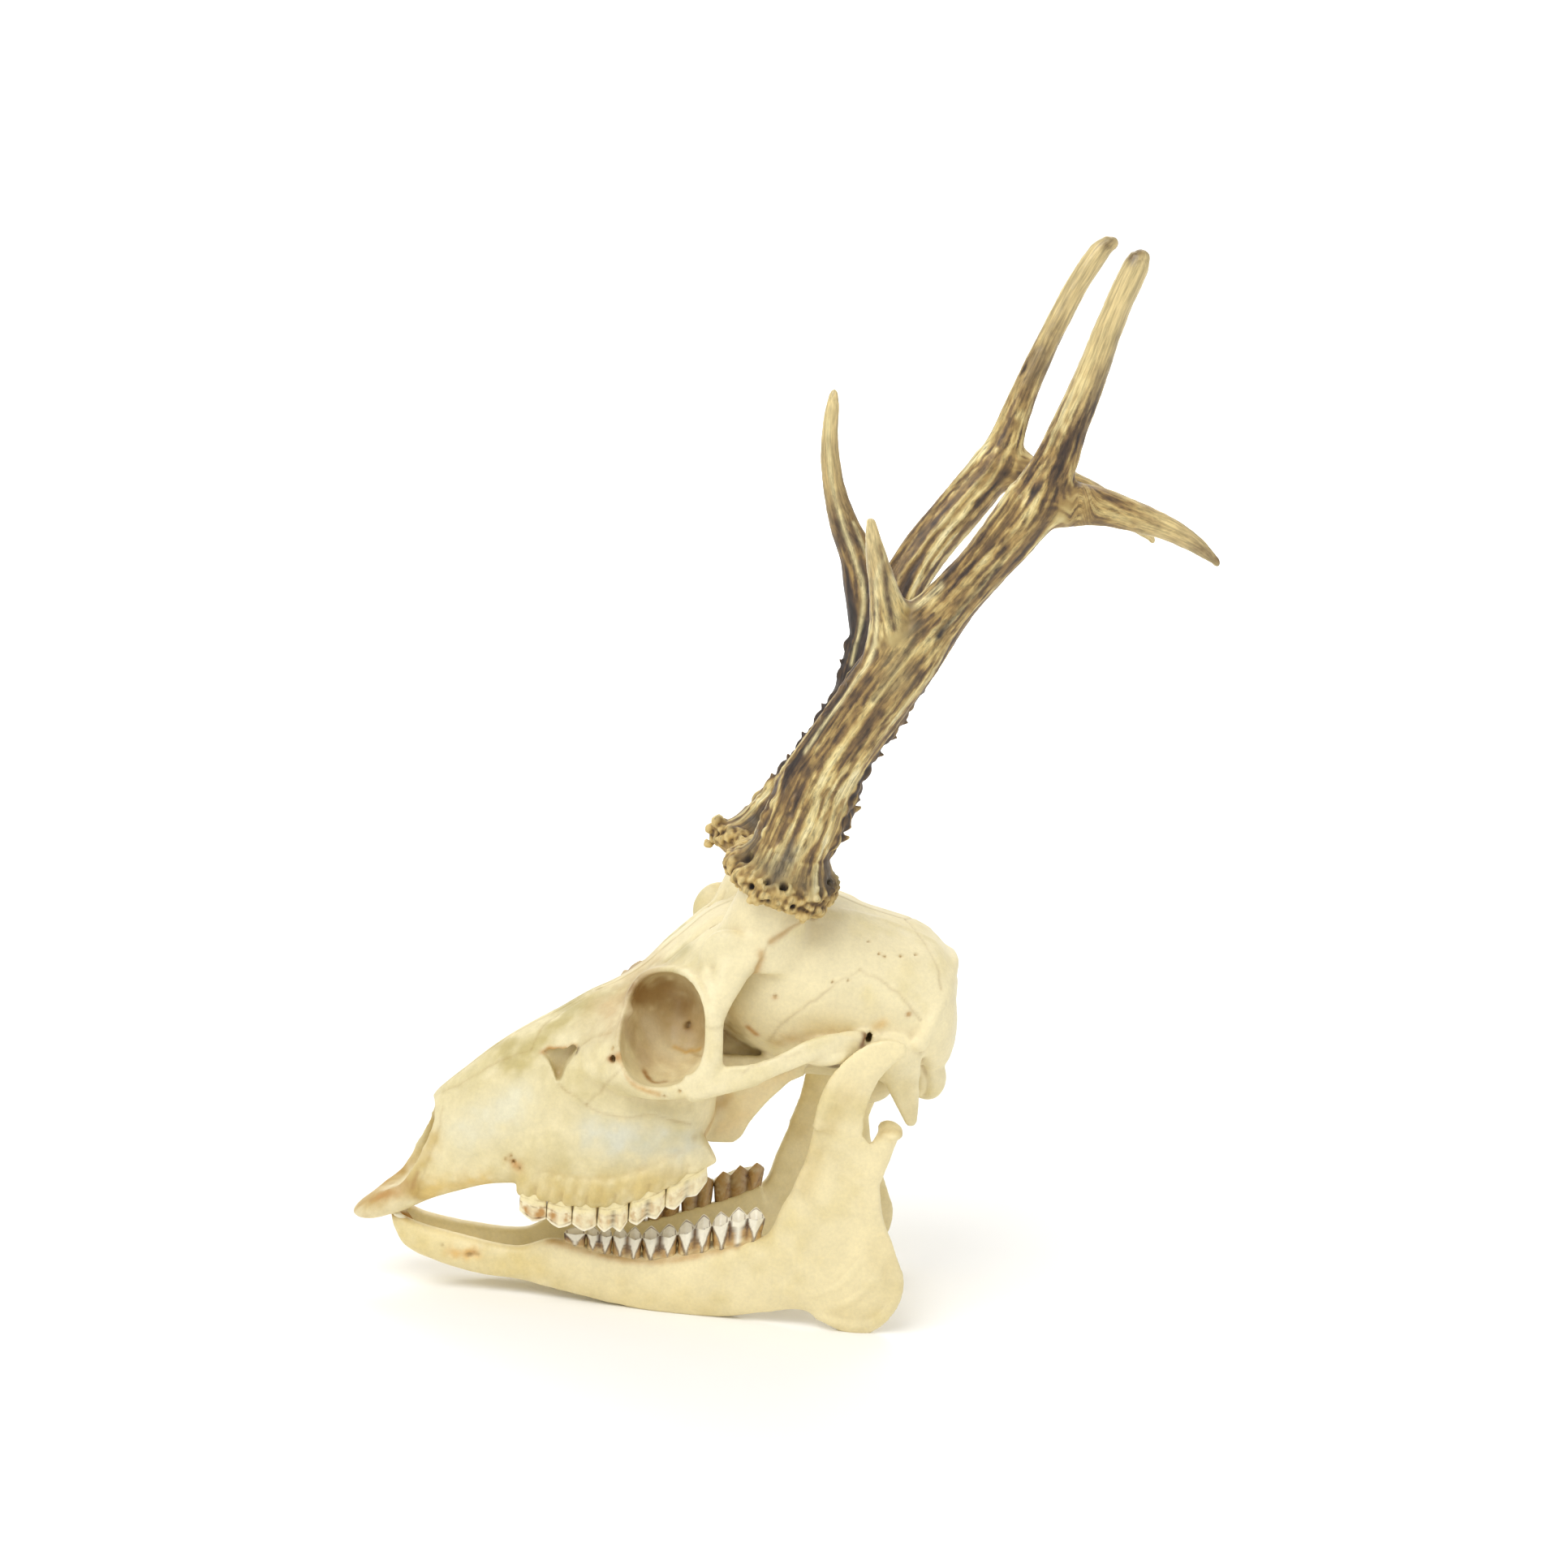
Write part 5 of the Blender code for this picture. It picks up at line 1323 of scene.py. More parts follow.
# %% Rows of teeth
def upper_colours(colours, outside, dirty, wall, edge, level, rag):
    """Cream walls with a brown field between the ribs, and lines of tartar."""
    field = bell(edge, 0.52, 0.34) * bell(level, 0.60, 0.26)
    rim_line = bell(level + 0.05 * rag, 0.86, 0.035) * bell(edge, 0.5, 0.42)
    middle_line = bell(level + 0.10 * rag, 0.36, 0.03)
    gum_line = bell(level + 0.03 * rag, 0.04, 0.025)
    crack = unit((edge - 0.94) * 16) * (level > 0.1) * unit(0.55 + rag)
    return mixed(
        colours,
        ("B98A4A", dirty * (field * 1.3 + 1.1 * rag - 0.2)),
        ("6E4A22", dirty * rim_line * (0.6 + 1.2 * rag)),
        ("7A5226", dirty * middle_line * (0.3 + 1.4 * rag)),
        ("F6EFD8", outside * unit((level - 0.88) * 9) * 0.8),
        ("EBDCA6", wall * np.clip((0.34 - level + 0.1 * rag) * 4, 0, 0.8)),
        ("A88A52", wall * gum_line * (0.3 + 0.6 * rag)),
        ("4A3118", wall * crack * 0.8),
    )


def lower_colours(colours, outside, wall, edge, level, rag):
    """White wedges that narrow to the gum, amber flanks, black-brown valleys, and a cream neck. The middle of each
    lobe on the tongue side gets a painted highlight.
    """
    limit = 0.04 + 0.98 * np.maximum(level, 0) ** 1.2 - edge + 0.13 * rag
    white = unit(limit * 3 + 0.3)
    flank = mixed(
        plain(edge, "C09A5E"),
        ("7A5226", edge * 0.9 + 0.35 * level - 0.45 + 0.7 * rag),
        ("E2CB93", np.clip(0.30 - level + 0.35 * rag, 0, 0.3) * 3),
    )
    amber = unit(outside * (1 - white))[:, None]
    inside = wall & ~outside
    valley = unit((edge - 0.80) * 7) * unit((level - 0.22) * 3) * unit(0.95 + 0.5 * rag)
    gum_line = bell(level + 0.03 * rag, 0.03, 0.016)
    return mixed(
        colours * (1 - amber) + flank * amber,
        ("F4EEDA", outside * white * 0.9),
        ("5A3D1E", outside * bell(white, 0.45, 0.28) * 0.7),
        ("38230F", outside * valley * unit(0.75 + 0.8 * rag)),
        ("A27A42", inside * unit(0.85 + 0.4 * rag)),
        ("5C3C1C", wall * (level > 0) * bell(limit, -0.10, 0.09) * np.clip(0.45 + 1.3 * rag, 0, 0.9)),
        # painted highlight near the middle of each rounded lobe on the tongue side
        ("C9A468", inside * bell(edge, 0.2, 0.3) * unit(0.5 + 0.9 * rag) * 0.7),
        ("5E401F", inside * unit((edge - 0.72) * 3) * 0.75),
        ("E0CB92", wall * (level < 0)),
        ("4A3017", wall * gum_line * unit(0.4 + rag)),
    )


def face_colours(colours, face, edge, cheek, inset, rag, kind):
    """White enamel rims, and a dark line round each lozenge of dentine."""
    colours = mixed(colours, ("FBF5E2", face * 1))
    if kind == "upper":
        return mixed(colours, ("8A6436", face * np.clip(0.3 + bell(cheek + 0.05, 0, 0.2) + rag, 0, 0.85)))
    groove = -0.30 + 0.42 * edge
    rise = (cheek - groove) / (0.88 - groove)
    lozenge = np.maximum(np.abs(rise * 2 - 1), edge * 1.12)
    return mixed(
        colours,
        ("6B4826", face * (rise > 0) * bell(lozenge + 0.05 * rag, 0.84, 0.065) * unit(0.9 + rag)),
        ("34220F", face * bell(rise, 0, 0.09)),
        ("A88A58", face * (rise < 0) * bell(cheek - groove, -0.34, 0.12) * 0.7),
        ("F6F0DC", face * bell(inset, 0.985, 0.02) * 0.9),
    )


DIRT = [1, 1, 0.3, 0.4, 0.55, 0.25]  # how dirty each upper tooth is


def tooth_colours(points, places, kind):
    """Enamel, dentine and tartar from where each point is on its tooth."""
    edge, cheek, level, darkening = places.T
    rag = 0.5 * lattice_noise(points, 1.6, 11) + 0.35 * lattice_noise(points, 0.7, 12)
    rag += 0.3 * lattice_noise(points, 4, 13)
    wall = level <= 1
    outside, height = wall & (cheek < 0.1), np.where(wall, level, 0.5)
    colours = mixed(plain(points, "EFE3BC"), ("D9C38E", 0.25 + 0.5 * rag))
    if kind == "upper":
        colours = upper_colours(colours, outside, outside * darkening, wall, edge, height, rag)
    else:
        colours = lower_colours(colours, outside, wall, edge, height, rag)
    return face_colours(colours, ~wall, edge, cheek, 2 - level, rag, kind)


def tooth_row(kind, side):
    made, places = [], []
    for (start, end, lobes), darkening in zip(TEETH[kind], DIRT):
        form, own = cheek_tooth(start - 0.18, end + 0.18, lobes, kind)
        made.append(form)
        places += [(*place, darkening) for place in own]
    shift = (RIGHT_JAW_SLIP, 0, 0.5) if kind == "lower" else (0, 0, 0)
    row = laid_up(f"teeth_{kind}_{SIDE_NAMES[side]}", on_side(made, side, shift))
    uneven(row, [(3, 0.16), (1.1, 0.05)], seed=90 + side)
    points, _ = skin_of(row)
    # how deep each point lies, which the enamel material darkens as painted shade and dust
    hollow = unit(depth_below(row, 10) * 0.8)
    keep_paint(row, tooth_colours(points, np.array(places), kind), hollow, np.zeros(len(points)))
    return row


for kind in ("upper", "lower"):
    for side in (LEFT, RIGHT):
        row = tooth_row(kind, side)
        pieces[row.name] = row
        print(row.name, "points:", len(row.data.vertices))

# %% [markdown]
# ## Front teeth
#
# The lower jaw ends in four small worn teeth on each side, which lean forward. A deer has no upper front teeth.
# Each tooth is a short tube that flattens to an edge.

# %% Front teeth
def front_teeth(side):
    slip = 0.0 if side == LEFT else RIGHT_JAW_SLIP
    forms = []
    for k in range(4):
        y, x = -1.5 - 1.55 * k, -121.6 + 0.8 * k + slip
        rows = [(x + 3.6, y, 19.8, 0.75, 1.1), (x + 1.4, y, 22.6, 0.85, 1.15), (x - 0.4, y, 24.4, 1, 0.95)]
        rows += [(x - 1.5, y, 25.4 - 0.2 * k, 0.95, 0.6), (x - 1.9, y, 25.7 - 0.2 * k, 0.6, 0.3)]
        forms.append(tube(rows, sides=20, count=22))
    made = laid_up(f"front_teeth_{SIDE_NAMES[side]}", on_side(forms, side))
    points, _ = skin_of(made)
    white = (points[:, 2] - 22.4 + 0.5 * lattice_noise(points, 1.2, 2)) / 1.6
    keep_paint(made, mixed(plain(points, "B98A3E"), ("F0E7C8", white)), *np.zeros((2, len(points))))
    return made


for side, side_name in SIDE_NAMES.items():
    pieces[f"front_teeth_{side_name}"] = front_teeth(side)
print("front teeth made: 8")

# %% [markdown]
# ## Antlers: paths and plain forms
#
# A roe antler is a beam with a burr at its foot, a front tine, and a fork into a rear and a top tine. Each branch
# is a tube along its own path, and not a curve object, because the same paths guide the furrows and the cuts later.

# %% Antler paths
ANTLERS = {
    # x, distance from the middle plane, z and radius, from the skull outwards
    LEFT: {
        "beam": [
            (-0.7, 23.3, 150.7, 12.6), (2.4, 23.6, 160.1, 12.8), (6.2, 24, 170.5, 13), (9.9, 24.6, 182.1, 12.2),
            (15.4, 25.6, 193.2, 11.3), (22.1, 26.8, 204.9, 11.2), (28.3, 28.3, 215.5, 11.4),
            (35.5, 30, 226.5, 10.8), (42.3, 32, 237.4, 9.4), (48.9, 34.6, 246.8, 8.2), (55.7, 37.3, 256.1, 8),
            (63.7, 40.5, 267.9, 8.8), (70.3, 43, 278.3, 9.4),
        ],
        "top": [
            (70.3, 43, 278.3, 9), (75.3, 44.3, 291, 7.1), (78.2, 45.3, 301.4, 5.9), (81.6, 46.1, 311.8, 5.3),
            (84.8, 46.8, 322.1, 4.8), (87.7, 47.4, 332.4, 4.4), (90.9, 47.8, 342.6, 4.2), (94.8, 48, 352.8, 4.1),
            (96.2, 48, 356.8, 3),
        ],
        "rear": [
            (70.3, 43, 278.3, 9), (80.7, 43.6, 278.2, 7.4), (89.4, 43.8, 277.9, 6.2), (101.9, 43.4, 275.1, 4.8),
            (112.5, 42.6, 271.7, 3.8), (120.7, 41.8, 267.6, 2.9), (128.8, 41, 261.9, 1.2),
        ],
        "front": [
            (31.3, 31, 226.2, 8.6), (27.6, 34, 238.8, 6.4), (24, 37.6, 250.9, 4.2), (21.1, 40.4, 260.5, 3),
            (19, 42.6, 269.8, 1.4),
        ],
    },
    RIGHT: {
        "beam": [
            (-3.3, 23.3, 147.4, 11.6), (0.8, 23.6, 156.4, 11.4), (8.1, 24, 166.6, 11), (14.1, 24.6, 175.9, 10.8),
            (20.3, 25.6, 186.2, 10.6), (25.4, 26.8, 196.2, 10.4), (28.1, 28.3, 206.5, 10.2), (30, 29.6, 216.5, 10),
            (33.3, 31.4, 227.3, 9), (37.9, 33.8, 237.7, 8), (44.5, 36.4, 248.6, 7.8), (53.2, 39.4, 259.7, 7.8),
            (61.9, 42, 270.7, 7.8), (66.7, 43, 277.6, 7.6),
        ],
        "top": [
            (66.7, 43, 277.6, 7.4), (69.4, 44, 283.6, 6.2), (72.6, 45.2, 293.9, 5), (76.5, 46.2, 305.3, 4.4),
            (80.9, 47, 316.3, 4), (85.6, 47.5, 327.3, 3.8), (90.5, 47.9, 338.2, 3.7), (97, 48, 349.3, 3.5),
            (100.7, 48, 353.2, 2.4),
        ],
        "rear": [
            (66.7, 43, 277.6, 7.6), (80.4, 43.6, 273.8, 6.6), (92.9, 43.8, 271.2, 5.2), (105.8, 43.2, 265.9, 4.2),
            (115.4, 42.4, 260.2, 3), (121.2, 41.6, 255.4, 1.2),
        ],
        "front": [
            (28.7, 30.8, 222.2, 8.2), (25.3, 33.6, 235.2, 7.2), (22.1, 35.8, 245.9, 6), (17.8, 37.8, 254.6, 5),
            (14.1, 39.6, 265, 3.9), (11.8, 41, 275.6, 3.3), (11.1, 42, 286.2, 2.7), (11.4, 42.7, 294.2, 2.2),
            (11.7, 43, 299.1, 1.2),
        ],
    },
}
BURR_HEIGHT = 9


def branch_rows(side, branch):
    """A branch's path. The stem is the beam with the top tine."""
    own = ANTLERS[side]
    rows = own["beam"] + own["top"][1:] if branch == "stem" else own[branch]
    return [(x, y * side, z, r, r) for x, y, z, r in rows]


print("stations of the left antler:", sum(len(rows) for rows in ANTLERS[LEFT].values()))

# %% [markdown]
# ## Antlers: burrs
#
# The burr is a flare with an uneven rim, covered by fine grains, which are small balls: they keep their overhangs,
# as displacement wouldn't. Clusters of grains stand out of it, and deep pits show where vessels entered. It slopes
# down outwards like a roof, so its axis leans out further than the beam's.

# %% Burrs
def burr_frame(side):
    """Where the burr sits: its middle, its axis, and two directions across it, the first towards the snout."""
    base, above = (Vector((x, y * side, z)) for x, y, z, _ in ANTLERS[side]["beam"][:2])
    up = ((above - base).normalized() + Vector((0, 0.19 * side, 0))).normalized()
    front = (Vector(FORWARDS) - up * up.dot(FORWARDS)).normalized()
    return base, up, front, up.cross(front)


BURR_PROFILE = [
    # height above the burr's middle and radius, from the skull up the flare to the beam
    (-7.4, 8), (-7, 11.5), (-6, 14.6), (-4.4, 16.6), (-2.4, 17.5), (-0.2, 17.5), (1.4, 16.7),
    (2.6, 15.3), (4.4, 14), (7, 12.9), (10, 12.2), (12.5, 8),
]


BURR_RIM = [(0, -6.2, 14.4), (0.3, -4.2, 16.9), (0.6, -1.6, 17.9), (0.82, 0.8, 17.2), (1, 2.6, 15.6)]


def burr_place(side, angle, radius, height):
    """A point of the burr, by degrees from the front round its outer side, radius and height."""
    base, up, front, across = burr_frame(side)
    outer = across if across.y * side > 0 else -across
    turn = math.radians(angle)
    rear = max(0, -math.cos(turn + 0.35))
    height += 4.2 * rear * max(0, min(1, (height + 4) / 5)) * max(0, min(1, (12.5 - height) / 8))
    return base + (front * math.cos(turn) + outer * math.sin(turn)) * radius + up * height


def burr_forms(side):
    """The flare, the fine grains on its rim, and the clusters."""
    picks = random.Random(31 + side)
    lobes = [(picks.uniform(0, 6.3), count, picks.uniform(0.012, 0.03)) for count in (2, 3, 5, 8, 13)]

    def waves(angle):
        return 1 + sum(size * math.sin(count * math.radians(angle) + phase) for phase, count, size in lobes)

    rings = []
    for height, radius in BURR_PROFILE:
        share = max(0, min(1, (radius - 12) / 4))
        ring = [burr_place(side, a * 3.75, radius * (1 + (waves(a * 3.75) - 1) * share), height) for a in range(96)]
        rings.append(ring)
    forms = [skinned(rings)]
    for _ in range(270):
        angle, along = picks.uniform(0, 360), picks.random() ** 0.9
        height, radius = eased(BURR_RIM, along)[1:]
        size = picks.uniform(0.75, 1.45) * (1.25 if 0.2 < along < 0.8 else 0.8)
        middle = burr_place(side, angle, radius * waves(angle) - size * 0.05, height)
        forms.append(ball(middle, (size, size, size * picks.uniform(0.8, 1.3)), detail=1))
    for angle, radius, height, size in BURR_KNOBS[side]:
        for _ in range(7):
            near = (value + picks.uniform(-reach, reach)
                for value, reach in ((angle, 7), (radius, 1), (height, 1.4)))
            middle = burr_place(side, *near)
            forms.append(ball(middle, [size * picks.uniform(0.5, 0.9)] * 3, detail=1))
    return forms


BURR_KNOBS = {
    # degrees from the front, radius, height, size: clusters of grains that stand out of the rim
    LEFT: [
        (8, 17.5, -1.5, 2), (-25, 17.6, -2, 2), (60, 18, -5, 1.8), (120, 17.8, -5.6, 2), (165, 17.8, -2, 2),
        (-110, 17, -2, 2.2),
    ],
    RIGHT: [
        (-12, 19, 0.4, 2.5), (6, 19.2, -2.2, 2.4), (20, 18.6, -6, 1.8), (-60, 17.8, -1.5, 2.2),
        (150, 17.6, -3, 2.2), (60, 17.5, -2, 2.2),
    ],
}
BURR_PITS = {
    # degrees from the front, radius, height, width, depth: cavities where vessels entered
    LEFT: [
        (66, 15.9, 2, 1, 2.4), (84, 16.2, 1.8, 1.3, 2.8), (146, 16.6, 1.2, 1.1, 2), (152, 16.8, 3, 0.8, 1.6),
        (76, 17.8, -3.6, 0.7, 1.4), (104, 18, -2.8, 0.7, 1.3), (52, 17.6, -1.6, 0.8, 1.5),
        (20, 15.2, 4, 1.6, 2), (-30, 15.6, 3.4, 1.3, 2.4),
    ],
    RIGHT: [
        (10, 16.4, 1.4, 1.3, 2.4), (-20, 16.8, -2, 1, 1.8), (-80, 16, 0.4, 1.3, 2.4), (90, 16.2, 0.4, 1.2, 2.2),
        (150, 16.4, 0, 1.2, 2),
    ],
}
print("clusters of grains:", [len(knobs) for knobs in BURR_KNOBS.values()])

# %% [markdown]
# ## Antlers: pearls, spurs and the whole form
#
# Pearls are small stretched balls, and spurs are pointed tubes that lean towards the tip. The large ones are placed
# as in the photograph, and small ones by chance. Everything is then melted at a fine voxel, so that they grow out
# of the beam.

# %% Pearls, spurs and the whole antler
def on_beam(side, run, angle, lift=0):
    """A point on a beam's surface, its outward direction, and the beam's own. `run` is in mm from its start, and the
    angle is in degrees from the front, over the outer side, to the rear."""
    count = 200
    fine = spaced(branch_rows(side, "beam"), count)
    total = sum((Vector(b[:3]) - Vector(a[:3])).length for a, b in zip(fine, fine[1:]))
    i = min(count - 2, max(1, round(run / total * (count - 1))))
    x, y, z, r, _ = fine[i]
    along = (Vector(fine[i + 1][:3]) - Vector(fine[i - 1][:3])).normalized()
    front = (Vector(FORWARDS) - along * along.dot(FORWARDS)).normalized()
    outer = (Vector((0, side, 0)) - along * along.dot((0, side, 0))).normalized()
    turn = math.radians(angle)
    out = front * math.cos(turn) + outer * math.sin(turn)
    return Vector((x, y, z)) + out * (r + lift), out, along


def pearl(side, run, angle, size, stretch=1.5):
    """A grain of antler, longer along the beam than across it."""
    place, out, along = on_beam(side, run, angle)
    grain = ball((0, 0, 0), (size, size, size * stretch), detail=2)
    turn = along.to_track_quat("Z", "Y").to_matrix().to_4x4()
    grain.transform(Matrix.Translation(place - out * size * 0.35) @ turn)
    return grain


def spur(side, run, angle, length, size):
    """A pointed spur that stands off a beam and leans towards its tip."""
    place, out, along = on_beam(side, run, angle, -1)
    tip = place + (out * 0.85 + along * 0.5) * length
    middle = (place + tip) / 2
    return tube([(*place, size, size), (*middle, size * 0.7, size * 0.7),
        (*tip, size * 0.25, size * 0.25)], sides=12)


KNOWN_PEARLS = {
    # run, angle, size
    LEFT: [
        (22, 20, 1.7), (16, 8, 1.9), (12, 30, 1.6), (33, 15, 1.4), (52, 12, 1.3), (27, 55, 1.2), (20, 62, 1.1),
        (10, 60, 1.4), (8, 95, 1.5), (14, 118, 1.5), (18, 152, 2.6), (24, 160, 2.9), (28, 146, 2.2), (32, 162, 2.7),
        (26, 172, 2.4), (36, 170, 2.6), (22, 146, 1.8), (30, 152, 1.8), (37, 154, 2.2), (43, 166, 2.5),
            (66, 174, 2),
        (60, 172, 2.2), (50, 160, 1.6), (57, 168, 1.5), (64, 170, 1.7), (46, 120, 1.2), (36, 100, 1),
            (62, 150, 1.2),
        (70, 164, 1.5), (77, 170, 1.3),
    ],
    RIGHT: [
        (12, 20, 2), (18, -6, 2.4), (22, -24, 2.2), (26, 4, 2.2), (30, -30, 2), (36, -10, 2.3), (42, -28, 1.8),
        (47, -4, 2.2), (56, -14, 2.2), (66, -10, 1.9), (76, -6, 1.8), (18, 160, 1.9), (30, 165, 2),
        (52, 170, 1.6),
    ],
}


def pearl_forms(side):
    picks = random.Random(57 + side)
    forms = [pearl(side, *known) for known in KNOWN_PEARLS[side]]
    for _ in range(170):
        run = 10 + 90 * picks.random() ** 1.6
        angle = picks.choice((picks.gauss(-70, 45), picks.gauss(-20, 26), picks.gauss(182, 24)))
        size = picks.uniform(0.5, 1.15) * (1.15 - run / 190)
        forms.append(pearl(side, run, angle, size, picks.uniform(1, 2.6)))
    return forms


WEBS = {
    # closed forms that round the forks off: middle, half sizes, and turn in degrees
    LEFT: [
        ((30.6, -32.6, 236.5), (5.2, 5.6, 9), (0, -8, 0)), ((35.6, -32, 238.6), (4.2, 4.6, 5.2), (0, 28, 0)),
        ((79.5, -43.4, 281.6), (5, 4.4, 4), (0, 0, 0)),
    ],
    RIGHT: [((27, 32.6, 232.5), (5, 5.4, 8), (0, 0, 0)), ((74.5, 43.4, 279.5), (5, 4.2, 4), (0, 0, 0))],
}


SPURS = {
    # run, angle, length, size: small spikes along the rear of the beam
    LEFT: [
        (18, 172, 4.4, 1.8), (22, 160, 4, 1.7), (27, 177, 4.8, 1.9), (31, 166, 3.8, 1.6), (50, 174, 3.6, 1.5),
        (57, 178, 4.2, 1.6), (63, 176, 4, 1.5),
    ],
    RIGHT: [
        (20, -4, 3.6, 1.6), (29, -14, 4, 1.7), (38, -2, 3.6, 1.5), (50, -8, 3.8, 1.5), (62, 178, 4.2, 1.5),
        (70, -8, 3, 1.3),
    ],
}
# x, y, z and half sizes of the ridge that runs down the beam from the left front tine
TINE_RIDGE = [
    (25.4, -34.6, 243, 3.2, 3.2), (25.2, -33.4, 234.5, 3.7, 3.7), (24.8, -31.6, 226.5, 4.4, 4.4),
    (23.4, -30, 219, 4.8, 4.8), (20.6, -28.6, 211.5, 4.4, 4.4), (16, -27.4, 203, 3.4, 3.4),
]


FORKS = {
    # places where one branch runs into another
    LEFT: [(30, 36, 243), (29, 39, 230), (24, 38, 232), (40, 38, 243), (80, 43, 287), (84, 44, 271), (72, 44, 268)],
    RIGHT: [(30, 34, 240), (24, 36, 228), (27, 38, 224), (77, 43, 282), (80, 43, 268), (68, 44, 268)],
}


def whole_antler(side):
    forms = [tube(branch_rows(side, name), sides=36, count=12 * len(rows)) for name, rows in ANTLERS[side].items()]
    forms += burr_forms(side) + pearl_forms(side) + [ball(*web) for web in WEBS[side]]
    if side == LEFT:
        forms.append(tube(TINE_RIDGE, sides=24, count=40))
    for branch in ("top", "rear", "front"):
        x, y, z, r = ANTLERS[side][branch][-1]
        forms.append(ball((x, y * side, z - 0.4 * r), (r, r, r)))
    forms += [spur(side, *row) for row in SPURS[side]]
    made = laid_up("antler", forms)
    melted(made, grain=0.55, rounds=2)
    softened(made, flipped(FORKS[side], side), width=8.5, rounds=45)
    pits = [(wide, -deep, [burr_place(side, *place)]) for *place, wide, deep in BURR_PITS[side]]
    sculpted(made, pits, sides=(1,))
    return made


antlers = {side: whole_antler(side) for side in (LEFT, RIGHT)}
print("points of each antler:", [len(made.data.vertices) for made in antlers.values()])

# %% [markdown]
# ## Antlers: furrows
#
# Vessels of the velvet left furrows that run the length of the antler. Each point gets straightened coordinates: how
# far it is along its branch, and where it is round it. Noise that is long in the one direction and short in the other
# makes ridges and furrows that follow every bend. Where two branches meet, their furrows are mixed by nearness.

# %% Furrow the antlers
AT_ONCE = 20000  # points handled together, to save memory


def straightened(points, side, branch):
    """Places on a branch as if it were straight, how far off its surface they are, and its length."""
    fine = np.array(spaced(branch_rows(side, branch), 240))
    centres, radii = fine[:, :3], fine[:, 3]
    tangents = np.gradient(centres, axis=0)
    steps = np.linalg.norm(tangents, axis=1)
    tangents /= steps[:, None]
    run = np.concatenate([[0], np.cumsum(np.linalg.norm(np.diff(centres, axis=0), axis=1))])
    front = FORWARDS - tangents * (tangents @ FORWARDS)[:, None]
    front /= np.linalg.norm(front, axis=1)[:, None]
    outer = np.cross(tangents, front)
    outer *= np.sign(outer[:, 1:2] * side + TINY)
    nearest = np.zeros(len(points), int)
    for start in range(0, len(points), AT_ONCE):
        gaps = ((points[start : start + AT_ONCE, None, :] - centres) ** 2).sum(2)
        nearest[start : start + AT_ONCE] = gaps.argmin(1)
    away = points - centres[nearest]
    a = (away * front[nearest]).sum(1)
    b = (away * outer[nearest]).sum(1)
    r = np.hypot(a, b)
    scale = radii[nearest] / np.maximum(r, 0.3)
    along = run[nearest] + (away * tangents[nearest]).sum(1)
    return np.stack([a * scale, b * scale, along], 1), r - radii[nearest], run[-1]


def furrows(grain, seed):
    """Furrows and ridges along a branch, about -1 to 1, the thin crests between them, and small flecks."""
    warp = lattice_noise(grain * (1, 1, 0.35), 6, seed + 5) + 0.4 * lattice_noise(grain, 2.6, seed + 6)
    warp = warp[:, None]
    long = grain / (3.4, 3.4, 55) + warp * (0.24, 0.24, 0.10)
    fine = grain / (1.3, 1.3, 20) + warp * 0.25
    broad = lattice_noise(long, 1, seed)
    crest = 1 - 5.0 * np.abs(lattice_noise(long * 0.9 + 9, 1, seed + 1))
    value = 0.60 * broad + 0.45 * np.clip(crest, -0.6, 1) + 0.30 * lattice_noise(fine, 1, seed + 2)
    flecks = lattice_noise(grain / (1.15, 1.15, 17) + warp * 0.5, 1, seed + 3)
    flecks += 0.55 * lattice_noise(grain / (0.9, 0.9, 3.6), 1, seed + 4)
    return value, unit(crest - 0.25), flecks


# how rough each branch is at its start and end, and how late it changes
ROUGH = {"stem": (0.95, 0.05, 3.2), "rear": (0.55, 0.05, 0.7), "front": (0.6, 0.06, 0.7)}


def furrowed(made, side):
    """Moves the skin, and gives each point's relief, crest, nearness to a tip, height over the burr, degrees round
    its branch, and flecks."""
    points, normals = skin_of(made)
    count = len(points)
    total, sums = np.zeros(count), np.zeros((count, 5))
    best, next_best = np.full(count, FAR_OFF), np.full(count, FAR_OFF)
    grain_kept, turned = np.zeros((count, 3)), np.zeros(count)
    for i, branch in enumerate(ROUGH):
        grain, off, length = straightened(points, side, branch)
        t = unit(grain[:, 2] / length)
        start, end, late = ROUGH[branch]
        amount = start + (end - start) * t**late
        value, crest, fine = furrows(grain, 40 + 10 * i + side)
        weight = bell(np.maximum(off, 0), 0, 1.6) + TINY
        tip = t**1.6
        if branch == "stem":
            tip = unit((t - 0.66) / 0.3)
        else:
            weight *= unit(grain[:, 2] / 8) + 1e-6
            off = off + np.clip(10 - grain[:, 2], 0, 10)
        total += weight
        strength = np.clip(amount * 1.4, 0.25, 1)
        found = [amount * value, value * strength, crest * amount, tip, fine * strength]
        sums += weight[:, None] * np.stack(found, 1)
        closer = off < best
        next_best = np.where(closer, best, np.minimum(next_best, off))
        best[closer], grain_kept[closer] = off[closer], grain[closer] + np.array([0, 0, 300.0 * i])
        turned[closer] = np.degrees(np.arctan2(grain[closer, 1], grain[closer, 0]))
    flecks = sums[:, 4] / total
    height, relief, crest, tipness, _ = smoothed(sums / total[:, None], edges_of(made), 2).T
    base, up, _, _ = burr_frame(side)
    over_burr = (points - np.array(base)) @ np.array(up)
    height = height * np.clip((over_burr + 1) / 5, 0.1, 1)
    put_back(made, points + normals * (0.52 * height)[:, None])
    uneven(made, [(3.2, 0.10), (1.3, 0.07)], seed=70 + side)
    keep(made, "between", smoothed(bell(next_best - best, 0, 2.5), edges_of(made), 4))
    keep(made, "grain", grain_kept * MM, "FLOAT_VECTOR")
    return relief, crest, tipness, over_burr, turned, flecks


found = {side: furrowed(made, side) for side, made in antlers.items()}
print("largest relief of each antler:", [round(float(values[0].max()), 2) for values in found.values()])
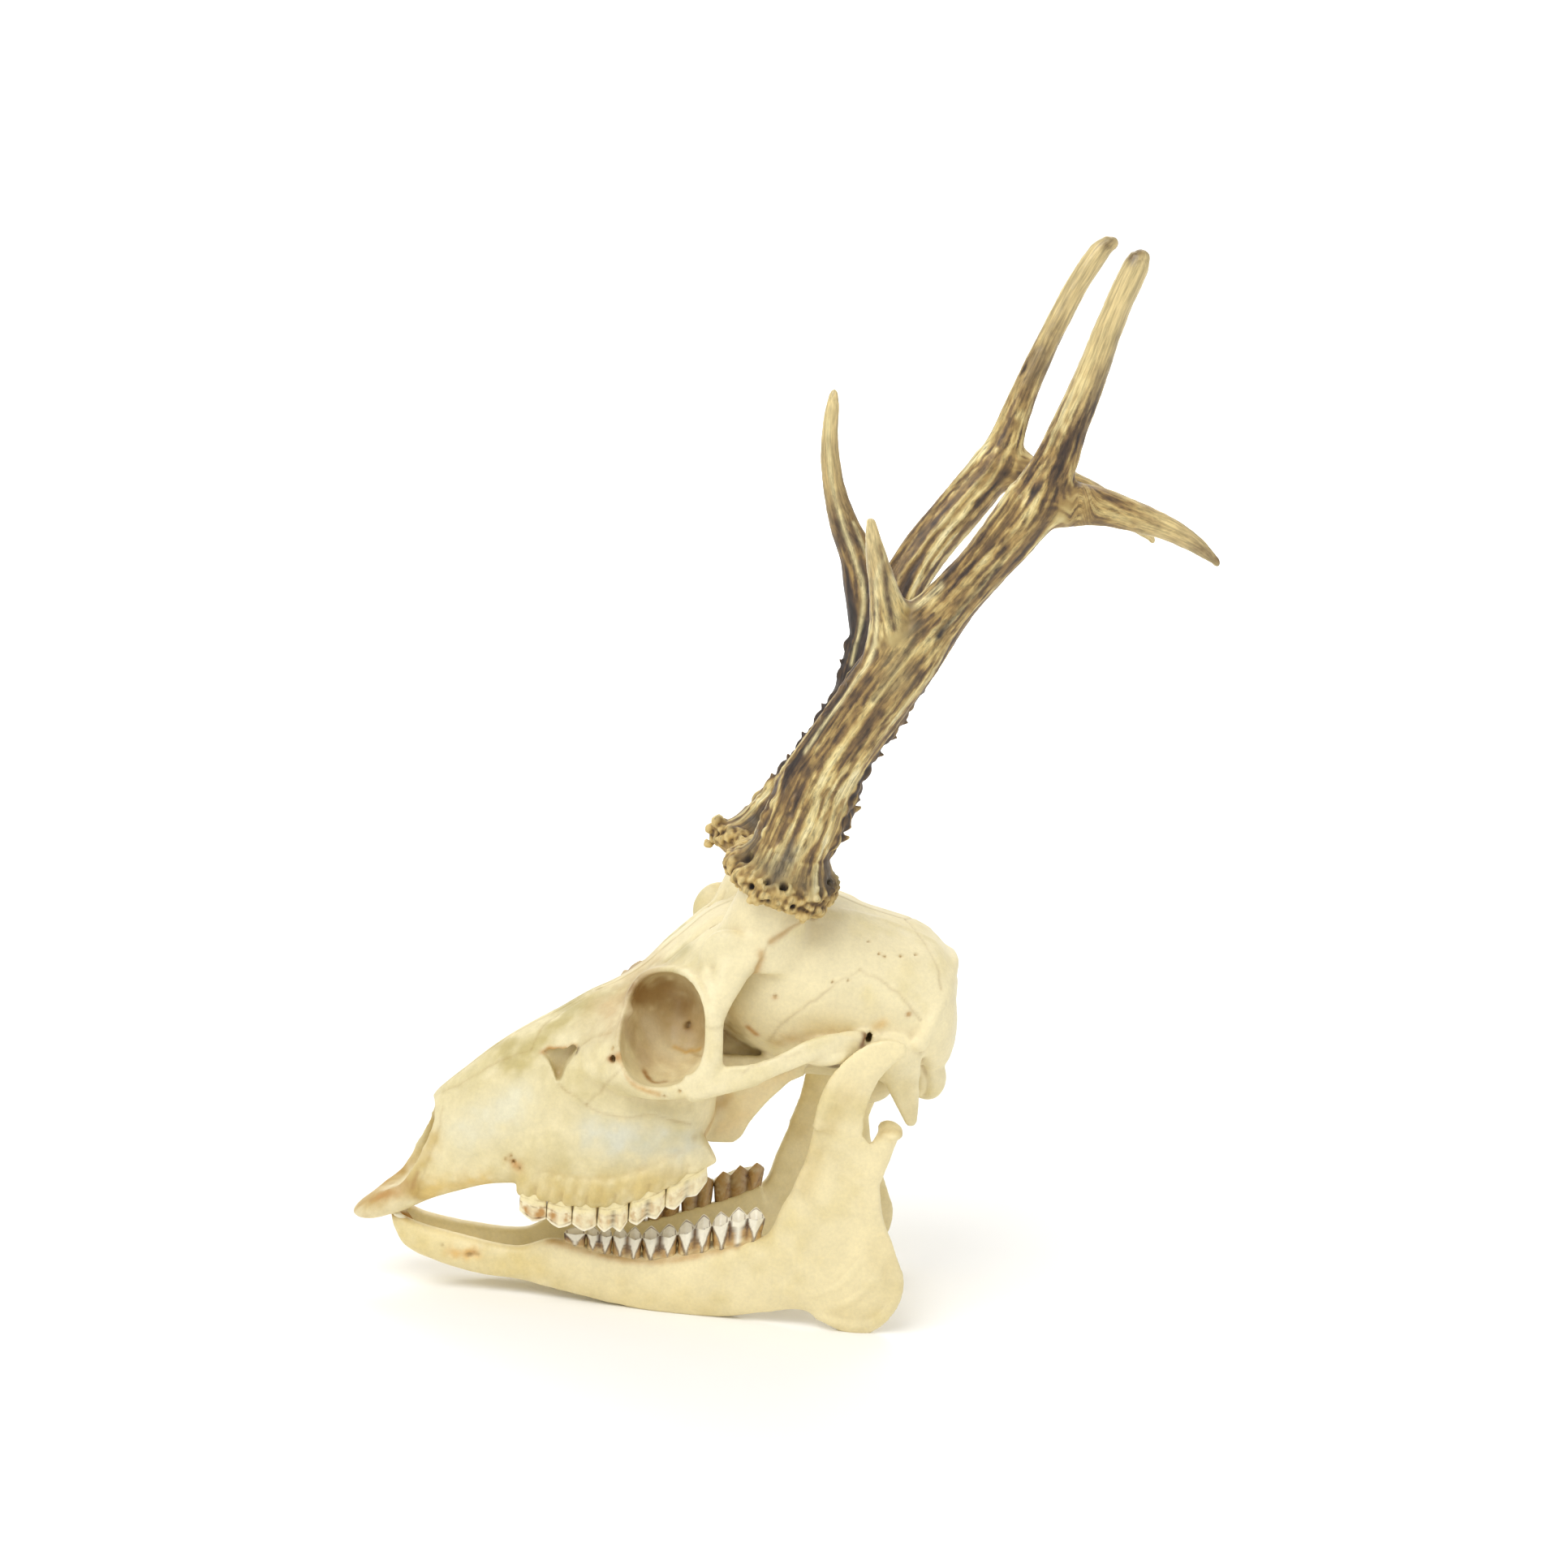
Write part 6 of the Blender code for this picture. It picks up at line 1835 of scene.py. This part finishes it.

# %% [markdown]
# ## Antlers: colour
#
# Furrows are dark and ridges tan, so the colour follows the relief that was just drawn, and deep places are darker
# still as painted shade. A band down one side of each beam is painted shade as well. The burr is ochre, darker
# between its grains, with pits painted near black as shade, and the tips are rubbed pale. Bright and dark marks
# that the photograph shows are laid over this.

# %% Paint the antlers
def toned(level, stops):
    """Colours for levels, from a table of levels and hex colours."""
    table = np.array([linear(h) for _, h in stops])
    return np.stack([np.interp(level, [s for s, _ in stops], table[:, c]) for c in range(3)], 1)


ANTLER_TONES = [
    (-0.5, "21160D"), (-0.1, "36261A"), (0.15, "5A442A"), (0.36, "7A5F36"), (0.54, "9F824A"), (0.72, "C0A86B"),
    (0.95, "D6C48A"), (1.3, "E2D5A6"),
]
BURR_TONES = [(-0.4, "1A1009"), (0, "35240F"), (0.3, "6F542C"), (0.5, "9A7C44"), (0.75, "BC9F60"), (1.1, "D0B87C")]


def paint_antler(made, side, relief, crest, tipness, over_burr, turned, flecks):
    points, normals = skin_of(made)
    depth = depth_below(made, 8)
    wide_depth = depth_below(made, 60)
    blotch = lattice_noise(points * (1, 1, 0.6), 11, 5) + 0.6 * lattice_noise(points, 5, 6)
    mottle = 0.6 * lattice_noise(points, 1.9, 7) + 0.4 * lattice_noise(points, 0.95, 8)
    # the colour follows the relief, and places that lie deep, near and wide, are darker as painted shade
    level = 0.53 + 0.50 * relief - 0.60 * depth - 0.12 * wide_depth + 0.20 * blotch + 0.10 * mottle
    level -= 0.95 * np.clip(flecks - 0.10 + 0.30 * blotch, 0, 0.38) - 0.30 * np.clip(-flecks - 0.1, 0, 0.6)
    low = unit((over_burr - 12) / 22) * unit((118 - over_burr) / 40)
    # painted shade on the lower beam: a band down the front and inner side of the left beam, fainter at its rear, and
    # on the right beam the faces that turn to the front and to the left; crests stay paler in it
    if side == LEFT:
        shaded_side = bell(turned, -38, 42) + bell(turned, 178, 24) * 0.5
    else:
        shaded_side = unit(0.25 - normals[:, 1] * 0.9 - normals[:, 0] * 0.7) * 1.15
    level -= 0.62 * unit(shaded_side) * low
    level += crest * (0.22 + 0.55 * unit(shaded_side) * low)
    pale = unit(tipness * 1.5 - 0.22 + 0.35 * relief + 0.10 * blotch - 0.5 * unit(flecks))
    burr = unit((4.5 - over_burr + 1.2 * blotch) / 4)
    flare = unit((12 - over_burr) / 6) * (1 - burr)
    grey = ("6F6142", flare * np.clip(0.42 + 0.5 * blotch, 0, 0.9))
    colours = mixed(toned(level, ANTLER_TONES), ("D6C28C", pale * 0.8), grey)
    # the burr is darker between its grains, as painted shade
    knob = 0.58 - depth * 1.9 - 0.08 * wide_depth + 0.12 * mottle + 0.12 * blotch
    colours = colours * (1 - burr[:, None]) + toned(knob, BURR_TONES) * burr[:, None]
    # each pit of the burr is painted near black, as shade deep inside it
    for angle, radius, height, wide, _ in BURR_PITS[side]:
        place = [tuple(burr_place(side, angle, radius - 0.8, height))]
        colours = mixed(colours, ("1C120A", falloff(points, place, wide * 1.15)))
    onto = laid_on(made)
    rag = 1 + 0.5 * mottle + 0.3 * blotch
    for hex_colour, strength, wide, path in ANTLER_MARKS[side]:
        colours = mixed(colours, (hex_colour, strength * falloff(points, onto(path), wide) * rag))
    keep_paint(made, colours, np.clip(depth * 1.6, -1, 1), pale)


ANTLER_MARKS = {
    # colour, strength, width, path
    LEFT: [
        ("DCCD98", 0.9, 0.9, [(22.5, -41, 262), (22.8, -40, 250), (22.8, -38.6, 238), (22.2, -37, 228),
            (19.6, -34, 218.5), (15.4, -32.5, 210.5), (9.4, -31, 201.5), (4.6, -30.4, 192.5)]),
        ("DFD09C", 0.85, 1.5, [(27.5, -40, 252), (29.6, -38.5, 246.6), (33.3, -37.6, 244.4), (37.6, -38, 245.4),
            (42, -39, 249.5)]),
        ("B9A46C", 0.55, 4.5, [(31, -39, 236), (32, -38.5, 228), (30, -38, 219)]),
        ("5E4426", 0.75, 0.9, [(23.4, -44.5, 262), (24.8, -43, 252), (26.8, -41.6, 243), (29, -40.5, 235)]),
        ("5E4828", 0.85, 2.6, [(95.2, -48, 354.5), (96.2, -48, 358.5)]),
        ("6E5430", 0.7, 2.6, [(121, -41.8, 267.4), (128.8, -41, 262)]),
        ("2A1E14", 0.95, 1.5, [(43.2, -41.5, 234), (44.4, -41.5, 236.4)]),
        ("3A2A1B", 0.75, 1.1, [(45, -42, 237), (52, -44.5, 247), (60, -47, 258)]),
        ("3E2D1C", 0.7, 0.8, [(24, -38.5, 212), (31, -40.5, 224.5), (37.5, -42, 236)]),
        ("4A3622", 0.6, 1, [(24.6, -42, 256), (25.6, -40.5, 247), (27.4, -39.6, 240)]),
        ("8B8064", 0.55, 3.2, [(-3, -40, 156), (0.5, -39, 162)]),
        ("5A4C34", 0.7, 1.6, [(-6, -40, 152), (-3, -39.4, 155), (1, -38, 160)]),
    ],
    RIGHT: [
        ("6B5634", 0.8, 2.4, [(98.5, 48, 351), (101, 48, 354)]),
        ("D8C993", 0.9, 0.8, [(9, 38, 290), (12, 36, 270), (17, 33, 255), (22, 30, 243), (24.5, 26, 232),
            (22.5, 23, 222), (20.5, 21, 212)]),
        ("CFC08C", 0.8, 0.7, [(19, 36, 256), (24.6, 32, 244), (28.5, 27, 232), (28, 24, 222)]),
    ],
}


for side, made in antlers.items():
    paint_antler(made, side, *found[side])
print("marks on each antler:", [len(marks) for marks in ANTLER_MARKS.values()])

# %% [markdown]
# ## Parting the antlers
#
# Each antler is parted above the burr and above each fork, as the construction is. A cut's block is square to its
# branch and reaches only round that branch.

# %% Part the antlers
def end_block(a, b, wide, long):
    """A block that starts at b, square to the line from a to b."""
    along = (Vector(b) - Vector(a)).normalized()
    form = slab((0, 0, long / 2), (wide, wide, long))
    form.transform(Matrix.Translation(b) @ along.to_track_quat("Z", "Y").to_matrix().to_4x4())
    return form


def part_antler(whole, side):
    name = f"antler_{SIDE_NAMES[side]}"
    paths = {branch: [Vector((x, y * side, z)) for x, y, z, _ in rows] for branch, rows in ANTLERS[side].items()}
    base, up, _, _ = burr_frame(side)
    finish = finish_of(whole)
    reach = {"front": (26, 90), "top": (60, 120), "rear": (30, 90)}
    for branch, (wide, long) in reach.items():
        block = end_block(paths[branch][0], paths[branch][2], wide, long)
        pieces[f"{name}_{branch}_tine"] = taken_out(f"{name}_{branch}_tine", whole, block)
    foot = base + up * (BURR_HEIGHT / 2 + 1)
    pieces[f"{name}_burr"] = taken_out(f"{name}_burr", whole, end_block(foot + up, foot, 80, 80))
    pieces[f"{name}_beam"] = whole
    for part in ("burr", "beam", "front_tine", "rear_tine", "top_tine"):
        refinished(pieces[f"{name}_{part}"], finish)


for side, made in antlers.items():
    part_antler(made, side)
for name in sorted(pieces):
    if name.startswith("antler"):
        print(name, "points:", len(pieces[name].data.vertices))

# %% [markdown]
# ## Shading the pieces
#
# All faces are shaded smooth, and only edges that are sharper than a set angle stay sharp, such as those of the flat
# faces where a piece was parted.

# %% Smooth shading
SHARP_EDGE = math.radians(50)
for name, piece in pieces.items():
    piece.name = f"{name}_bone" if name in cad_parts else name
    only(piece)
    bpy.ops.object.shade_smooth_by_angle(angle=SHARP_EDGE)
print("pieces shaded smooth:", len(pieces))

# %% [markdown]
# ## Materials
#
# Five finishes are needed. Dry bone is matt and chalky with a faint waxy gloss where fat remained, and the jaw's is
# slightly smoother. Tooth enamel is harder and glossier. Antler is coarse and matt in its furrows and polished by
# wear on its tips, and the burr is rougher. Each reads the painted colour, and adds finer detail than a skin holds.

# %% Material tools
BONE_IOR = 1.55


def add_node(tree, kind, settings=None, **inputs):
    """A node with its settings, and with numbers or other nodes' outputs in its inputs."""
    node = tree.nodes.new(kind)
    for key, value in (settings or {}).items():
        setattr(node, key, value)
    for key, value in inputs.items():
        socket = node.inputs[int(key[1:])] if key[0] == "_" else node.inputs[key]
        if isinstance(value, bpy.types.NodeSocket):
            tree.links.new(value, socket)
        else:
            socket.default_value = value
    return node


def fresh_material(name):
    material = bpy.data.materials.new(name)
    material.use_nodes = True
    tree = material.node_tree
    tree.nodes.clear()
    shader = tree.nodes.new("ShaderNodeBsdfPrincipled")
    out = tree.nodes.new("ShaderNodeOutputMaterial")
    tree.links.new(shader.outputs["BSDF"], out.inputs["Surface"])
    return material, tree, shader


def stored(tree, name, output="Fac"):
    """What the points of a piece keep under a name."""
    return add_node(tree, "ShaderNodeAttribute", {"attribute_name": name}).outputs[output]


def noise(tree, place, scale, detail, roughness=0.5):
    texture = add_node(tree, "ShaderNodeTexNoise", Vector=place, Scale=scale, Detail=detail, Roughness=roughness)
    return texture.outputs["Fac"]


def ranged(tree, value, low, high, to_low, to_high):
    """The value, stretched from the range low to high onto the range to_low to to_high."""
    stretch = add_node(tree, "ShaderNodeMapRange", Value=value, _1=low, _2=high, _3=to_low, _4=to_high)
    return stretch.outputs["Result"]


def calculated(tree, operation, *values, clamp=False):
    settings = {"operation": operation, "use_clamp": clamp}
    return add_node(tree, "ShaderNodeMath", settings, **{f"_{i}": value for i, value in enumerate(values)}).outputs[0]


def scaled(tree, colour, tone):
    return add_node(tree, "ShaderNodeVectorMath", {"operation": "SCALE"}, _0=colour, Scale=tone).outputs[0]


def blended(tree, share, colour, other):
    return add_node(tree, "ShaderNodeMix", {"data_type": "RGBA"}, _0=share, _6=colour, _7=other).outputs[2]


def dressed(tree, shader, colour, roughness, relief, strength, depth):
    """Gives a shader its colour and roughness, and bumps from a relief whose depth is in millimetres."""
    bump = add_node(tree, "ShaderNodeBump", Height=relief, Strength=strength, Distance=depth * MM).outputs["Normal"]
    for name, value in (("Base Color", colour), ("Roughness", roughness), ("Normal", bump)):
        tree.links.new(value, shader.inputs[name])
    shader.inputs["IOR"].default_value = BONE_IOR


print("index of refraction of bone:", BONE_IOR)

# %% [markdown]
# ## Dry bone
#
# Compact bone is ivory, with a pore every half millimetre or so, faint cloudy patches a few millimetres wide, and
# dust and painted shade in its hollows. The pores are drawn a little coarser than they are, so that they show.

# %% Bone, jaw bone and enamel materials
def bone_material(name, shade_and_dust, rough, pore, waxy):
    material, tree, shader = fresh_material(name)
    place = add_node(tree, "ShaderNodeTexCoord").outputs["Object"]
    clouds = noise(tree, place, 140, 5, 0.62)
    specks = noise(tree, place, 900, 3, 0.6)
    cloud_tone, speck_tone = (ranged(tree, value, 0.3, 0.7, 0.95, 1.04) for value in (clouds, specks))
    clean = scaled(tree, stored(tree, "stain", "Color"), calculated(tree, "MULTIPLY", cloud_tone, speck_tone))
    near = ranged(tree, stored(tree, "hollow"), 0.05, 0.75, 0, 0.75)
    wide = ranged(tree, stored(tree, "deep"), 0.15, 1, 0, 0.45)
    broken = ranged(tree, clouds, 0.25, 0.7, 0.35, 1.2)
    # painted shade and dust: near and wide hollows darken towards the hollow colour, broken up by the clouds
    darkening = calculated(tree, "MULTIPLY", calculated(tree, "MAXIMUM", near, wide), broken, clamp=True)
    colour = blended(tree, darkening, clean, (*linear(shade_and_dust), 1))
    gloss = ranged(tree, clouds, 0.3, 0.7, rough - waxy, rough + waxy)
    pores = add_node(tree, "ShaderNodeTexVoronoi", Vector=place, Scale=1 / (0.9 * MM)).outputs["Distance"]
    pits, fine = ranged(tree, pores, 0, 0.3, 0, 1), noise(tree, place, 420, 6, 0.65)
    dressed(tree, shader, colour, gloss, calculated(tree, "MULTIPLY_ADD", pits, pore, fine), 0.35, 0.25)
    return material


dry_bone = bone_material("dry_bone", "A07E48", 0.50, 0.35, 0.08)
jaw_bone = bone_material("jaw_bone", "9A763E", 0.48, 0.3, 0.08)
enamel = bone_material("tooth_enamel", "5A3E1E", 0.3, 0, 0.06)
print("materials so far:", len(bpy.data.materials))

# %% [markdown]
# ## Antler
#
# Fine fibres run along each branch, so their pattern reads the straightened coordinates, squeezed along the branch:
# streaks half a millimetre wide and a centimetre long. Tips were polished on bark and are glossier. The pattern fades
# where the coordinates of two branches meet.

# %% Antler and burr materials
def antler_material(name, streak, rough, polished):
    material, tree, shader = fresh_material(name)
    grain, worn, between = stored(tree, "grain", "Vector"), stored(tree, "deep"), stored(tree, "between")

    def fibrous(squeeze, scale, roughness):
        squeezed = add_node(tree, "ShaderNodeVectorMath", {"operation": "MULTIPLY"}, _0=grain, _1=(1, 1, squeeze))
        return noise(tree, squeezed.outputs[0], scale, 4, roughness)

    def faded(value, to):
        return ranged(tree, between, 0.05, 0.6, value, to)

    fibres, specks = fibrous(0.06, 1500, 0.6), fibrous(0.28, 900, 0.66)
    fibre_tone = ranged(tree, fibres, 0.36, 0.64, 1 - streak, 1 + streak)
    speck_tone = ranged(tree, worn, 0.1, 0.8, ranged(tree, specks, 0.36, 0.50, 0.58, 1.04), 1)
    tone = faded(calculated(tree, "MULTIPLY", fibre_tone, speck_tone), 0.92)
    gloss = ranged(tree, worn, 0, 0.8, rough, polished)
    matt = ranged(tree, stored(tree, "hollow"), 0, 0.8, 0, 0.25)
    roughness = calculated(tree, "ADD", gloss, matt, clamp=True)
    relief = faded(calculated(tree, "MULTIPLY_ADD", fibres, 0.6, specks), 0.8)
    dressed(tree, shader, scaled(tree, stored(tree, "stain", "Color"), tone), roughness, relief, 0.45, 0.3)
    return material


antler_bone = antler_material("antler_bone", 0.28, 0.52, 0.34)
burr_bone = antler_material("burr_bone", 0.10, 0.68, 0.5)
print("materials so far:", len(bpy.data.materials))

# %% [markdown]
# ## A finish for every piece
#
# What a piece's name holds decides its material, and the slot that the material stands for. A table
# is easier to check than a line for each of 26 pieces.

# %% Finishes
FINISHES = {
    # part of the piece's name: material, slot
    "burr": (burr_bone, "antler_burr"),
    "beam": (antler_bone, "antler_beam"),
    "antler": (antler_bone, "antler_tine"),
    "mandible": (jaw_bone, "jaw_bone"),
    "teeth_lower": (enamel, "jaw_bone"),
    "front_teeth": (enamel, "jaw_bone"),
    "teeth_upper": (enamel, "skull_bone"),
    "": (dry_bone, "skull_bone"),
}
slots = {}
for name, piece in pieces.items():
    material, slots[name] = next(finish for part, finish in FINISHES.items() if part in name)
    piece.data.materials.clear()
    piece.data.materials.append(material)
print("pieces with a material:", len(slots))

# %% [markdown]
# ## Riding on the construction
#
# The skull has no joint, so every piece rides on the one body, and each bone stands for the solid with its name.

# %% Tie the pieces to the construction
for name, piece in pieces.items():
    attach(piece, "root")
    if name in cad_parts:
        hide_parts(name)
left_over = [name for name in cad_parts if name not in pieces]
print("solids without a piece:", left_over)

# %% [markdown]
# ## Floor
#
# The skull stands on a pale sweep, as paper hangs in a studio: a plane whose far edge is extruded up in a curve, so
# that it rises behind the skull without an edge.

# %% Floor
bpy.ops.object.select_all(action="DESELECT")
bpy.ops.mesh.primitive_plane_add(size=6, location=(0, -0.6, 0))
floor = bpy.context.active_object
floor.name = "floor"
bpy.ops.object.mode_set(mode="EDIT")
bpy.ops.mesh.select_all(action="DESELECT")
bpy.ops.mesh.select_mode(type="EDGE")
sheet = bmesh.from_edit_mesh(floor.data)
for edge in sheet.edges:
    edge.select = all(v.co.y > 2.9 for v in edge.verts)
sheet.select_flush(True)
bmesh.update_edit_mesh(floor.data)
rises = [(0, 0.25 * math.cos(a), 0.25 * math.sin(a)) for a in (math.radians(11.25 * k + 5.6) for k in range(8))]
for rise in [*rises, (0, 0, 3)]:
    bpy.ops.mesh.extrude_region_move(TRANSFORM_OT_translate={"value": rise})
bpy.ops.object.mode_set(mode="OBJECT")
bpy.ops.object.transform_apply(location=True, rotation=True, scale=True)
bpy.ops.object.shade_smooth()
floor_material, floor_tree, floor_shader = fresh_material("pale_floor")
floor_place = add_node(floor_tree, "ShaderNodeTexCoord").outputs["Object"]
floor_tone = noise(floor_tree, floor_place, 3, 2)
floor_colour = blended(floor_tree, floor_tone, (*linear("F7F6F3"), 1), (*linear("FAFAF8"), 1))
floor_tree.links.new(floor_colour, floor_shader.inputs["Base Color"])
floor_shader.inputs["Roughness"].default_value = 0.9
floor.data.materials.append(floor_material)
floor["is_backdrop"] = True
print("floor polygons:", len(floor.data.polygons))

# %% [markdown]
# ## Light
#
# One large soft light stands in front at the upper left, as in the photograph, with a weaker one on the other side,
# another behind, and a bright even room. A fourth lamp lights only the sweep behind the skull, which makes it white.

# %% Light
def soft_light(name, side_angle, height_angle, distance, size, power):
    """A soft light aimed at the skull, placed by degrees round from the camera's side and up."""
    a, e = math.radians(side_angle), math.radians(height_angle)
    direction = Vector((math.sin(a) * math.cos(e), -math.cos(a) * math.cos(e), math.sin(e)))
    aim = direction.to_track_quat("Z", "Y").to_euler()
    place = Vector((0, 0, 0.16)) + direction * distance
    bpy.ops.object.light_add(type="AREA", location=place, rotation=aim)
    light = bpy.context.active_object
    light.name = name
    light.data.size = size
    light.data.energy = power
    return light


soft_light("key_light", -38, 52, 1.6, 1.1, 15.5)
soft_light("fill_light", 55, 25, 1.9, 1.4, 3.6)
soft_light("back_light", 160, 50, 1.8, 1, 4)
sweep_light = soft_light("sweep_light", 180, 38, 2.4, 1.8, 46)
sweep_light.rotation_euler = (math.radians(24), 0, 0)
world = bpy.data.worlds.new("room")
bpy.context.scene.world = world
world.use_nodes = True
world.node_tree.nodes["Background"].inputs["Color"].default_value = (1, 1, 1, 1)
world.node_tree.nodes["Background"].inputs["Strength"].default_value = 0.62
bpy.context.scene.view_settings.view_transform = "Standard"

# %% [markdown]
# ## Camera
#
# The camera is where the photograph was taken from: a little in front of square to the side, 12.5 degrees up, and
# 1.3 metres away.

# %% Camera
AROUND, UPWARDS, ROLL = (math.radians(degrees) for degrees in (-4, 12.5, -3.5))
DISTANCE = 1300
AIM = Vector((0, 0, 175))
SENSOR = 36
PHOTO_WIDTH, FOCAL_LENGTH = 1932, 4905.66  # in pixels
level = Vector((math.cos(AROUND), math.sin(AROUND), 0))
back = Vector((math.sin(AROUND) * math.cos(UPWARDS), -math.cos(AROUND) * math.cos(UPWARDS), math.sin(UPWARDS)))
above = back.cross(level)
right = level * math.cos(ROLL) - above * math.sin(ROLL)
up = level * math.sin(ROLL) + above * math.cos(ROLL)
stand = (AIM + back * DISTANCE - MIDDLE) * MM
turn = Matrix((right, up, back)).transposed().to_4x4()
bpy.ops.object.camera_add()
camera = bpy.context.active_object
camera.name = "camera"
camera.matrix_world = Matrix.Translation(stand) @ turn
camera.data.sensor_width = SENSOR
camera.data.lens = SENSOR * FOCAL_LENGTH / PHOTO_WIDTH
camera.data.clip_start, camera.data.clip_end = 0.05, 20
bpy.context.scene.camera = camera
print("camera height above the floor in mm:", round(stand.z * 1000))

# %% [markdown]
# ## Sizes
#
# The sizes of the construction's box and of the finished model's box are printed. The finished model has to
# stay within the construction's box.

visual_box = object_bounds()
sizes = {"cad": [list(corner) for corner in cad_box], "visual": [list(corner) for corner in visual_box]}
for which, (low, high) in sizes.items():
    print(which, [round((b - a) * 1000, 1) for a, b in zip(low, high)], "mm")
